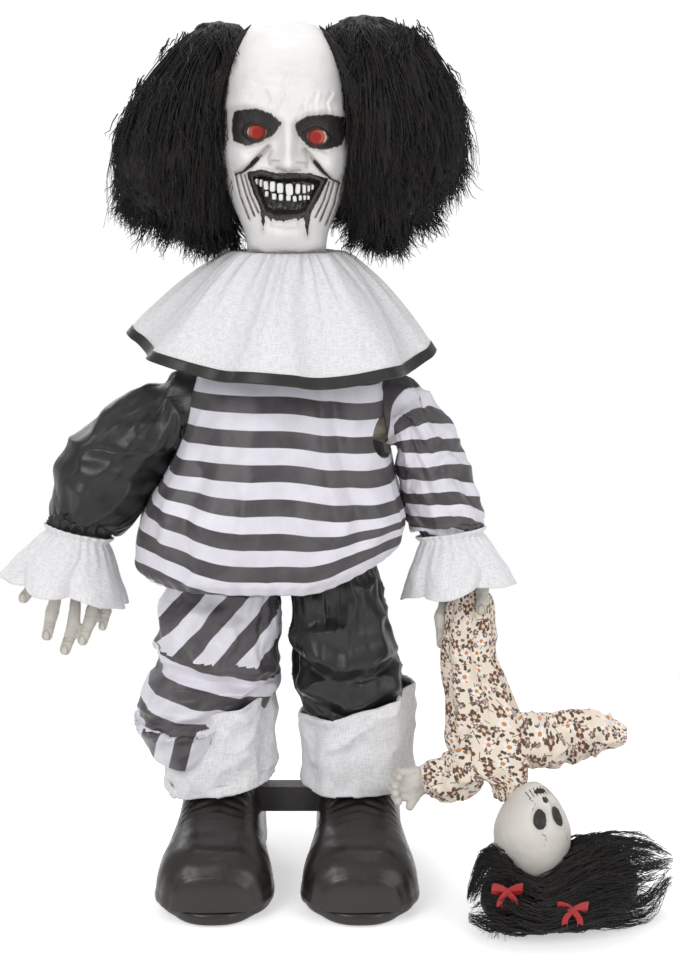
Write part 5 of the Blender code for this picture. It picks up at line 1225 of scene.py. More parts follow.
    def paint_face(self, obj: Piece, flat: Array, front: Array, rough: Array) -> None:
        """Marks where the black paint lies, and where the skin is darkened: painted shade along the
        creases, nose wings and nostrils, and a soft darkening just round the black patches and lips.

        Args:
            obj: The head.
            flat: Its points' places on the face.
            front: One where the face looks forward, nought behind it.
            rough: Noise that makes the paint's edges ragged.
        """
        near = both_sides(flat)
        nose = both_sides(np.column_stack([flat[:, 0] - self.nose_middle, flat[:, 1]]))
        patch = nearest_outline(flat, self.patches) + rough * 0.0003
        lips = nearest_outline(flat, (self.mouth, *self.drips)) + rough * 0.0009
        faded = ramp(0.764, 0.75, near[:, 1])
        corner = line_distance(near, self.smile_line) - 0.0015 * ramp(0.735, 0.75, near[:, 1]) * faded
        paint = np.maximum.reduce([
            ramp(0.0036, -0.0022, patch), ramp(0.0008, -0.0008, lips),
            0.8 * faded * ramp(0.0018, 0.0, corner),
            *(0.64 * furrow(near, line, 0.0009) for line in self.cheek_grooves),
        ])
        # Painted shade along the smile line, cheek grooves, nose wings, nostrils and frown lines, and a
        # soft darkening just round the black patches and lips.
        wash_and_shade = np.maximum.reduce([
            0.55 * furrow(near, self.smile_line, 0.0042),
            *(furrow(near, line, 0.0013) for line in self.cheek_grooves),
            0.45 * furrow(nose, self.nose_wing, 0.002),
            0.8 * furrow(nose, ((0.002, 0.7428), (0.011, 0.7445)), 0.0014),
            0.7 * furrow(nose, ((0.008, 0.752), (0.0165, 0.7516)), 0.0009),
            *(0.1 * furrow(flat, line, 0.0016) for line in self.frown_lines),
            0.34 * ramp(0.008, 0.0, patch), 0.3 * ramp(0.005, 0.0, lips),
        ])
        store(obj, "paint", paint * front)
        store(obj, "gloss", ramp(0.001, -0.001, lips) * front)
        store(obj, "wash_and_shade", wash_and_shade * front)

    def front_at(self, across: float, up: float) -> float:
        """The plain jaw's front Y at a place on the face."""
        wide, front, _ = read_rows(self.stations, np.array([up]))[:, 0]
        share = min(abs(across) / wide, 0.98)
        return -front * (1.0 - share**self.squareness) ** (1.0 / self.squareness)

    def build_teeth(self) -> Piece:
        """Two rows of small uneven teeth in the black mouth.

        Returns:
            The teeth, as one piece.
        """
        clear_selection()
        bpy.ops.mesh.primitive_cube_add(size=1.0)
        pattern = newest("tooth_pattern")
        bpy.ops.object.mode_set(mode="EDIT")
        bpy.ops.mesh.select_all(action="SELECT")
        bpy.ops.mesh.bevel(offset=0.24, segments=2)
        bpy.ops.object.mode_set(mode="OBJECT")
        subdivide(pattern, 1)
        made = []
        for row, (level, teeth) in enumerate(((0.7258, self.upper_teeth), (0.7172, self.lower_teeth))):
            for number, (across, wide, tall) in enumerate(teeth):
                odd = math.sin(number * 2.3 + row * 1.7)
                up = level + 5.5 * across**2 + 0.0004 * odd
                tooth = pattern.copy()
                tooth.data = pattern.data.copy()
                bpy.context.scene.collection.objects.link(tooth)
                tooth.scale = (wide * 0.92, 0.005, tall)
                tooth.rotation_euler = (0.0, 0.07 * odd, 18.0 * across)
                front = self.front_at(across + self.middle, up) + 0.0035
                tooth.location = world((across + self.middle, front, up - self.slope * across))
                made.append(tooth)
        bpy.data.objects.remove(pattern)
        return dress(smooth(joined("teeth", made)), self.tooth, "face_vinyl", "head")

    def build(self) -> None:
        """Builds the head's pieces and lights its lenses."""
        self.build_shell()
        self.build_teeth()
        for side in Side:
            node = f"{side}_eye_lens"
            middle = tuple(sum(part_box(node), Vector()) / 2)
            repaint(node, GlowingLens(f"{side} lit lens", middle).make())


def strands(name: str, lines: Sequence[Array], radius: float, tip: float = 0.25) -> Piece:
    """Many thin tapering hairs as one mesh.

    Args:
        name: The new object's name.
        lines: The points of each hair, root first.
        radius: The hair's radius at its root.
        tip: The share of that radius left at its tip.

    Returns:
        The hairs' mesh object.
    """
    curve = bpy.data.curves.new(name, "CURVE")
    curve.dimensions = "3D"
    curve.bevel_depth = radius
    curve.bevel_resolution = 0
    curve.use_fill_caps = True
    for line in lines:
        spline = curve.splines.new("POLY")
        spline.points.add(len(line) - 1)
        spline.points.foreach_set("co", np.column_stack([line, np.ones(len(line))]).ravel())
        share = np.linspace(0.0, 1.0, len(line))
        spline.points.foreach_set("radius", 1.0 - (1.0 - tip) * share**2)
    obj = bpy.data.objects.new(name, curve)
    bpy.context.scene.collection.objects.link(obj)
    pick(obj)
    bpy.ops.object.convert(target="MESH")
    return smooth(newest(name))


@dataclass
class HairPuff:
    """One of the two big side puffs: hair that springs from the crown and hangs ragged."""

    side: Side
    fibre: Finish
    rows: Sequence[Row]
    clumps: int = 150
    clump_hairs: int = 11
    edge_clumps: int = 16
    knots: int = 12
    radius: float = 0.0006
    tufts: int = 330
    tuft_hairs: int = 12
    centre_y: float = 0.01
    widest: float = 0.765
    spread: float = 0.0055
    core_share: float = 0.93
    hairline: Sequence[Row] = (
        (0.033, -0.016, 0.883), (0.04, -0.028, 0.87), (0.047, -0.036, 0.85),
        (0.0535, -0.036, 0.825), (0.0585, -0.034, 0.8), (0.0625, -0.026, 0.775),
    )

    def envelope(self, heights: Array) -> Array:
        """The puff's middle X, half width and half depth at some heights."""
        inner, outer, deep = read_rows(self.rows, heights)
        return np.column_stack([(inner + outer) / 2, (outer - inner) / 2, deep])

    def lowest(self, across: float, back: float) -> float:
        """The height at which a hanging hair leaves the puff's underside."""
        heights = np.linspace(self.rows[0][0], self.widest, 40)
        middle, wide, deep = self.envelope(heights).T
        inside = ((across - middle) / wide) ** 2 + (back / deep) ** 2 < 1.0
        return float(heights[np.argmax(inside)]) if inside.any() else self.widest

    def hair_line(self, turn: float, depth: float, odd: Array) -> Array:
        """One hair from the crown, over the puff's shoulder and straight down.

        Args:
            turn: Where round the puff it lies, in radians from the outer side.
            depth: How far out in the puff it lies, from nought to one.
            odd: Three random numbers of about minus one to one.

        Returns:
            The hair's points in the figure's frame.
        """
        middle, wide, deep = self.envelope(np.array([self.widest]))[0]
        across = middle + wide * depth * math.cos(turn) * 0.98
        back = deep * depth * math.sin(turn) * 0.98
        end = self.lowest(across, back) + 0.012 * abs(odd[0]) - 0.004 * abs(odd[1])
        share = np.linspace(0.0, 1.0, self.knots) ** 1.25
        crown = self.rows[-1][0] - 0.002
        heights = crown - 0.004 * (1 - depth) - (crown - end) * share
        middle, wide, deep = self.envelope(np.maximum(heights, self.widest)).T
        out = depth * np.minimum(0.1 + (share / 0.1) ** 0.6, 1.0)
        x = middle + wide * out * math.cos(turn)
        y = self.centre_y + deep * out * math.sin(turn)
        flick = (0.006 * odd[2] + 0.002 * math.cos(turn)) * share**3
        return np.column_stack([self.side.sign * (x + flick), y, heights])

    def edge_line(self, place: float, odd: Array) -> Array:
        """One hair from the hairline at the temple, swept out and down into the puff.

        Args:
            place: Where along the hairline it grows, from nought at the crown to one.
            odd: Three random numbers of about minus one to one.

        Returns:
            The hair's points in the figure's frame.
        """
        root = eased(np.linspace(0.0, 1.0, len(self.hairline)), self.hairline, np.array([place]))[0]
        middle, wide, deep = self.envelope(np.array([0.745]))[0]
        turn = -0.62 * math.pi + 0.1 * math.pi * odd[0] + 0.1 * math.pi * (1 - place)
        end = np.array((
            middle + wide * math.cos(turn), self.centre_y + deep * math.sin(turn) * 0.97,
            0.722 - 0.034 * abs(odd[1]) - 0.012 * place,
        ))
        over = np.array((root[0] + 0.02, root[1] - 0.022, root[2] - 0.01))
        share = np.linspace(0.0, 1.0, self.knots)[:, None]
        line = root * (1 - share) ** 3 + over * 3 * share * (1 - share) ** 2
        line = line + (end + (0.0, 0.004, 0.06)) * 3 * share**2 * (1 - share) + end * share**3
        return line * (self.side.sign, 1.0, 1.0)

    def build_strands(self) -> Piece:
        """The hair itself, in clumps that part and thin towards their ends."""
        random = np.random.default_rng(41 if self.side is Side.RIGHT else 57)
        lines = []
        for clump in range(self.clumps + self.edge_clumps):
            edge = clump >= self.clumps
            turn = random.uniform(-math.pi, math.pi)
            depth = math.sqrt(random.uniform(0.62, 1.0))
            odd = random.uniform(-1.0, 1.0, 3)
            phase = random.uniform(0.0, 60.0, 3)
            for _ in range(self.clump_hairs):
                own = odd + random.normal(0.0, 0.35, 3)
                own_turn = turn + random.normal(0.0, 0.1)
                out = min(depth * (1 + random.normal(0.0, 0.03)), 1.03)
                if edge:
                    place = (clump - self.clumps + random.uniform(0.0, 1.0)) / self.edge_clumps
                    line = self.edge_line(place, own)
                else:
                    line = self.hair_line(own_turn, out, own)
                share = np.linspace(0.0, 1.0, len(line))[:, None]
                aside = random.normal(0.0, self.spread * (0.35 if edge else 1.0), 3)
                wave = np.array([
                    [noise.noise(Vector((s * 2.2 + phase[axis], own_turn * 1.7, axis * 9.1)))
                     for axis in range(3)]
                    for s in share[:, 0]
                ])
                frizz = random.normal(0.0, 0.0012, line.shape) * share
                loose = aside * (0.4 + 0.3 * share) * share**0.5
                lines.append(line + (loose + 0.012 * wave * share + frizz) + PLAN_SHIFT)
        obj = strands(f"{self.side}_hair_strands", lines, self.radius)
        return dress(obj, self.fibre, "hair_fibre", "head")

    def build_frizz(self) -> Piece:
        """Short crimped tufts that break up the puff's surface and its ragged underside."""
        random = np.random.default_rng(43 if self.side is Side.RIGHT else 59)
        low, high = self.rows[0][0], self.rows[-1][0]
        lines = []
        for tuft in range(self.tufts):
            under = tuft % 5 < 3
            share = 0.17 * random.uniform(0.0, 1.0) if under else random.uniform(0.1, 0.9)
            height = low + (high - low) * share
            middle, wide, deep = self.envelope(np.array([height]))[0]
            turn = random.uniform(-math.pi, math.pi)
            inward = random.uniform(0.15, 0.95) if under else 0.95
            x = middle + wide * inward * math.cos(turn)
            y = deep * inward * math.sin(turn)
            root = np.array((x, self.centre_y + y, max(height + 0.012, self.lowest(x, y) + 0.016)))
            lean = random.normal(0.0, 0.2, 3)
            aim = np.array((0.35 * math.cos(turn), 0.35 * math.sin(turn), -1.0)) + lean
            aim = aim / np.linalg.norm(aim)
            length = random.uniform(0.016, 0.03)
            for _ in range(self.tuft_hairs):
                own = aim + random.normal(0.0, 0.14, 3)
                share = np.linspace(0.0, 1.0, 6)[:, None]
                crimp = random.normal(0.0, 0.0013, (6, 3)) * (0.3 + share)
                start = root + random.normal(0.0, 0.0032, 3)
                line = start + own * length * random.uniform(0.7, 1.15) * share + crimp
                lines.append(line * (self.side.sign, 1.0, 1.0) + PLAN_SHIFT)
        obj = strands(f"{self.side}_hair_frizz", lines, self.radius)
        return dress(obj, self.fibre, "hair_fibre", "head")

    def build_core(self) -> Piece:
        """The dense hair under the strands, combed in grooves and ragged below."""
        low, high = self.rows[0][0] + 0.024, self.rows[-1][0] - 0.0025

        def lay(u: Array, v: Array) -> Array:
            """Lays the core a little inside the puff, rounded at its foot."""
            heights = low + (high - low) * v
            middle, wide, deep = self.envelope(heights).T
            angle = math.tau * u
            close = closed_ends(v)
            foot = np.sqrt(np.clip(1.0 - (1.0 - np.minimum(v / 0.3, 1.0)) ** 2, 0.0, 1.0))
            shrink = self.core_share * close * (0.2 + 0.8 * foot)
            x = middle + wide * shrink * np.cos(angle)
            y = self.centre_y + deep * shrink * np.sin(angle)
            probe = np.column_stack([x, y, heights * 0.16])
            groove = (creases(probe, 0.011, 21, 3) - 0.6) * 0.01 * close
            locks = np.column_stack([x, y, 0.0 * x])
            drop = 0.016 * (creases(locks, 0.012, 22, 2) - 0.5) * ramp(0.3, 0.0, v) * close
            return np.column_stack([
                self.side.sign * (x + groove * np.cos(angle)), y + groove * np.sin(angle), heights - drop
            ])

        obj = tube_cloth(f"{self.side}_hair_core", 170, 80, lay)
        smooth(obj)
        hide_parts(f"{self.side}_hair")
        return dress(obj, self.fibre, "hair_fibre", "head")

    def build(self) -> None:
        """Builds the core and its strands."""
        self.build_core()
        self.build_strands()
        self.build_frizz()


@dataclass(frozen=True)
class Folds:
    """The folds of one garment: gathers that run along it and crumples across it."""

    gathers: int = 0
    gather_depth: float = 0.0
    crumple: float = 0.03
    crumple_depth: float = 0.0
    stretch: Point = (1.0, 1.0, 1.0)
    fine: float = 0.0
    seed: int = 1

    def height(self, around: Array, points: Array) -> Array:
        """How far out the cloth lies from its smooth form.

        Args:
            around: From nought to one round the garment.
            points: The smooth form's points.

        Returns:
            Metres outwards for each point.
        """
        out = np.zeros(len(points))
        if self.gathers:
            drift = 1.8 * grain(points * (1.0, 1.0, 0.35), 0.06, self.seed + 3)
            wave = np.cos(math.tau * self.gathers * around + drift)
            out += self.gather_depth * (np.abs(0.5 + 0.5 * wave) ** 0.7 * 2.0 - 1.0)
        if self.crumple_depth:
            pulled = points / np.asarray(self.stretch)
            bent = pulled + 0.35 * self.crumple * np.column_stack(
                [grain(pulled, self.crumple * 1.7, self.seed + axis, 1) for axis in (11, 12, 13)]
            )
            out += self.crumple_depth * (creases(bent, self.crumple, self.seed, 2) - 0.65) * 2.0
        if self.fine:
            out += self.fine * (creases(points, 0.009, self.seed + 5, 2) - 0.6)
        return out


def cut_away(obj: Piece, cutter: Piece) -> None:
    """Cuts one object's shape out of another and removes the cutter.

    Args:
        obj: The piece that is cut.
        cutter: The shape that is taken away.
    """
    modifier = obj.modifiers.new("opening", "BOOLEAN")
    modifier.operation = "DIFFERENCE"
    modifier.solver = "EXACT"
    modifier.object = cutter
    apply_modifiers(obj)
    bpy.data.objects.remove(cutter)


@dataclass
class Collar:
    """The wide gathered collar and the black ribbon that binds its hem."""

    muslin: Finish
    satin: Finish
    folds: int = 8
    top: float = 0.663
    neck_radius: float = 0.0514
    hem_height: float = 0.568
    front_drop: float = 0.026
    side_drop: float = 0.009
    hem_width: float = 0.151
    hem_depth: float = 0.132
    ribbon: float = 0.011
    frill: float = 0.0026
    shift: float = -0.006

    def sheet(self, u: Array, along: Array, out: float) -> Array:
        """Points of the collar from its neck, at nought, to its hem, at one."""
        angle = math.tau * u
        front = np.maximum(0.0, -np.sin(angle))
        hem = self.hem_height - self.front_drop * front - self.side_drop * np.cos(angle)
        height = self.top + (hem - self.top) * along**1.15
        probe = np.column_stack([np.cos(angle), np.sin(angle), along * 0.5]) * 0.1
        drift = 2.0 * grain(probe, 0.09, 4) + 0.5 * grain(probe, 0.04, 6)
        wave = np.cos(self.folds * angle + drift)
        gather = np.cos(self.folds * 4.0 * angle + 4 * drift)
        wave = np.sign(wave) * np.abs(wave) ** 0.8
        depth = 0.019 * along * (1.0 - 0.55 * along) + self.frill * mound(along, 0.04, 0.08)
        small = 0.0034 * gather * (1.0 - along) ** 1.2
        spread = along**0.84
        soft = 0.0042 * grain(probe, 0.05, 9) * along * (1.0 - 0.45 * along)
        wave_out = depth * wave + small + soft + out
        wide = self.neck_radius + (self.hem_width - self.neck_radius) * spread + wave_out
        deep = self.neck_radius + (self.hem_depth - self.neck_radius) * spread + wave_out
        sag = 0.003 * wave * along
        x = wide * np.cos(angle) + self.shift * along
        return np.column_stack([x, deep * np.sin(angle), height + sag])

    def build(self) -> None:
        """Builds the collar and its ribbon."""
        fall = self.top - self.hem_height + self.front_drop / 2
        length = math.hypot(fall, self.hem_width - self.neck_radius)
        edge = 1.0 - self.ribbon / length
        cape = tube_cloth("collar_cape", 360, 70, lambda u, v: self.sheet(u, v * (edge + 0.02), 0.0))
        give_wall(cape, CLOTH_WALL)
        smooth(cape)
        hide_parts("collar")
        dress(cape, self.muslin, "white_muslin", "torso")
        ribbon = tube_cloth(
            "collar_ribbon", 360, 8, lambda u, v: self.sheet(u, edge + (1.0 - edge) * v, 0.0011)
        )
        give_wall(ribbon, 2 * CLOTH_WALL)
        smooth(ribbon)
        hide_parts("collar_trim")
        dress(ribbon, self.satin, "black_satin", "torso")


@dataclass
class Shirt:
    """The loose striped satin shirt, gathered at its hem, open at the arms and over the back panel."""

    satin: Finish
    squareness: float = 2.5
    armhole: float = 0.036
    armhole_height: float = 0.495
    opening: tuple[float, float, float] = (0.05, 0.388, 0.516)
    sagging_armhole: Point = (0.104, 0.0, 0.48)
    folds: Folds = Folds(9, 0.002, 0.06, 0.003, (1.0, 1.0, 2.2), 0.0003, 31)
    hem_lift: float = 0.024
    pleats: Sequence[tuple] = (
        (((0.03, 0.54), (0.034, 0.47), (0.05, 0.4), (0.045, 0.35)), 0.004, 0.01),
        (((0.046, 0.54), (0.056, 0.47), (0.072, 0.41)), -0.0035, 0.008),
        (((-0.095, 0.47), (-0.112, 0.43), (-0.12, 0.38)), 0.005, 0.009),
        (((-0.082, 0.45), (-0.1, 0.405), (-0.098, 0.36)), -0.004, 0.008),
        (((-0.03, 0.52), (-0.036, 0.44), (-0.02, 0.38)), 0.0022, 0.013),
        (((0.09, 0.43), (0.1, 0.39), (0.085, 0.36)), 0.0035, 0.01),
    )
    rows: Sequence[Row] = (
        (0.326, -0.02, -0.012, 0.106, 0.08), (0.3285, -0.02, -0.013, 0.119, 0.092),
        (0.336, -0.02, -0.014, 0.131, 0.102), (0.36, -0.019, -0.015, 0.138, 0.107),
        (0.4, -0.014, -0.014, 0.134, 0.105), (0.43, -0.009, -0.011, 0.121, 0.098),
        (0.46, -0.004, -0.007, 0.11, 0.091), (0.5, -0.001, -0.003, 0.103, 0.083),
        (0.53, 0.0, 0.0, 0.097, 0.073), (0.56, 0.0, 0.0, 0.0755, 0.0535),
        (0.575, 0.0, 0.0, 0.0575, 0.0475), (0.588, 0.0, 0.0, 0.0478, 0.045),
        (0.615, 0.0, 0.0, 0.0475, 0.0475), (0.66, 0.0, 0.0, 0.0475, 0.0475),
    )

    def bend_stripes(self, obj: Piece) -> None:
        """Slants the woven stripes where the cloth is pulled: down its left, up at its right hip."""
        x, y, z = corner_points(obj)
        pulled = 0.01 * ramp(-0.01, 0.095, x) * ramp(0.36, 0.4, z)
        drawn = 0.022 * ramp(-0.05, -0.15, x) * ramp(0.455, 0.4, z)
        rise = (pulled - drawn) / (self.rows[-1][0] - self.rows[0][0])
        lay_stripes(obj, lambda along: along + rise * (y < 0.03))

    def build(self) -> None:
        """Builds the shirt's body."""

        def lay(u: Array, v: Array) -> Array:
            """Lays the shirt round the torso, its seam at the back."""
            rows, smooth_form, out_way = upright_form(self.rows, u, v, self.squareness)
            low = ramp(0.46, 0.36, rows[:, 0])
            loose = ramp(0.545, 0.5, rows[:, 0])
            hem = ramp(0.348, 0.332, rows[:, 0])
            out = self.folds.height(u, smooth_form) * (0.4 + 0.6 * low) * loose * (1 - 0.6 * hem)
            gathers = np.cos(math.tau * 46 * u + 2.0 * grain(smooth_form, 0.05, 71))
            out += 0.0013 * gathers * hem
            for line, depth, width in self.pleats:
                out += depth * furrow(smooth_form[:, [0, 2]], line, width) * (smooth_form[:, 1] < 0)
            laid = smooth_form + out_way * out[:, None]
            blouse = ramp(0.42, 0.345, rows[:, 0])
            laid[:, 2] += self.hem_lift * ramp(0.015, 0.115, laid[:, 0]) * blouse
            return laid

        obj = tube_cloth("shirt_body", 300, 170, lay)
        self.bend_stripes(obj)
        give_wall(obj, CLOTH_WALL)
        clear_selection()
        bpy.ops.mesh.primitive_cylinder_add(
            vertices=64, radius=self.armhole, depth=0.5, rotation=(0.0, math.pi / 2, 0.0),
            location=world((0.0, 0.0, self.armhole_height)),
        )
        cut_away(obj, newest("armhole_cutter"))
        x, y, z = self.sagging_armhole
        clear_selection()
        bpy.ops.mesh.primitive_cylinder_add(
            vertices=48, radius=0.5, depth=0.12,
            location=world((x, y - 0.06, z)),
            rotation=(math.pi / 2, 0.0, 0.0),
        )
        cutter = newest("sagging_cutter")
        cutter.scale = (0.034, 0.046, 1.0)
        cut_away(obj, cutter)
        half, low, high = self.opening
        clear_selection()
        bpy.ops.mesh.primitive_cube_add(size=1.0, location=world((0.0, 0.1, (low + high) / 2)))
        cutter = newest("panel_cutter")
        cutter.scale = (2 * half, 0.2, high - low)
        cut_away(obj, cutter)
        smooth(obj, 50.0)
        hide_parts("shirt")
        dress(obj, self.satin, "striped_satin", "torso")


@dataclass
class Sleeve:
    """One long sleeve: it puffs at the elbow and is drawn in above the cuff."""

    side: Side
    satin: Finish
    slot: str
    path: Sequence[Point]
    radii: Sequence[float]
    folds: Folds
    billow: Billow

    def build(self) -> None:
        """Builds the sleeve from the torso down the arm."""
        share_at = np.linspace(0.0, 1.0, len(self.radii))

        def lay(u: Array, v: Array) -> Array:
            """Lays the sleeve round the arm, from the armhole down."""
            radius = eased(share_at, self.radii, v)
            smooth_form, out_way = round_form(self.path, u, v, radius)
            free = ramp(0.0, 0.16, v) * ramp(1.0, 0.93, v)
            out = self.folds.height(u, smooth_form) * (0.15 + 0.85 * free)
            wrist = ramp(0.86, 0.96, v)
            out += 0.0014 * wrist * np.cos(math.tau * 17 * u + 1.5 * grain(smooth_form, 0.03, 83))
            return smooth_form + out_way * out[:, None]

        obj = tube_cloth(f"{self.side}_sleeve_cloth", 132, 132, lay)
        points = own_points(obj)
        ends = np.minimum(
            np.linalg.norm(points - self.path[0], axis=1) - self.radii[0],
            np.linalg.norm(points - self.path[-1], axis=1) - self.radii[-1],
        )
        self.billow.run(obj, ramp(0.012, 0.002, ends))
        give_wall(obj, CLOTH_WALL)
        smooth(obj)
        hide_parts(f"{self.side}_sleeve")
        dress(obj, self.satin, self.slot)
        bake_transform(obj)


@dataclass
class SleeveCuff:
    """A flared muslin cuff, puckered at the wrist and rippled at its hem."""

    side: Side
    muslin: Finish
    start: Point
    end: Point
    flare: float
    wrist: float = 0.0315
    folds: int = 5

    def build(self) -> None:
        """Builds the cuff on its arm."""
        first = np.asarray(self.start)
        last = np.asarray(self.end)

        def lay(u: Array, v: Array) -> Array:
            """Lays the cuff from a small frill above the wrist to the hem."""
            share = v * 1.12 - 0.12
            line = [tuple(first), tuple((first + last) / 2), tuple(last)]
            places, back, aside = bent_frame(line, np.clip(share, 0, 1))
            places = places + np.minimum(share, 0.0)[:, None] * (last - first)
            opened = np.clip(share, 0.0, 1.0)
            radius = self.wrist + (self.flare - self.wrist) * opened**0.8
            radius = radius + 0.0045 * ramp(0.0, -0.12, share)
            angle = math.tau * u
            probe = np.column_stack([np.cos(angle), np.sin(angle), v]) * 0.05
            drift = 1.3 * grain(probe, 0.05, 15 if self.side is Side.LEFT else 19)
            wave = np.abs(np.cos(self.folds * angle / 2 + drift)) ** 0.8 * 2.0 - 1.0
            gather = np.cos(5.0 * self.folds * angle + 3 * drift)
            out = (0.0006 + 0.0072 * opened) * wave + 0.0012 * gather * (1.0 - opened) ** 2
            out += 0.0034 * grain(probe, 0.024, 23) * opened
            out_way = np.cos(angle)[:, None] * aside + np.sin(angle)[:, None] * back
            hang = (last - first) / np.linalg.norm(last - first)
            uneven = 0.004 * opened * grain(probe, 0.04, 27) + 0.0015 * opened * wave
            return places + out_way * (radius + out)[:, None] + hang * uneven[:, None]

        obj = tube_cloth(f"{self.side}_cuff_cloth", 200, 46, lay)
        give_wall(obj, CLOTH_WALL * 1.4)
        smooth(obj)
        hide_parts(f"{self.side}_sleeve_cuff")
        dress(obj, self.muslin, "white_muslin", f"{self.side}_arm")


@dataclass
class TrouserLeg:
    """One loose trouser leg, crumpled between the shirt's hem and the ankle cuff."""

    side: Side
    satin: Finish
    slot: str
    rows: Sequence[Row]
    folds: Folds
    billow: Billow
    slanted: bool = False
    lobe: float = 0.0
    lobe_width: float = 0.0
    squareness: float = 2.2
    pleats: Sequence[tuple] = ()

    def build(self) -> None:
        """Builds the leg between the lower leg and the torso."""

        def lay(u: Array, v: Array) -> Array:
            """Lays the leg's cloth in its crumples."""
            _, smooth_form, out_way = upright_form(self.rows, u, v, self.squareness)
            outer = ramp(-0.2, 0.55, self.side.sign * out_way[:, 0])
            tucked = ramp(0.0, 0.055, v) * ramp(0.42, 0.16, v)
            smooth_form += (self.lobe_width * outer * tucked)[:, None] * out_way
            smooth_form[:, 2] -= self.lobe * outer * ramp(0.42, 0.0, v)
            free = ramp(0.0, 0.2, v) * ramp(1.0, 0.9, v)
            out = self.folds.height(u, smooth_form) * (0.2 + 0.8 * free)
            drop = np.zeros(len(v))
            for line, depth, width in self.pleats:
                pleat = furrow(smooth_form[:, [0, 2]], line, width) * (smooth_form[:, 1] < 0.0)
                out += depth * pleat
                drop += 0.7 * abs(depth) * pleat
            laid = smooth_form + out_way * out[:, None]
            laid[:, 2] -= drop
            return laid

        obj = tube_cloth(f"{self.side}_trouser_cloth", 160, 150, lay)
        if self.slanted:
            self.slant_print(obj)
        up = coordinates(obj)[:, 2]
        low, high = self.rows[0][0], self.rows[-1][0]
        ends = np.minimum(up - low, high - up)
        self.billow.run(obj, ramp(0.02, 0.004, ends))
        give_wall(obj, CLOTH_WALL)
        smooth(obj)
        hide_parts(f"{self.side}_trouser_leg")
        dress(obj, self.satin, self.slot)
        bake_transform(obj)

    def slant_print(self, obj: Piece) -> None:
        """Turns the woven stripes as the twisted leg turns them: steep, nearly level, upright."""
        faces = obj.data.polygons
        sides = np.empty(len(faces), np.int32)
        faces.foreach_get("loop_total", sides)
        centres = np.empty(len(faces) * 3)
        faces.foreach_get("center", centres)
        across, deep, up = np.repeat(centres.reshape(-1, 3) - PLAN_SHIFT, sides, axis=0).T
        across = across + 0.6 * np.maximum(deep, 0.0)
        above = up > 0.254 - 0.14 * (across + 0.09)
        below = (up < 0.183 + 0.1 * (across + 0.08)) & (across < -0.0545)
        x, y, z = corner_points(obj)
        x = x + 0.6 * np.maximum(y, 0.0)
        steep, level, upright = (z - x) * 0.7071, 0.966 * z + 0.26 * x, x - 0.25 * z
        lines = np.where(below, upright, np.where(above, steep, level))
        lay_stripes(obj, lambda _: lines / (self.rows[-1][0] - self.rows[0][0]))


@dataclass
class AnkleCuff:
    """The turned-up muslin cuff that drops over the boot."""

    side: Side
    muslin: Finish
    middle: Spot
    half: Spot
    low: float = 0.099
    high: float = 0.189
    slant: float = 0.2
    hem_share: float = 0.75
    squareness: float = 2.2

    def build(self) -> None:
        """Builds the cuff as a folded double tube."""
        profile = (
            (0.0, 0.93, 0.1), (0.05, 0.985, 0.0), (0.15, 1.0, 0.05), (0.5, 1.0, 0.5),
            (0.85, 1.0, 0.92), (0.95, 0.985, 1.0), (1.0, 0.955, 0.95),
        )

        def lay(u: Array, v: Array) -> Array:
            """Lays the cuff from its inner hem, round its bottom roll, up to its top roll."""
            size, up = read_rows(profile, v)
            angle = math.tau * u + math.pi / 2
            cosine, sine = super_circle(angle, self.squareness)
            seed = 33 if self.side is Side.LEFT else 37
            probe = np.column_stack([cosine, sine, v * 0.8]) * 0.06
            out = 0.003 * np.cos(6 * angle + 1.6 * grain(probe, 0.07, seed)) * ramp(0.0, 0.2, v)
            pulled = probe * (1.0, 1.0, 2.4)
            out += 0.0052 * (creases(pulled, 0.05, seed + 1, 2) - 0.65)
            out += 0.0014 * grain(probe, 0.016, seed + 2, 2)
            share = self.hem_share + (1.3 - self.hem_share) * up
            tilt = self.slant * share * self.half[0] * cosine
            height = self.low + (self.high - self.low) * up + tilt
            height = height + 0.003 * grain(probe * (1, 1, 0), 0.05, seed + 5) * ramp(0.3, 1.0, v)
            x = self.middle[0] + (self.half[0] * size + out) * cosine
            y = self.middle[1] + (self.half[1] * size + out) * sine
            return np.column_stack([x, y, height])

        obj = tube_cloth(f"{self.side}_ankle_cloth", 190, 70, lay)
        give_wall(obj, CLOTH_WALL * 1.5)
        smooth(obj)
        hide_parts(f"{self.side}_trouser_cuff")
        dress(obj, self.muslin, "white_muslin", f"{self.side}_leg")


def capsule_chain(points: Sequence[Point], radii: Sequence[float]) -> list[Piece]:
    """Balls at some points and tapered rods between them, as the start of a limb.

    Args:
        points: The joints of the limb, in the figure's frame.
        radii: The limb's radius at each.

    Returns:
        The primitives, still apart.
    """
    made = []
    for place, radius in zip(points, radii):
        made.append(ball("limb_ball", place, 16, 10, radius=radius))
    for first, last, low, high in zip(points[:-1], points[1:], radii[:-1], radii[1:]):
        a, b = world(first), world(last)
        clear_selection()
        bpy.ops.mesh.primitive_cone_add(
            vertices=16, radius1=low * 0.97, radius2=high * 0.97, depth=(b - a).length,
            location=(a + b) / 2, rotation=(b - a).to_track_quat("Z", "Y").to_euler(),
        )
        made.append(newest("limb_rod"))
    return made


def grown_together(name: str, parts: Sequence[Piece], voxel: float, rounds: int = 3) -> Piece:
    """Joins overlapping shapes into one smooth skin.

    Args:
        name: The new object's name.
        parts: The shapes.
        voxel: The size of the skin's faces, in metres.
        rounds: How often the skin is smoothed.

    Returns:
        The skin's object.
    """
    obj = joined(name, parts)
    skin = obj.modifiers.new("skin", "REMESH")
    skin.mode = "VOXEL"
    skin.voxel_size = voxel
    soften = obj.modifiers.new("soften", "SMOOTH")
    soften.factor = 0.5
    soften.iterations = rounds
    apply_modifiers(obj)
    return smooth(obj)


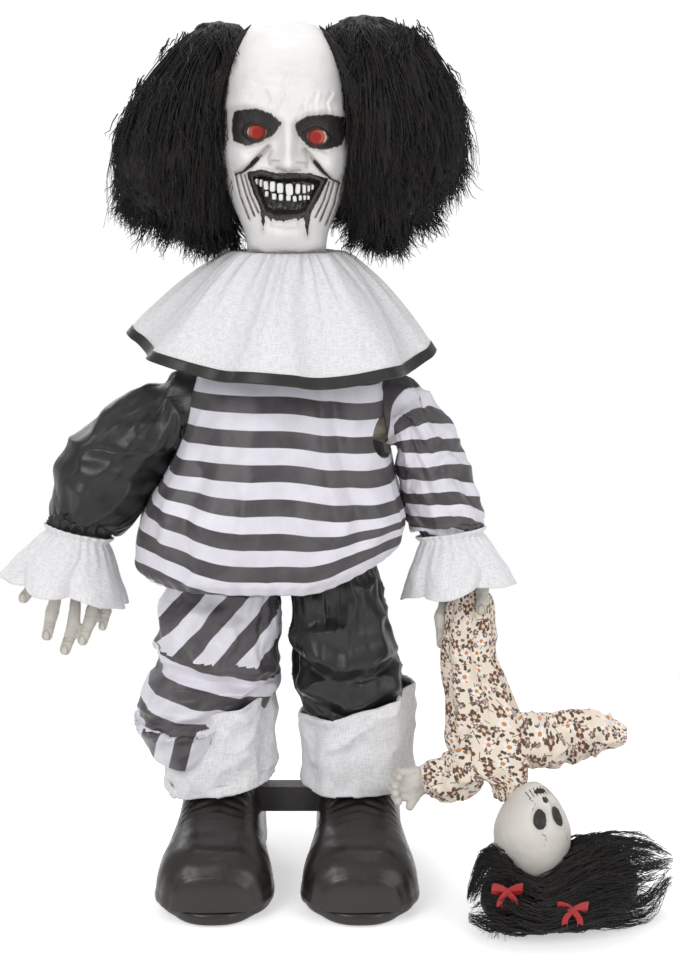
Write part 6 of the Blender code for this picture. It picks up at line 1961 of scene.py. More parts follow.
def nearest(points: Array, places: Sequence, stretch: Point = (1.0, 1.0, 1.0)) -> Array:
    """How far each point lies from the nearest of some places, with the space stretched."""
    return np.min([np.linalg.norm((points - place) * stretch, axis=1) for place in places], axis=0)


@dataclass
class Hand:
    """A gaunt moulded hand: bony knuckles, hollows between the bones and long nails."""

    side: Side
    vinyl: Finish
    wrist: Point
    palm: Point
    palm_size: Point
    fingers: Sequence[Sequence[Point]]
    root: float = 0.0074
    tip: float = 0.0064
    knuckle: float = 0.0082
    little_share: float = 0.8
    last_joint: float = 0.52

    def build(self) -> None:
        """Builds the hand on its arm."""
        parts = [ball("palm_ball", self.palm, 32, 20, scale=self.palm_size)]
        forearm = (self.wrist, self.blend(self.wrist, self.palm, 0.6))
        parts += capsule_chain(forearm, (0.0145, 0.013))
        for number, points in enumerate(self.fingers):
            share = self.little_share if number == 4 else 1.0
            start, middle, end = points
            chain = (
                self.blend(self.palm, start, 0.35), start, self.blend(start, middle, 0.5), middle,
                self.blend(middle, end, self.last_joint), end,
            )
            sizes = (self.root, self.knuckle, self.root * 0.84, self.root * 1.02, self.tip, self.tip * 0.92)
            parts += capsule_chain(chain, [size * share for size in sizes])
        obj = grown_together(f"{self.side}_hand_skin", parts, 0.0011, 4)
        points = own_points(obj)
        joints, beds, tendons = [], [], []
        for start, middle, end in self.fingers:
            joints += [middle, self.blend(middle, end, self.last_joint)]
            beds.append(np.asarray(end) + (0.0, -self.tip, 0.0))
            tendons += [self.blend(self.wrist, start, share) for share in np.linspace(0.0, 1.0, 9)]
        near = nearest(points, joints)
        nail = nearest(points, beds, (1.5, 1.0, 0.8))
        ridge = nearest(points, tendons)
        wrinkle = np.abs(np.sin(points[:, 2] * 2300.0 + 3.0 * grain(points, 0.01, 14)))
        lines = ramp(0.0085, 0.005, near) * wrinkle
        hollow = ramp(0.0085, 0.015, ridge) * ramp(0.034, 0.022, nearest(points, [self.palm]))
        rim = mound(nail, 0.0056, 0.0009)
        plate = ramp(0.0056, 0.0046, nail)
        out = -0.00035 * lines - 0.0016 * hollow + 0.00045 * grain(points, 0.006, 16, 2)
        out = out * (1.0 - plate) - 0.0004 * rim + 0.0003 * plate
        place_points(obj, coordinates(obj) + normals(obj) * out[:, None])
        stain = 0.25 * ramp(0.2, 0.6, grain(points, 0.012, 18))
        # Darker in the knuckle wrinkles, the hollows between the bones and round the nails, which is
        # painted shade, over random stains.
        store(obj, "wash_and_shade", np.maximum(0.6 * lines + 0.8 * hollow + stain, 0.85 * rim))
        store(obj, "gloss", 0.5 * plate)
        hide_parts(f"{self.side}_hand")
        dress(obj, self.vinyl, "hand_vinyl", f"{self.side}_arm")

    @staticmethod
    def blend(first: Point, last: Point, share: float) -> Array:
        """The point a share of the way from one point to another."""
        return np.asarray(first) + (np.asarray(last) - np.asarray(first)) * share


@dataclass
class Boot:
    """A bulbous moulded boot upper with creases over its instep."""

    side: Side
    plastic: Finish
    spread: float = 0.0745
    floor: float = 0.0143
    welt: float = 0.003
    heel_reach: float = 0.06
    toe_reach: float = 0.158
    opening: Spot = (0.006, 0.033)
    slot: Point = (0.0106, 0.059, 0.087)
    rows: Sequence[Row] = (
        (-0.06, 0.0225, 0.059), (-0.053, 0.0369, 0.092), (-0.038, 0.0441, 0.117),
        (0.008, 0.0459, 0.1178), (0.04, 0.0482, 0.1015), (0.08, 0.0558, 0.0821),
        (0.108, 0.06, 0.076), (0.136, 0.0558, 0.0669), (0.15, 0.044, 0.053),
        (0.156, 0.03, 0.04), (0.158, 0.013, 0.025),
    )

    def lay(self, u: Array, v: Array) -> Array:
        """Lays the upper as arches from the heel to the toe."""
        close = closed_ends(v)
        travel = np.clip((v - 0.03) / 0.94, 0.0, 1.0)
        eased_travel = travel + 0.1 * np.sin(math.tau * travel) / (math.tau)
        y = self.heel_reach - (self.heel_reach + self.toe_reach) * eased_travel
        wide, tall = read_rows(self.rows, -y)
        angle = math.pi * u
        cosine = np.sign(np.cos(angle)) * np.abs(np.cos(angle)) ** 0.72
        x = wide * cosine * close
        rise = (tall - self.floor) * np.sin(angle) ** 0.8
        height = self.floor + rise * close
        across = np.abs(cosine)
        instep = mound(y, -0.036, 0.03) * np.sin(angle)
        crease = np.sin((y + 0.01 * across + 0.002 * np.sin(across * 5)) * 620.0)
        height = height - 0.002 * instep * np.maximum(crease, -0.4) * close
        welt = mound(height, self.floor + 0.004, 0.004) * close
        x = x * (1 + 0.018 * welt)
        seam = np.exp(-(((y + 0.066 - 0.018 * (1 - across**2)) / 0.0016) ** 2))
        height = height - 0.0011 * seam * np.sin(angle) * close
        lump = 0.0006 * grain(np.column_stack([x, y, height]), 0.022, 25, 2)
        return np.column_stack([x + self.side.sign * self.spread, y, height + lump * close])

    def build(self) -> None:
        """Builds the upper, open at the ankle and slotted for the cross bar."""
        obj = tube_cloth(f"{self.side}_boot_upper", 110, 170, self.lay)
        pick(obj)
        bpy.ops.object.mode_set(mode="EDIT")
        bpy.ops.mesh.select_all(action="DESELECT")
        bpy.ops.mesh.select_non_manifold()
        bpy.ops.mesh.edge_face_add()
        bpy.ops.mesh.select_all(action="SELECT")
        bpy.ops.mesh.normals_make_consistent(inside=False)
        bpy.ops.object.mode_set(mode="OBJECT")
        back, radius = self.opening
        middle = world((self.side.sign * self.spread, back, 0.112))
        clear_selection()
        bpy.ops.mesh.primitive_cylinder_add(vertices=48, radius=radius, depth=0.05, location=middle)
        cut_away(obj, newest("ankle_cutter"))
        half, low, high = self.slot
        clear_selection()
        middle = world((self.side.sign * self.spread / 2, 0.0, (low + high) / 2))
        bpy.ops.mesh.primitive_cube_add(size=1.0, location=middle)
        cutter = newest("slot_cutter")
        cutter.scale = (self.spread, 2 * half, high - low)
        cut_away(obj, cutter)
        smooth(obj, 40.0)
        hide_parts(f"{self.side}_boot")
        dress(obj, self.plastic, "boot_plastic", "base")
        self.build_sole()

    def build_sole(self) -> None:
        """The thick moulded sole, rounded along its rims, that stands out round the upper."""

        def lay(u: Array, v: Array) -> Array:
            """Lays the sole from the middle of its tread, round its rim, to its top's middle."""
            out, up = read_rows((
                (0.0, 0.0, 0.0), (0.3, 0.9, 0.0), (0.4, 0.985, 0.1), (0.5, 1.0, 0.5),
                (0.6, 0.985, 0.9), (0.7, 0.93, 1.0), (1.0, 0.0, 1.0),
            ), v)
            middle = (self.heel_reach - self.toe_reach) / 2
            half = (self.heel_reach + self.toe_reach) / 2 + self.welt
            cosine, sine = super_circle(math.tau * u, 2.5)
            y = middle + half * sine
            wide = read_rows(self.rows, -np.clip(y, -0.14, 0.045))[0]
            x = (wide + self.welt) * cosine
            return np.column_stack([
                self.side.sign * self.spread + x * out, middle + (y - middle) * out,
                0.0001 + (self.floor - 0.0006) * np.clip(up, 0.0, 1.0),
            ])

        sole = tube_cloth(f"{self.side}_boot_sole", 130, 50, lay)
        smooth(sole)
        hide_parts(f"{self.side}_sole")
        dress(sole, self.plastic, "boot_plastic", "base")


@dataclass
class Doll:
    """The cloth doll held upside down by its dress: print dress, painted head, long black hair."""

    cotton: Callable[[str, Spot], Finish]
    vinyl: Finish
    hand_vinyl: Finish
    fibre: Finish
    ribbon: Finish
    body_rows: Sequence[Row] = (
        (0.116, 0.2235, -0.1125, 0.0112, 0.0112), (0.134, 0.2235, -0.106, 0.0215, 0.0175),
        (0.144, 0.213, -0.101, 0.033, 0.023), (0.16, 0.2075, -0.093, 0.0395, 0.027),
        (0.18, 0.205, -0.085, 0.038, 0.027), (0.2, 0.2005, -0.077, 0.035, 0.025),
        (0.225, 0.1945, -0.068, 0.0305, 0.0225), (0.255, 0.188, -0.06, 0.026, 0.018),
        (0.278, 0.188, -0.055, 0.0255, 0.015), (0.298, 0.19, -0.049, 0.024, 0.011),
        (0.312, 0.19, -0.044, 0.019, 0.008), (0.32, 0.19, -0.042, 0.012, 0.006),
    )
    right_sleeve: Sequence[Row] = (
        (0.21, -0.096, 0.156, 0.01), (0.19, -0.1, 0.1489, 0.018),
        (0.178, -0.102, 0.14, 0.0225), (0.161, -0.104, 0.1349, 0.0235),
        (0.144, -0.105, 0.1355, 0.019), (0.137, -0.1055, 0.1345, 0.013),
    )
    left_sleeve: Sequence[Row] = (
        (0.215, -0.088, 0.17, 0.012), (0.245, -0.087, 0.1703, 0.025),
        (0.27, -0.086, 0.169, 0.0275), (0.2955, -0.085, 0.1745, 0.0255),
        (0.32, -0.085, 0.178, 0.0235), (0.34, -0.085, 0.1745, 0.019),
        (0.348, -0.085, 0.1735, 0.008),
    )
    hand_place: Point = (0.126, -0.105, 0.131)
    head_place: Point = (0.248, -0.13, 0.087)
    head_size: Point = (0.039, 0.04, 0.053)
    face_turn: float = 30.0
    face_rise: float = 42.0
    face_roll: float = 4.0
    ribbon_places: Sequence[Point] = ((0.216, -0.201, 0.059), (0.279, -0.205, 0.042))
    hair_rows: Sequence[Row] = (
        (0.184, -0.162, 0.012, 0.01, 0.036), (0.196, -0.158, 0.034, 0.001, 0.07),
        (0.212, -0.156, 0.048, 0.0005, 0.08), (0.232, -0.155, 0.054, 0.0005, 0.068),
        (0.252, -0.155, 0.056, 0.0005, 0.06), (0.28, -0.15, 0.06, 0.0005, 0.075),
        (0.312, -0.145, 0.055, 0.0005, 0.086), (0.345, -0.135, 0.045, 0.0005, 0.082),
        (0.372, -0.128, 0.026, 0.006, 0.074), (0.386, -0.125, 0.008, 0.03, 0.062),
    )

    def build_body(self) -> Piece:
        """The dress's body, gathered at the grip and at the neck."""
        folds = Folds(5, 0.0038, 0.04, 0.004, (1.0, 1.0, 2.6), 0.0003, 51)

        def lay(u: Array, v: Array) -> Array:
            """Lays the dress upside down, its hem in the hand."""
            close = closed_ends(v)
            rows, smooth_form, out_way = upright_form(self.body_rows, u, v, 2.1, close)
            out = folds.height(u, smooth_form) * np.minimum(rows[:, 4] / 0.022, 1.0) * close
            return smooth_form + out_way * out[:, None]

        obj = tube_cloth("doll_dress_body", 120, 130, lay)
        smooth(obj)
        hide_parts("doll_body")
        return dress(obj, self.cotton("printed dress", (0.19, 0.205)), "doll_print", "doll")

    def build_sleeve(self, name: str, rows: Sequence[Row], seed: int) -> Piece:
        """One stuffed sleeve of the dress.

        Args:
            name: The sleeve's side.
            rows: X, Y, Z and radius along it.
            seed: Picks its folds.

        Returns:
            The sleeve.
        """
        folds = Folds(4, 0.0016, 0.034, 0.0032, (0.7, 1.0, 1.0), 0.0002, seed)
        path = [row[:3] for row in rows]
        shares = np.linspace(0.0, 1.0, len(rows))

        def lay(u: Array, v: Array) -> Array:
            """Lays the sleeve round the doll's arm."""
            radius = eased(shares, [row[3] for row in rows], v)
            close = closed_ends(v)
            smooth_form, out_way = round_form(path, u, v, radius * close)
            out = folds.height(u, smooth_form) * close * np.minimum(radius / 0.018, 1.0)
            return smooth_form + out_way * out[:, None]

        obj = tube_cloth(f"doll_{name}_sleeve_cloth", 90, 90, lay)
        smooth(obj)
        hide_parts(f"doll_{name}_sleeve")
        length = float(np.linalg.norm(np.diff(np.asarray(path), axis=0), axis=1).sum())
        return dress(obj, self.cotton(f"printed {name} sleeve", (0.11, length)), "doll_print", "doll")

    def build_hand(self) -> Piece:
        """The doll's small moulded hand with its fingers curled."""
        x, y, z = self.hand_place
        size, tilt = (0.0165, 0.009, 0.0185), (0.0, 0.5, 0.0)
        parts = [ball("doll_palm", (x + 0.003, y, z), 24, 16, scale=size, rotation=tilt)]
        for number in range(4):
            up = z + 0.0125 - 0.0085 * number
            out = x - 0.015 - (0.003 if number in (1, 2) else 0.0)
            joints = [(x, y - 0.002, up), (out, y - 0.005, up), (out + 0.002, y - 0.0115, up - 0.002)]
            parts += capsule_chain(joints, (0.0056, 0.0052, 0.0046))
        thumb = [(x + 0.004, y - 0.003, z - 0.014), (x - 0.001, y - 0.01, z - 0.021)]
        parts += capsule_chain(thumb, (0.006, 0.0046))
        obj = grown_together("doll_hand_skin", parts, 0.0009, 3)
        store(obj, "wash_and_shade", 0.35 * ramp(0.15, 0.6, grain(coordinates(obj), 0.008, 34)))
        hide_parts("doll_hand")
        return dress(obj, self.hand_vinyl, "hand_vinyl", "doll")

    def face_axes(self) -> Array:
        """The face's own sideways, upward and forward directions: the doll looks up and aside."""
        turn, rise, roll = map(math.radians, (self.face_turn, self.face_rise, self.face_roll))
        ahead = np.array((
            math.sin(turn) * math.cos(rise), -math.cos(turn) * math.cos(rise), math.sin(rise)
        ))
        aside = np.array((math.cos(turn), math.sin(turn), 0.0))
        above = np.cross(ahead, aside)
        above = above if above[2] < 0 else -above
        across = aside * math.cos(roll) + above * math.sin(roll)
        upward = above * math.cos(roll) - aside * math.sin(roll)
        return np.array((across, upward, ahead))

    def face_plane(self, local: Array) -> tuple[Array, Array]:
        """Where points of the round head lie on the face, and how far forward."""
        along = local @ self.face_axes().T
        return along[:, :2], along[:, 2]

    def face_relief(self, flat: Array, near: Array) -> Array:
        """How far the doll's face stands out: sockets, nose, cheeks, mouth and chin."""
        relief = -0.005 * blob(near, (0.3, 0.1), 0.2, 0.18)
        relief += 0.0045 * blob(flat, (0.0, -0.12), 0.11, 0.2)
        relief += 0.003 * blob(near, (0.46, -0.22), 0.2, 0.18)
        relief -= 0.0022 * blob(flat, (0.0, -0.5), 0.24, 0.06)
        relief += 0.003 * blob(flat, (0.0, -0.76), 0.24, 0.14)
        return relief

    def build_head(self) -> Piece:
        """The doll's upturned head with black painted sockets, nose and stitched mouth."""
        obj = ball("doll_head_skin", self.head_place, 160, 110, scale=self.head_size)
        bpy.ops.object.transform_apply(location=True, rotation=True, scale=True)
        points = coordinates(obj)
        local = (points - PLAN_SHIFT - self.head_place) / self.head_size
        flat, ahead = self.face_plane(local)
        front = ramp(0.1, 0.4, ahead)
        near = both_sides(flat)
        narrow = 1.0 - 0.2 * ramp(0.0, 1.0, local[:, 2])
        moved = points.copy()
        middle = np.asarray(self.head_place) + PLAN_SHIFT
        moved[:, 0] = middle[0] + (points[:, 0] - middle[0]) * narrow
        moved += (self.face_relief(flat, near) * front)[:, None] * self.face_axes()[2]
        moved += normals(obj) * (0.0004 * grain(points, 0.012, 44, 2))[:, None]
        place_points(obj, moved)
        rough = 0.05 * grain(points, 0.005, 45, 2)
        socket = np.hypot((near[:, 0] - 0.3) / 0.19, (near[:, 1] - 0.1) / 0.2)
        nose = np.hypot((near[:, 0] - 0.05) / 0.055, (near[:, 1] + 0.24) / 0.09) + rough
        lips = np.hypot(flat[:, 0] / 0.22, (flat[:, 1] + 0.5) / 0.08) + 2 * rough
        stitches = np.abs(np.sin(flat[:, 0] * 26.0)) ** 6 * ramp(0.16, 0.11, np.abs(flat[:, 1] + 0.5))
        cracks = (
            ((0.55, 0.55), (0.4, 0.4), (0.5, 0.28)),
            ((-0.3, 0.62), (-0.22, 0.45), (-0.34, 0.38)),
            ((-0.5, -0.1), (-0.38, -0.22), (-0.46, -0.38)),
        )
        paint = np.maximum.reduce([
            ramp(1.08, 0.92, socket + rough), ramp(1.1, 0.9, nose), 0.95 * ramp(1.08, 0.92, lips),
            0.8 * stitches * ramp(0.55, 0.42, near[:, 0]),
            *(0.6 * furrow(flat, line, 0.02) for line in cracks),
        ])
        store(obj, "paint", paint * front)
        # Darker round the sunken painted eye sockets, where shade falls: painted shade.
        store(obj, "wash_and_shade", 0.35 * ramp(1.7, 1.0, socket) * front)
        smooth(obj)
        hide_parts("doll_head")
        return dress(obj, self.vinyl, "doll_face", "doll")

    def build_hair(self) -> None:
        """The black hair: a cap on the head and long locks spread over the floor."""
        first, last = self.hair_rows[0][0], self.hair_rows[-1][0]

        def lay(u: Array, v: Array) -> Array:
            """Lays the dense hair under the locks."""
            x = first + 0.01 + (last - first - 0.04) * v
            middle, deep, low, high = read_rows(self.hair_rows, x)
            angle = math.tau * u
            close = closed_ends(v)
            ends = np.sqrt(np.clip(1.0 - np.abs(2.0 * v - 1.0) ** 5, 0.0, 1.0)) * close
            y = middle + deep * 0.8 * np.cos(angle) * ends
            half = (high - low) / 2
            z = low + half * 0.85 + half * 0.8 * np.sin(angle) * ends
            probe = np.column_stack([x * 0.25, y, z])
            groove = (creases(probe, 0.01, 61, 3) - 0.6) * 0.006 * close
            z = np.maximum(z + groove * np.sin(angle), 0.0006)
            return np.column_stack([x, y + groove * np.cos(angle), z])

        core = tube_cloth("doll_hair_core", 110, 90, lay)
        smooth(core)
        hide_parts("doll_hair")
        dress(core, self.fibre, "hair_fibre", "doll")
        random = np.random.default_rng(73)
        lines = []
        parting = 0.252
        for _ in range(190):
            left = random.uniform(0.0, 1.0) < 0.34
            angle = math.pi * (random.uniform(-0.35, 1.15) if left else random.uniform(0.0, 2.0))
            out = math.sqrt(random.uniform(0.6, 1.0))
            start = parting + random.uniform(-0.02, 0.03)
            end = first + random.uniform(0.0, 0.02) if left else last - random.uniform(-0.008, 0.075)
            phase = random.uniform(0.0, 50.0, 2)
            for _ in range(9):
                share = np.linspace(0.0, 1.0, 11)
                x = start + random.normal(0.0, 0.004) + (end + random.normal(0.0, 0.005) - start) * share
                middle, deep, low, high = read_rows(self.hair_rows, np.clip(x, first, last))
                own = angle + random.normal(0.0, 0.07)
                half = (high - low) / 2
                away = out * (1.0 + 0.1 * share**2)
                y = middle - deep * away * math.cos(own)
                line = np.column_stack([x, y, low + half + half * away * math.sin(own)])
                wave = np.array([
                    [noise.noise(Vector((float(s) * 4.0 + phase[0], axis * 7.3, phase[1])))
                     for axis in range(3)]
                    for s in share
                ])
                frizz = random.normal(0.0, 0.0013, line.shape)
                line = line + (0.01 * wave + frizz) * share[:, None]
                line[:, 2] = np.maximum(line[:, 2], 0.0009)
                line[:, 1] = np.maximum(line[:, 1], -0.22)
                line[:, 0] = np.clip(line[:, 0], first - 0.002, last + 0.006)
                lines.append(line + PLAN_SHIFT)
        locks = strands("doll_hair_locks", lines, 0.0006)
        dress(locks, self.fibre, "hair_fibre", "doll")

    def build_ribbons(self) -> None:
        """Two red ribbon bows: two loops, two tails and a knot each."""
        for number, place in enumerate(self.ribbon_places, 1):
            centre = np.asarray(place)
            parts = []
            for way in (-1.0, 1.0):

                def loop(u: Array, v: Array, way: float = way) -> Array:
                    """One loop of the bow."""
                    turn = math.tau * v
                    reach = 0.015 * (1 - np.cos(turn)) / 2
                    gape = 0.0045 * np.sin(turn)
                    width = (u - 0.5) * 0.011 * (0.35 + 0.65 * np.sin(turn / 2) ** 0.7)
                    return centre + np.column_stack([
                        way * reach, -0.001 - width * 0.35 - gape * 0.4, width + gape * 0.6 + 0.25 * reach
                    ])

                def tail(u: Array, v: Array, way: float = way) -> Array:
                    """One hanging end, notched at its tip."""
                    notch = 0.004 * (1 - 2 * np.abs(u - 0.5))
                    drop = (0.02 - notch) * v
                    width = (u - 0.5) * 0.007
                    return centre + np.column_stack([
                        way * (0.35 * drop + 0.003 * np.sin(3 * v)) + width * 0.8,
                        -0.0015 - 0.1 * drop, -drop * 0.8 + width * 0.3 * way])

                parts.append(laid_grid("bow_loop", 6, 26, loop))
                parts.append(laid_grid("bow_tail", 6, 12, tail))
            parts.append(ball("bow_knot", centre, 16, 10, scale=(0.003, 0.0028, 0.0036)))
            obj = joined(f"doll_bow_{number}", parts[::-1])
            give_wall(obj, 0.0005, 0.0)
            smooth(obj)
            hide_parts(f"doll_ribbon_{number}")
            dress(obj, self.ribbon, "ribbon_red", "doll")

    def build(self) -> None:
        """Builds every piece of the doll."""
        self.build_body()
        self.build_sleeve("right", self.right_sleeve, 53)
        self.build_sleeve("left", self.left_sleeve, 55)
        self.build_hand()
        self.build_head()
        self.build_hair()
        self.build_ribbons()


@dataclass
class Mechanism:
    """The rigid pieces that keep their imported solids: frame, drive, shells and controls."""

    steel: Finish
    boot: Finish

    def build(self) -> None:
        """Gives each kept solid its own finish."""
        black = Moulding("black gearbox plastic", (0.03, 0.03, 0.032), (0.075, 0.073, 0.07), 0.42)
        cream = Moulding("cream chest plastic", (0.8, 0.75, 0.62), (0.68, 0.62, 0.5), 0.4)
        case = Moulding("battery case plastic", (0.045, 0.045, 0.047), (0.1, 0.1, 0.1), 0.48)
        jacket = Moulding("cell jacket", (0.16, 0.17, 0.19), (0.3, 0.31, 0.33), 0.3, coat=0.4)
        board = Moulding("circuit board", (0.03, 0.14, 0.065), (0.1, 0.22, 0.12), 0.38, 0.0022, 0.0003)
        switch = Moulding("switch plastic", (0.6, 0.6, 0.58), (0.45, 0.45, 0.43), 0.35)
        button = Moulding("red button plastic", (0.46, 0.035, 0.03), (0.34, 0.05, 0.04), 0.3)
        kinds = {
            self.boot: ("foot_crossbar",),
            self.steel: (
                "right_ankle_pin", "left_ankle_pin", "right_hip_shaft", "left_hip_pin", "right_leg_strut",
                "left_leg_strut", "spine_tube", "neck_shaft", "sway_motor", "head_motor",
                "right_arm_tube", "left_arm_tube",
            ),
            black.make(): ("sway_gearbox", "head_gearbox", "pelvis_frame", "speaker"),
            cream.make(): (
                "torso_front_shell", "torso_rear_shell", "right_shoulder_hub", "left_shoulder_hub",
            ),
            case.make(): ("battery_box", "battery_door"),
            jacket.make(): ("battery_cell_1", "battery_cell_2", "battery_cell_3"),
            board.make(): ("control_board", "eye_light_board"),
            switch.make(): ("mode_switch",),
            button.make(): ("try_me_button",),
        }
        for material, nodes in kinds.items():
            for node in nodes:
                repaint(node, material)


@dataclass
class Stage:
    """The pale floor, the soft studio light and the camera of the product picture."""

    camera_place: Point = (0.054, -1.6, 0.75)
    pitch: float = 11.56
    lens: float = 58.18
    floor_colour: Colour = (0.86, 0.86, 0.86)
    floor_glow: float = 0.46
    fill_glow: float = 0.55
    white_from: Spot = (0.34, 0.85)

    def plain_floor(self) -> None:
        """A wide pale floor that shows white to the camera and keeps the figure's shadow."""
        clear_selection()
        bpy.ops.mesh.primitive_plane_add(size=60.0, location=(0.0, 0.0, -0.0006))
        floor = newest("studio_floor")
        shader = Shader("pale floor")
        shader.set(Base_Color=self.floor_colour, Roughness=0.9, Specular_IOR_Level=0.1)
        rays = shader.add("ShaderNodeLightPath")
        lit = shader.math("MAXIMUM", rays.outputs["Is Camera Ray"], rays.outputs["Is Glossy Ray"])
        glow = shader.add("ShaderNodeEmission", {"Color": WHITE, "Strength": self.floor_glow})
        plain = shader.add("ShaderNodeEmission", {"Color": WHITE, "Strength": 1.0})
        place = shader.where(Coordinates.OBJECT)
        away = shader.add("ShaderNodeVectorMath", {0: place}, operation="LENGTH").outputs["Value"]
        far = shader.spread(away, *self.white_from)
        surface = shader.surface.outputs["BSDF"]
        both = shader.add("ShaderNodeAddShader", {0: surface, 1: glow.outputs[0]})
        seen = shader.add("ShaderNodeMixShader", {0: far, 1: both.outputs[0], 2: plain.outputs[0]})
        blend = shader.add("ShaderNodeMixShader", {0: lit, 1: surface, 2: seen.outputs[0]})
        out = next(node for node in shader.nodes if node.type == "OUTPUT_MATERIAL")
        shader.links.new(blend.outputs[0], out.inputs["Surface"])
        floor.data.materials.append(shader.material)

    def white_world(self) -> None:
        """A dim even fill for the object, white where the camera or a mirror looks at it."""
        world = bpy.data.worlds.new("studio")
        bpy.context.scene.world = world
        world.use_nodes = True
        nodes = world.node_tree.nodes
        links = world.node_tree.links
        nodes.clear()
        out = nodes.new("ShaderNodeOutputWorld")
        rays = nodes.new("ShaderNodeLightPath")
        seen = nodes.new("ShaderNodeMath")
        seen.operation = "MAXIMUM"
        mix = nodes.new("ShaderNodeMixShader")
        for number, strength in enumerate((self.fill_glow, 1.0), 1):
            glow = nodes.new("ShaderNodeBackground")
            glow.inputs["Color"].default_value = WHITE
            glow.inputs["Strength"].default_value = strength
            links.new(glow.outputs[0], mix.inputs[number])
        links.new(rays.outputs["Is Camera Ray"], seen.inputs[0])
        links.new(rays.outputs["Is Transmission Ray"], seen.inputs[1])
        links.new(seen.outputs[0], mix.inputs[0])
        links.new(mix.outputs[0], out.inputs["Surface"])

    def lamp(self, name: str, place: Point, size: float, power: float) -> None:
        """A square soft lamp aimed at the figure's middle."""
        light = bpy.data.lights.new(name, "AREA")
        light.energy = power
        light.size = size
        obj = bpy.data.objects.new(name, light)
        bpy.context.scene.collection.objects.link(obj)
        obj.location = place
        aim = Vector((0.0, 0.0, 0.45)) - Vector(place)
        obj.rotation_euler = aim.to_track_quat("-Z", "Y").to_euler()

    def camera(self) -> None:
        """The camera where the photograph was taken from."""
        data = bpy.data.cameras.new("camera")
        data.sensor_fit = "AUTO"
        data.sensor_width = 36.0
        data.lens = self.lens
        obj = bpy.data.objects.new("camera", data)
        bpy.context.scene.collection.objects.link(obj)
        obj.location = Vector(self.camera_place) + Vector(PLAN_SHIFT)
        obj.rotation_euler = (math.radians(90.0 - self.pitch), 0.0, 0.0)
        bpy.context.scene.camera = obj

    def build(self) -> None:
        """Sets the stage."""
        self.plain_floor()
        self.white_world()
        self.lamp("key", (-1.3, -2.0, 1.9), 1.3, 26.0)
        self.lamp("fill", (1.7, -1.7, 1.2), 1.6, 15.0)
        self.lamp("top", (0.1, 0.5, 2.6), 1.6, 16.0)
        self.lamp("back", (-0.9, 2.0, 1.5), 1.6, 14.0)
        self.camera()
        bpy.context.scene.view_settings.view_transform = "Standard"


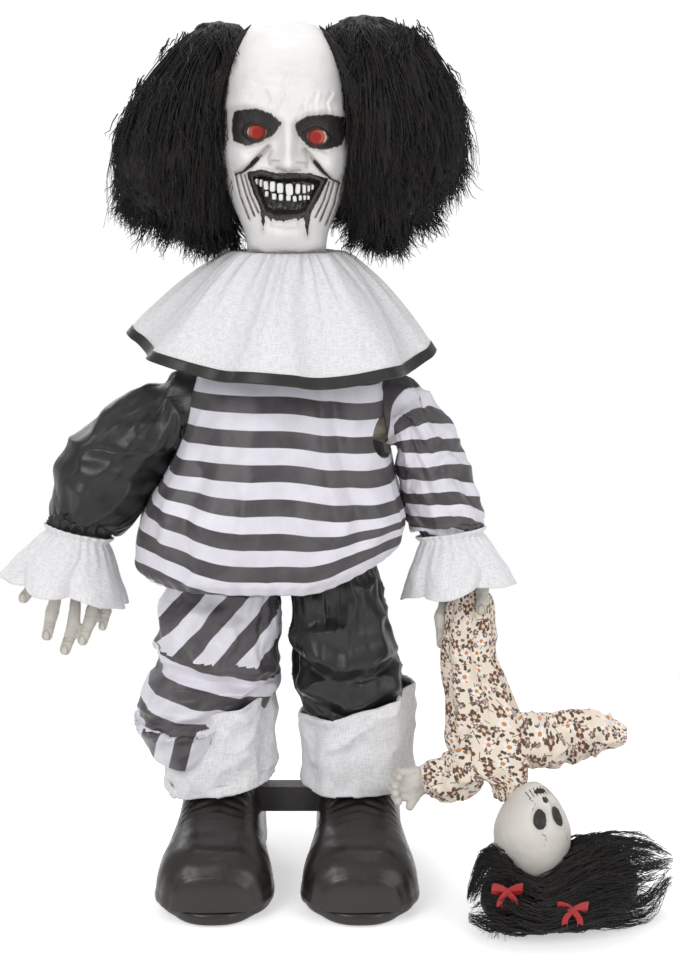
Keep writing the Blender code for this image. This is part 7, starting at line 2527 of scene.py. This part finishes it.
def build_garments(black: Finish) -> None:
    """Builds the collar, the shirt, the sleeves, the trousers and their cuffs.

    Args:
        black: The black satin.
    """
    Collar(Muslin("collar muslin", size=(0.95, 0.155)).make(), black).build()
    Shirt(Satin("striped satin", pitch=STRIPE_PITCH, offset=0.004, size=(0.78, 0.334)).make()).build()
    Sleeve(
        Side.RIGHT, black, "black_satin",
        path=(
            (-0.09, 0.0, 0.502), (-0.112, -0.001, 0.499), (-0.136, -0.003, 0.491), (-0.17, -0.008, 0.466),
            (-0.198, -0.013, 0.434), (-0.211, -0.019, 0.404), (-0.216, -0.024, 0.384),
            (-0.218, -0.027, 0.3725),
        ),
        radii=(0.04, 0.0405, 0.0415, 0.0455, 0.049, 0.0485, 0.043, 0.029),
        folds=Folds(4, 0.0022, 0.07, 0.0046, (1.0, 1.0, 0.75), 0.0002, 61),
        billow=Billow(growth=0.1, frames=16, cap=0.009),
    ).build()
    Sleeve(
        Side.LEFT,
        Satin("striped sleeve satin", pitch=STRIPE_PITCH, offset=0.01, turn=18.0, size=(0.24, 0.19)).make(),
        "striped_satin",
        path=(
            (0.1015, 0.0, 0.497), (0.114, -0.001, 0.4985), (0.13, -0.004, 0.488), (0.148, -0.01, 0.454),
            (0.16, -0.015, 0.423), (0.166, -0.02, 0.399), (0.169, -0.024, 0.384), (0.17, -0.026, 0.3715),
        ),
        radii=(0.0365, 0.0365, 0.0355, 0.0355, 0.036, 0.0385, 0.0385, 0.0285),
        folds=Folds(4, 0.002, 0.052, 0.0058, (1.0, 1.0, 0.8), 0.0003, 63),
        billow=Billow(growth=0.08, frames=16, cap=0.007),
    ).build()
    cuff = Muslin("cuff muslin", size=(0.38, 0.07)).make()
    SleeveCuff(Side.RIGHT, cuff, (-0.2182, -0.0272, 0.3702), (-0.232, -0.034, 0.316), 0.064).build()
    SleeveCuff(Side.LEFT, cuff, (0.1701, -0.0261, 0.3692), (0.1785, -0.034, 0.3165), 0.056).build()
    TrouserLeg(
        Side.RIGHT, Satin("striped trouser satin", pitch=0.0165, size=(0.4, 0.174)).make(),
        "striped_satin",
        rows=(
            (0.158, -0.0765, -0.006, 0.038, 0.04), (0.168, -0.0765, -0.006, 0.044, 0.045),
            (0.18, -0.078, -0.006, 0.049, 0.051), (0.196, -0.08, -0.006, 0.0575, 0.059),
            (0.212, -0.079, -0.006, 0.0655, 0.064),
            (0.235, -0.08, -0.006, 0.067, 0.065), (0.268, -0.077, -0.005, 0.069, 0.065),
            (0.3, -0.075, -0.005, 0.068, 0.064), (0.322, -0.07, -0.004, 0.06, 0.058),
            (0.34, -0.064, -0.004, 0.05, 0.05), (0.354, -0.06, -0.004, 0.04, 0.04),
        ),
        folds=Folds(3, 0.0018, 0.05, 0.0056, (1.6, 1.6, 0.8), 0.0003, 66),
        billow=Billow(growth=0.12, frames=18, cap=0.009), slanted=True, lobe=0.04, lobe_width=0.027,
        pleats=(
            (((-0.15, 0.261), (-0.085, 0.254), (-0.02, 0.243)), 0.0075, 0.0085),
            (((-0.15, 0.247), (-0.085, 0.239), (-0.02, 0.229)), -0.006, 0.006),
            (((-0.14, 0.21), (-0.09, 0.206), (-0.05, 0.22)), 0.005, 0.008),
            (((-0.135, 0.196), (-0.085, 0.19), (-0.045, 0.203)), -0.0045, 0.0055),
        ),
    ).build()
    TrouserLeg(
        Side.LEFT, black, "black_satin",
        rows=(
            (0.158, 0.0725, -0.006, 0.038, 0.04), (0.168, 0.0725, -0.006, 0.043, 0.045),
            (0.18, 0.0715, -0.006, 0.0475, 0.05), (0.196, 0.067, -0.006, 0.0555, 0.058),
            (0.216, 0.064, -0.006, 0.0605, 0.063),
            (0.24, 0.06, -0.006, 0.059, 0.064), (0.268, 0.057, -0.005, 0.056, 0.065),
            (0.3, 0.0545, -0.005, 0.053, 0.064), (0.322, 0.052, -0.004, 0.05, 0.058),
            (0.34, 0.048, -0.004, 0.042, 0.05), (0.354, 0.045, -0.004, 0.033, 0.04),
        ),
        folds=Folds(3, 0.0018, 0.052, 0.006, (1.2, 1.2, 1.0), 0.0003, 69),
        billow=Billow(growth=0.12, frames=18, cap=0.009),
        pleats=(
            (((0.01, 0.27), (0.05, 0.252), (0.105, 0.258)), 0.007, 0.009),
            (((0.01, 0.254), (0.05, 0.236), (0.105, 0.242)), -0.0055, 0.0065),
            (((0.015, 0.23), (0.06, 0.208), (0.11, 0.224)), 0.006, 0.0085),
            (((0.02, 0.214), (0.06, 0.193), (0.11, 0.208)), -0.005, 0.006),
        ),
    ).build()
    turn_up = Muslin("trouser cuff muslin", size=(0.38, 0.1)).make()
    AnkleCuff(Side.RIGHT, turn_up, (-0.0765, -0.005), (0.06, 0.06)).build()
    AnkleCuff(Side.LEFT, turn_up, (0.0725, -0.005), (0.058, 0.06), hem_share=0.1).build()


def build_hands(vinyl: Finish) -> None:
    """Builds the two gaunt hands.

    Args:
        vinyl: Their moulded vinyl.
    """
    Hand(
        Side.RIGHT, vinyl, (-0.22, -0.03, 0.35), (-0.213, -0.038, 0.329), (0.031, 0.0115, 0.024),
        (
            ((-0.237, -0.038, 0.336), (-0.26, -0.042, 0.326), (-0.273, -0.046, 0.31)),
            ((-0.237, -0.042, 0.321), (-0.2439, -0.047, 0.295), (-0.2495, -0.05, 0.271)),
            ((-0.2179, -0.043, 0.32), (-0.2224, -0.049, 0.279), (-0.231, -0.052, 0.256)),
            ((-0.2005, -0.042, 0.318), (-0.2035, -0.048, 0.289), (-0.2125, -0.051, 0.266)),
            ((-0.19, -0.04, 0.319), (-0.1885, -0.044, 0.295), (-0.192, -0.047, 0.2795)),
        ),
    ).build()
    Hand(
        Side.LEFT, vinyl, (0.173, -0.029, 0.35), (0.183, -0.022, 0.318), (0.023, 0.01, 0.025),
        (
            ((0.196, -0.028, 0.333), (0.201, -0.049, 0.323), (0.1985, -0.061, 0.302)),
            ((0.166, -0.026, 0.306), (0.159, -0.042, 0.288), (0.16, -0.048, 0.262)),
            ((0.176, -0.02, 0.298), (0.174, -0.022, 0.28), (0.174, -0.026, 0.266)),
            ((0.19, -0.02, 0.298), (0.192, -0.02, 0.28), (0.193, -0.022, 0.266)),
            ((0.201, -0.021, 0.304), (0.208, -0.021, 0.286), (0.21, -0.023, 0.272)),
        ),
    ).build()


def build_hair(fibre: Finish) -> None:
    """Builds the two side puffs, the left one a little bigger and higher.

    Args:
        fibre: The hair's finish.
    """
    HairPuff(Side.RIGHT, fibre, rows=(
        (0.664, 0.058, 0.094, 0.022), (0.688, 0.05, 0.158, 0.06),
        (0.71, 0.046, 0.169, 0.075), (0.733, 0.046, 0.173, 0.084),
        (0.767, 0.046, 0.17, 0.087), (0.81, 0.046, 0.152, 0.079),
        (0.83, 0.046, 0.138, 0.073), (0.855, 0.044, 0.117, 0.063),
        (0.875, 0.04, 0.094, 0.048), (0.89, 0.052, 0.08, 0.022),
    )).build()
    HairPuff(Side.LEFT, fibre, rows=(
        (0.664, 0.074, 0.114, 0.022), (0.688, 0.056, 0.144, 0.056),
        (0.71, 0.048, 0.164, 0.074), (0.733, 0.046, 0.174, 0.084),
        (0.767, 0.046, 0.18, 0.088), (0.81, 0.046, 0.171, 0.084),
        (0.83, 0.046, 0.164, 0.078), (0.855, 0.044, 0.149, 0.068),
        (0.875, 0.038, 0.129, 0.052), (0.896, 0.064, 0.09, 0.022),
    )).build()


def main() -> None:
    """Builds the figure's looks round the frame."""
    logging.basicConfig(level=logging.INFO, format="%(name)s: %(message)s")
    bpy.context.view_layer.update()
    boot = Moulding(
        "boot plastic", (0.017, 0.0125, 0.0108), (0.04, 0.031, 0.027), 0.33, 0.001, 0.00018, 0.1
    ).make()
    steel = Moulding(
        "steel", (0.46, 0.46, 0.47), (0.3, 0.29, 0.28), 0.32, 0.0006, 0.00008, metal=1.0
    ).make()
    fibre = Fibre("black hair").make()
    black = Satin(
        "black satin", dark=(0.0115, 0.0105, 0.01), bloom=(0.055, 0.05, 0.047),
        roughness=0.36, sheen=0.05, crinkle=0.12,
    ).make()
    face = PaintedVinyl("painted face vinyl").make()
    tooth = Moulding("tooth plastic", (0.83, 0.82, 0.78), (0.7, 0.68, 0.6), 0.25).make()
    hand_vinyl = PaintedVinyl(
        "hand vinyl", skin=(0.6, 0.575, 0.52), shade=(0.28, 0.25, 0.21), roughness=0.52
    ).make()
    doll_vinyl = PaintedVinyl(
        "doll face vinyl", skin=(0.7, 0.67, 0.62), shade=(0.4, 0.37, 0.34), glossy_paint=0.4
    ).make()
    red = Satin(
        "red ribbon", dark=(0.4, 0.01, 0.012), bloom=(0.5, 0.03, 0.03),
        roughness=0.35, sheen=0.0, size=(0.01, 0.03),
    ).make()
    Stage().build()
    Mechanism(steel, boot).build()
    Head(face, tooth).build()
    build_hair(fibre)
    for side in Side:
        Boot(side, boot).build()
    build_garments(black)
    build_hands(hand_vinyl)
    Doll(
        cotton=lambda name, size: DitsyPrint(name, size=size).make(),
        vinyl=doll_vinyl, hand_vinyl=hand_vinyl, fibre=fibre, ribbon=red,
    ).build()


if __name__ == "__main__":
    main()
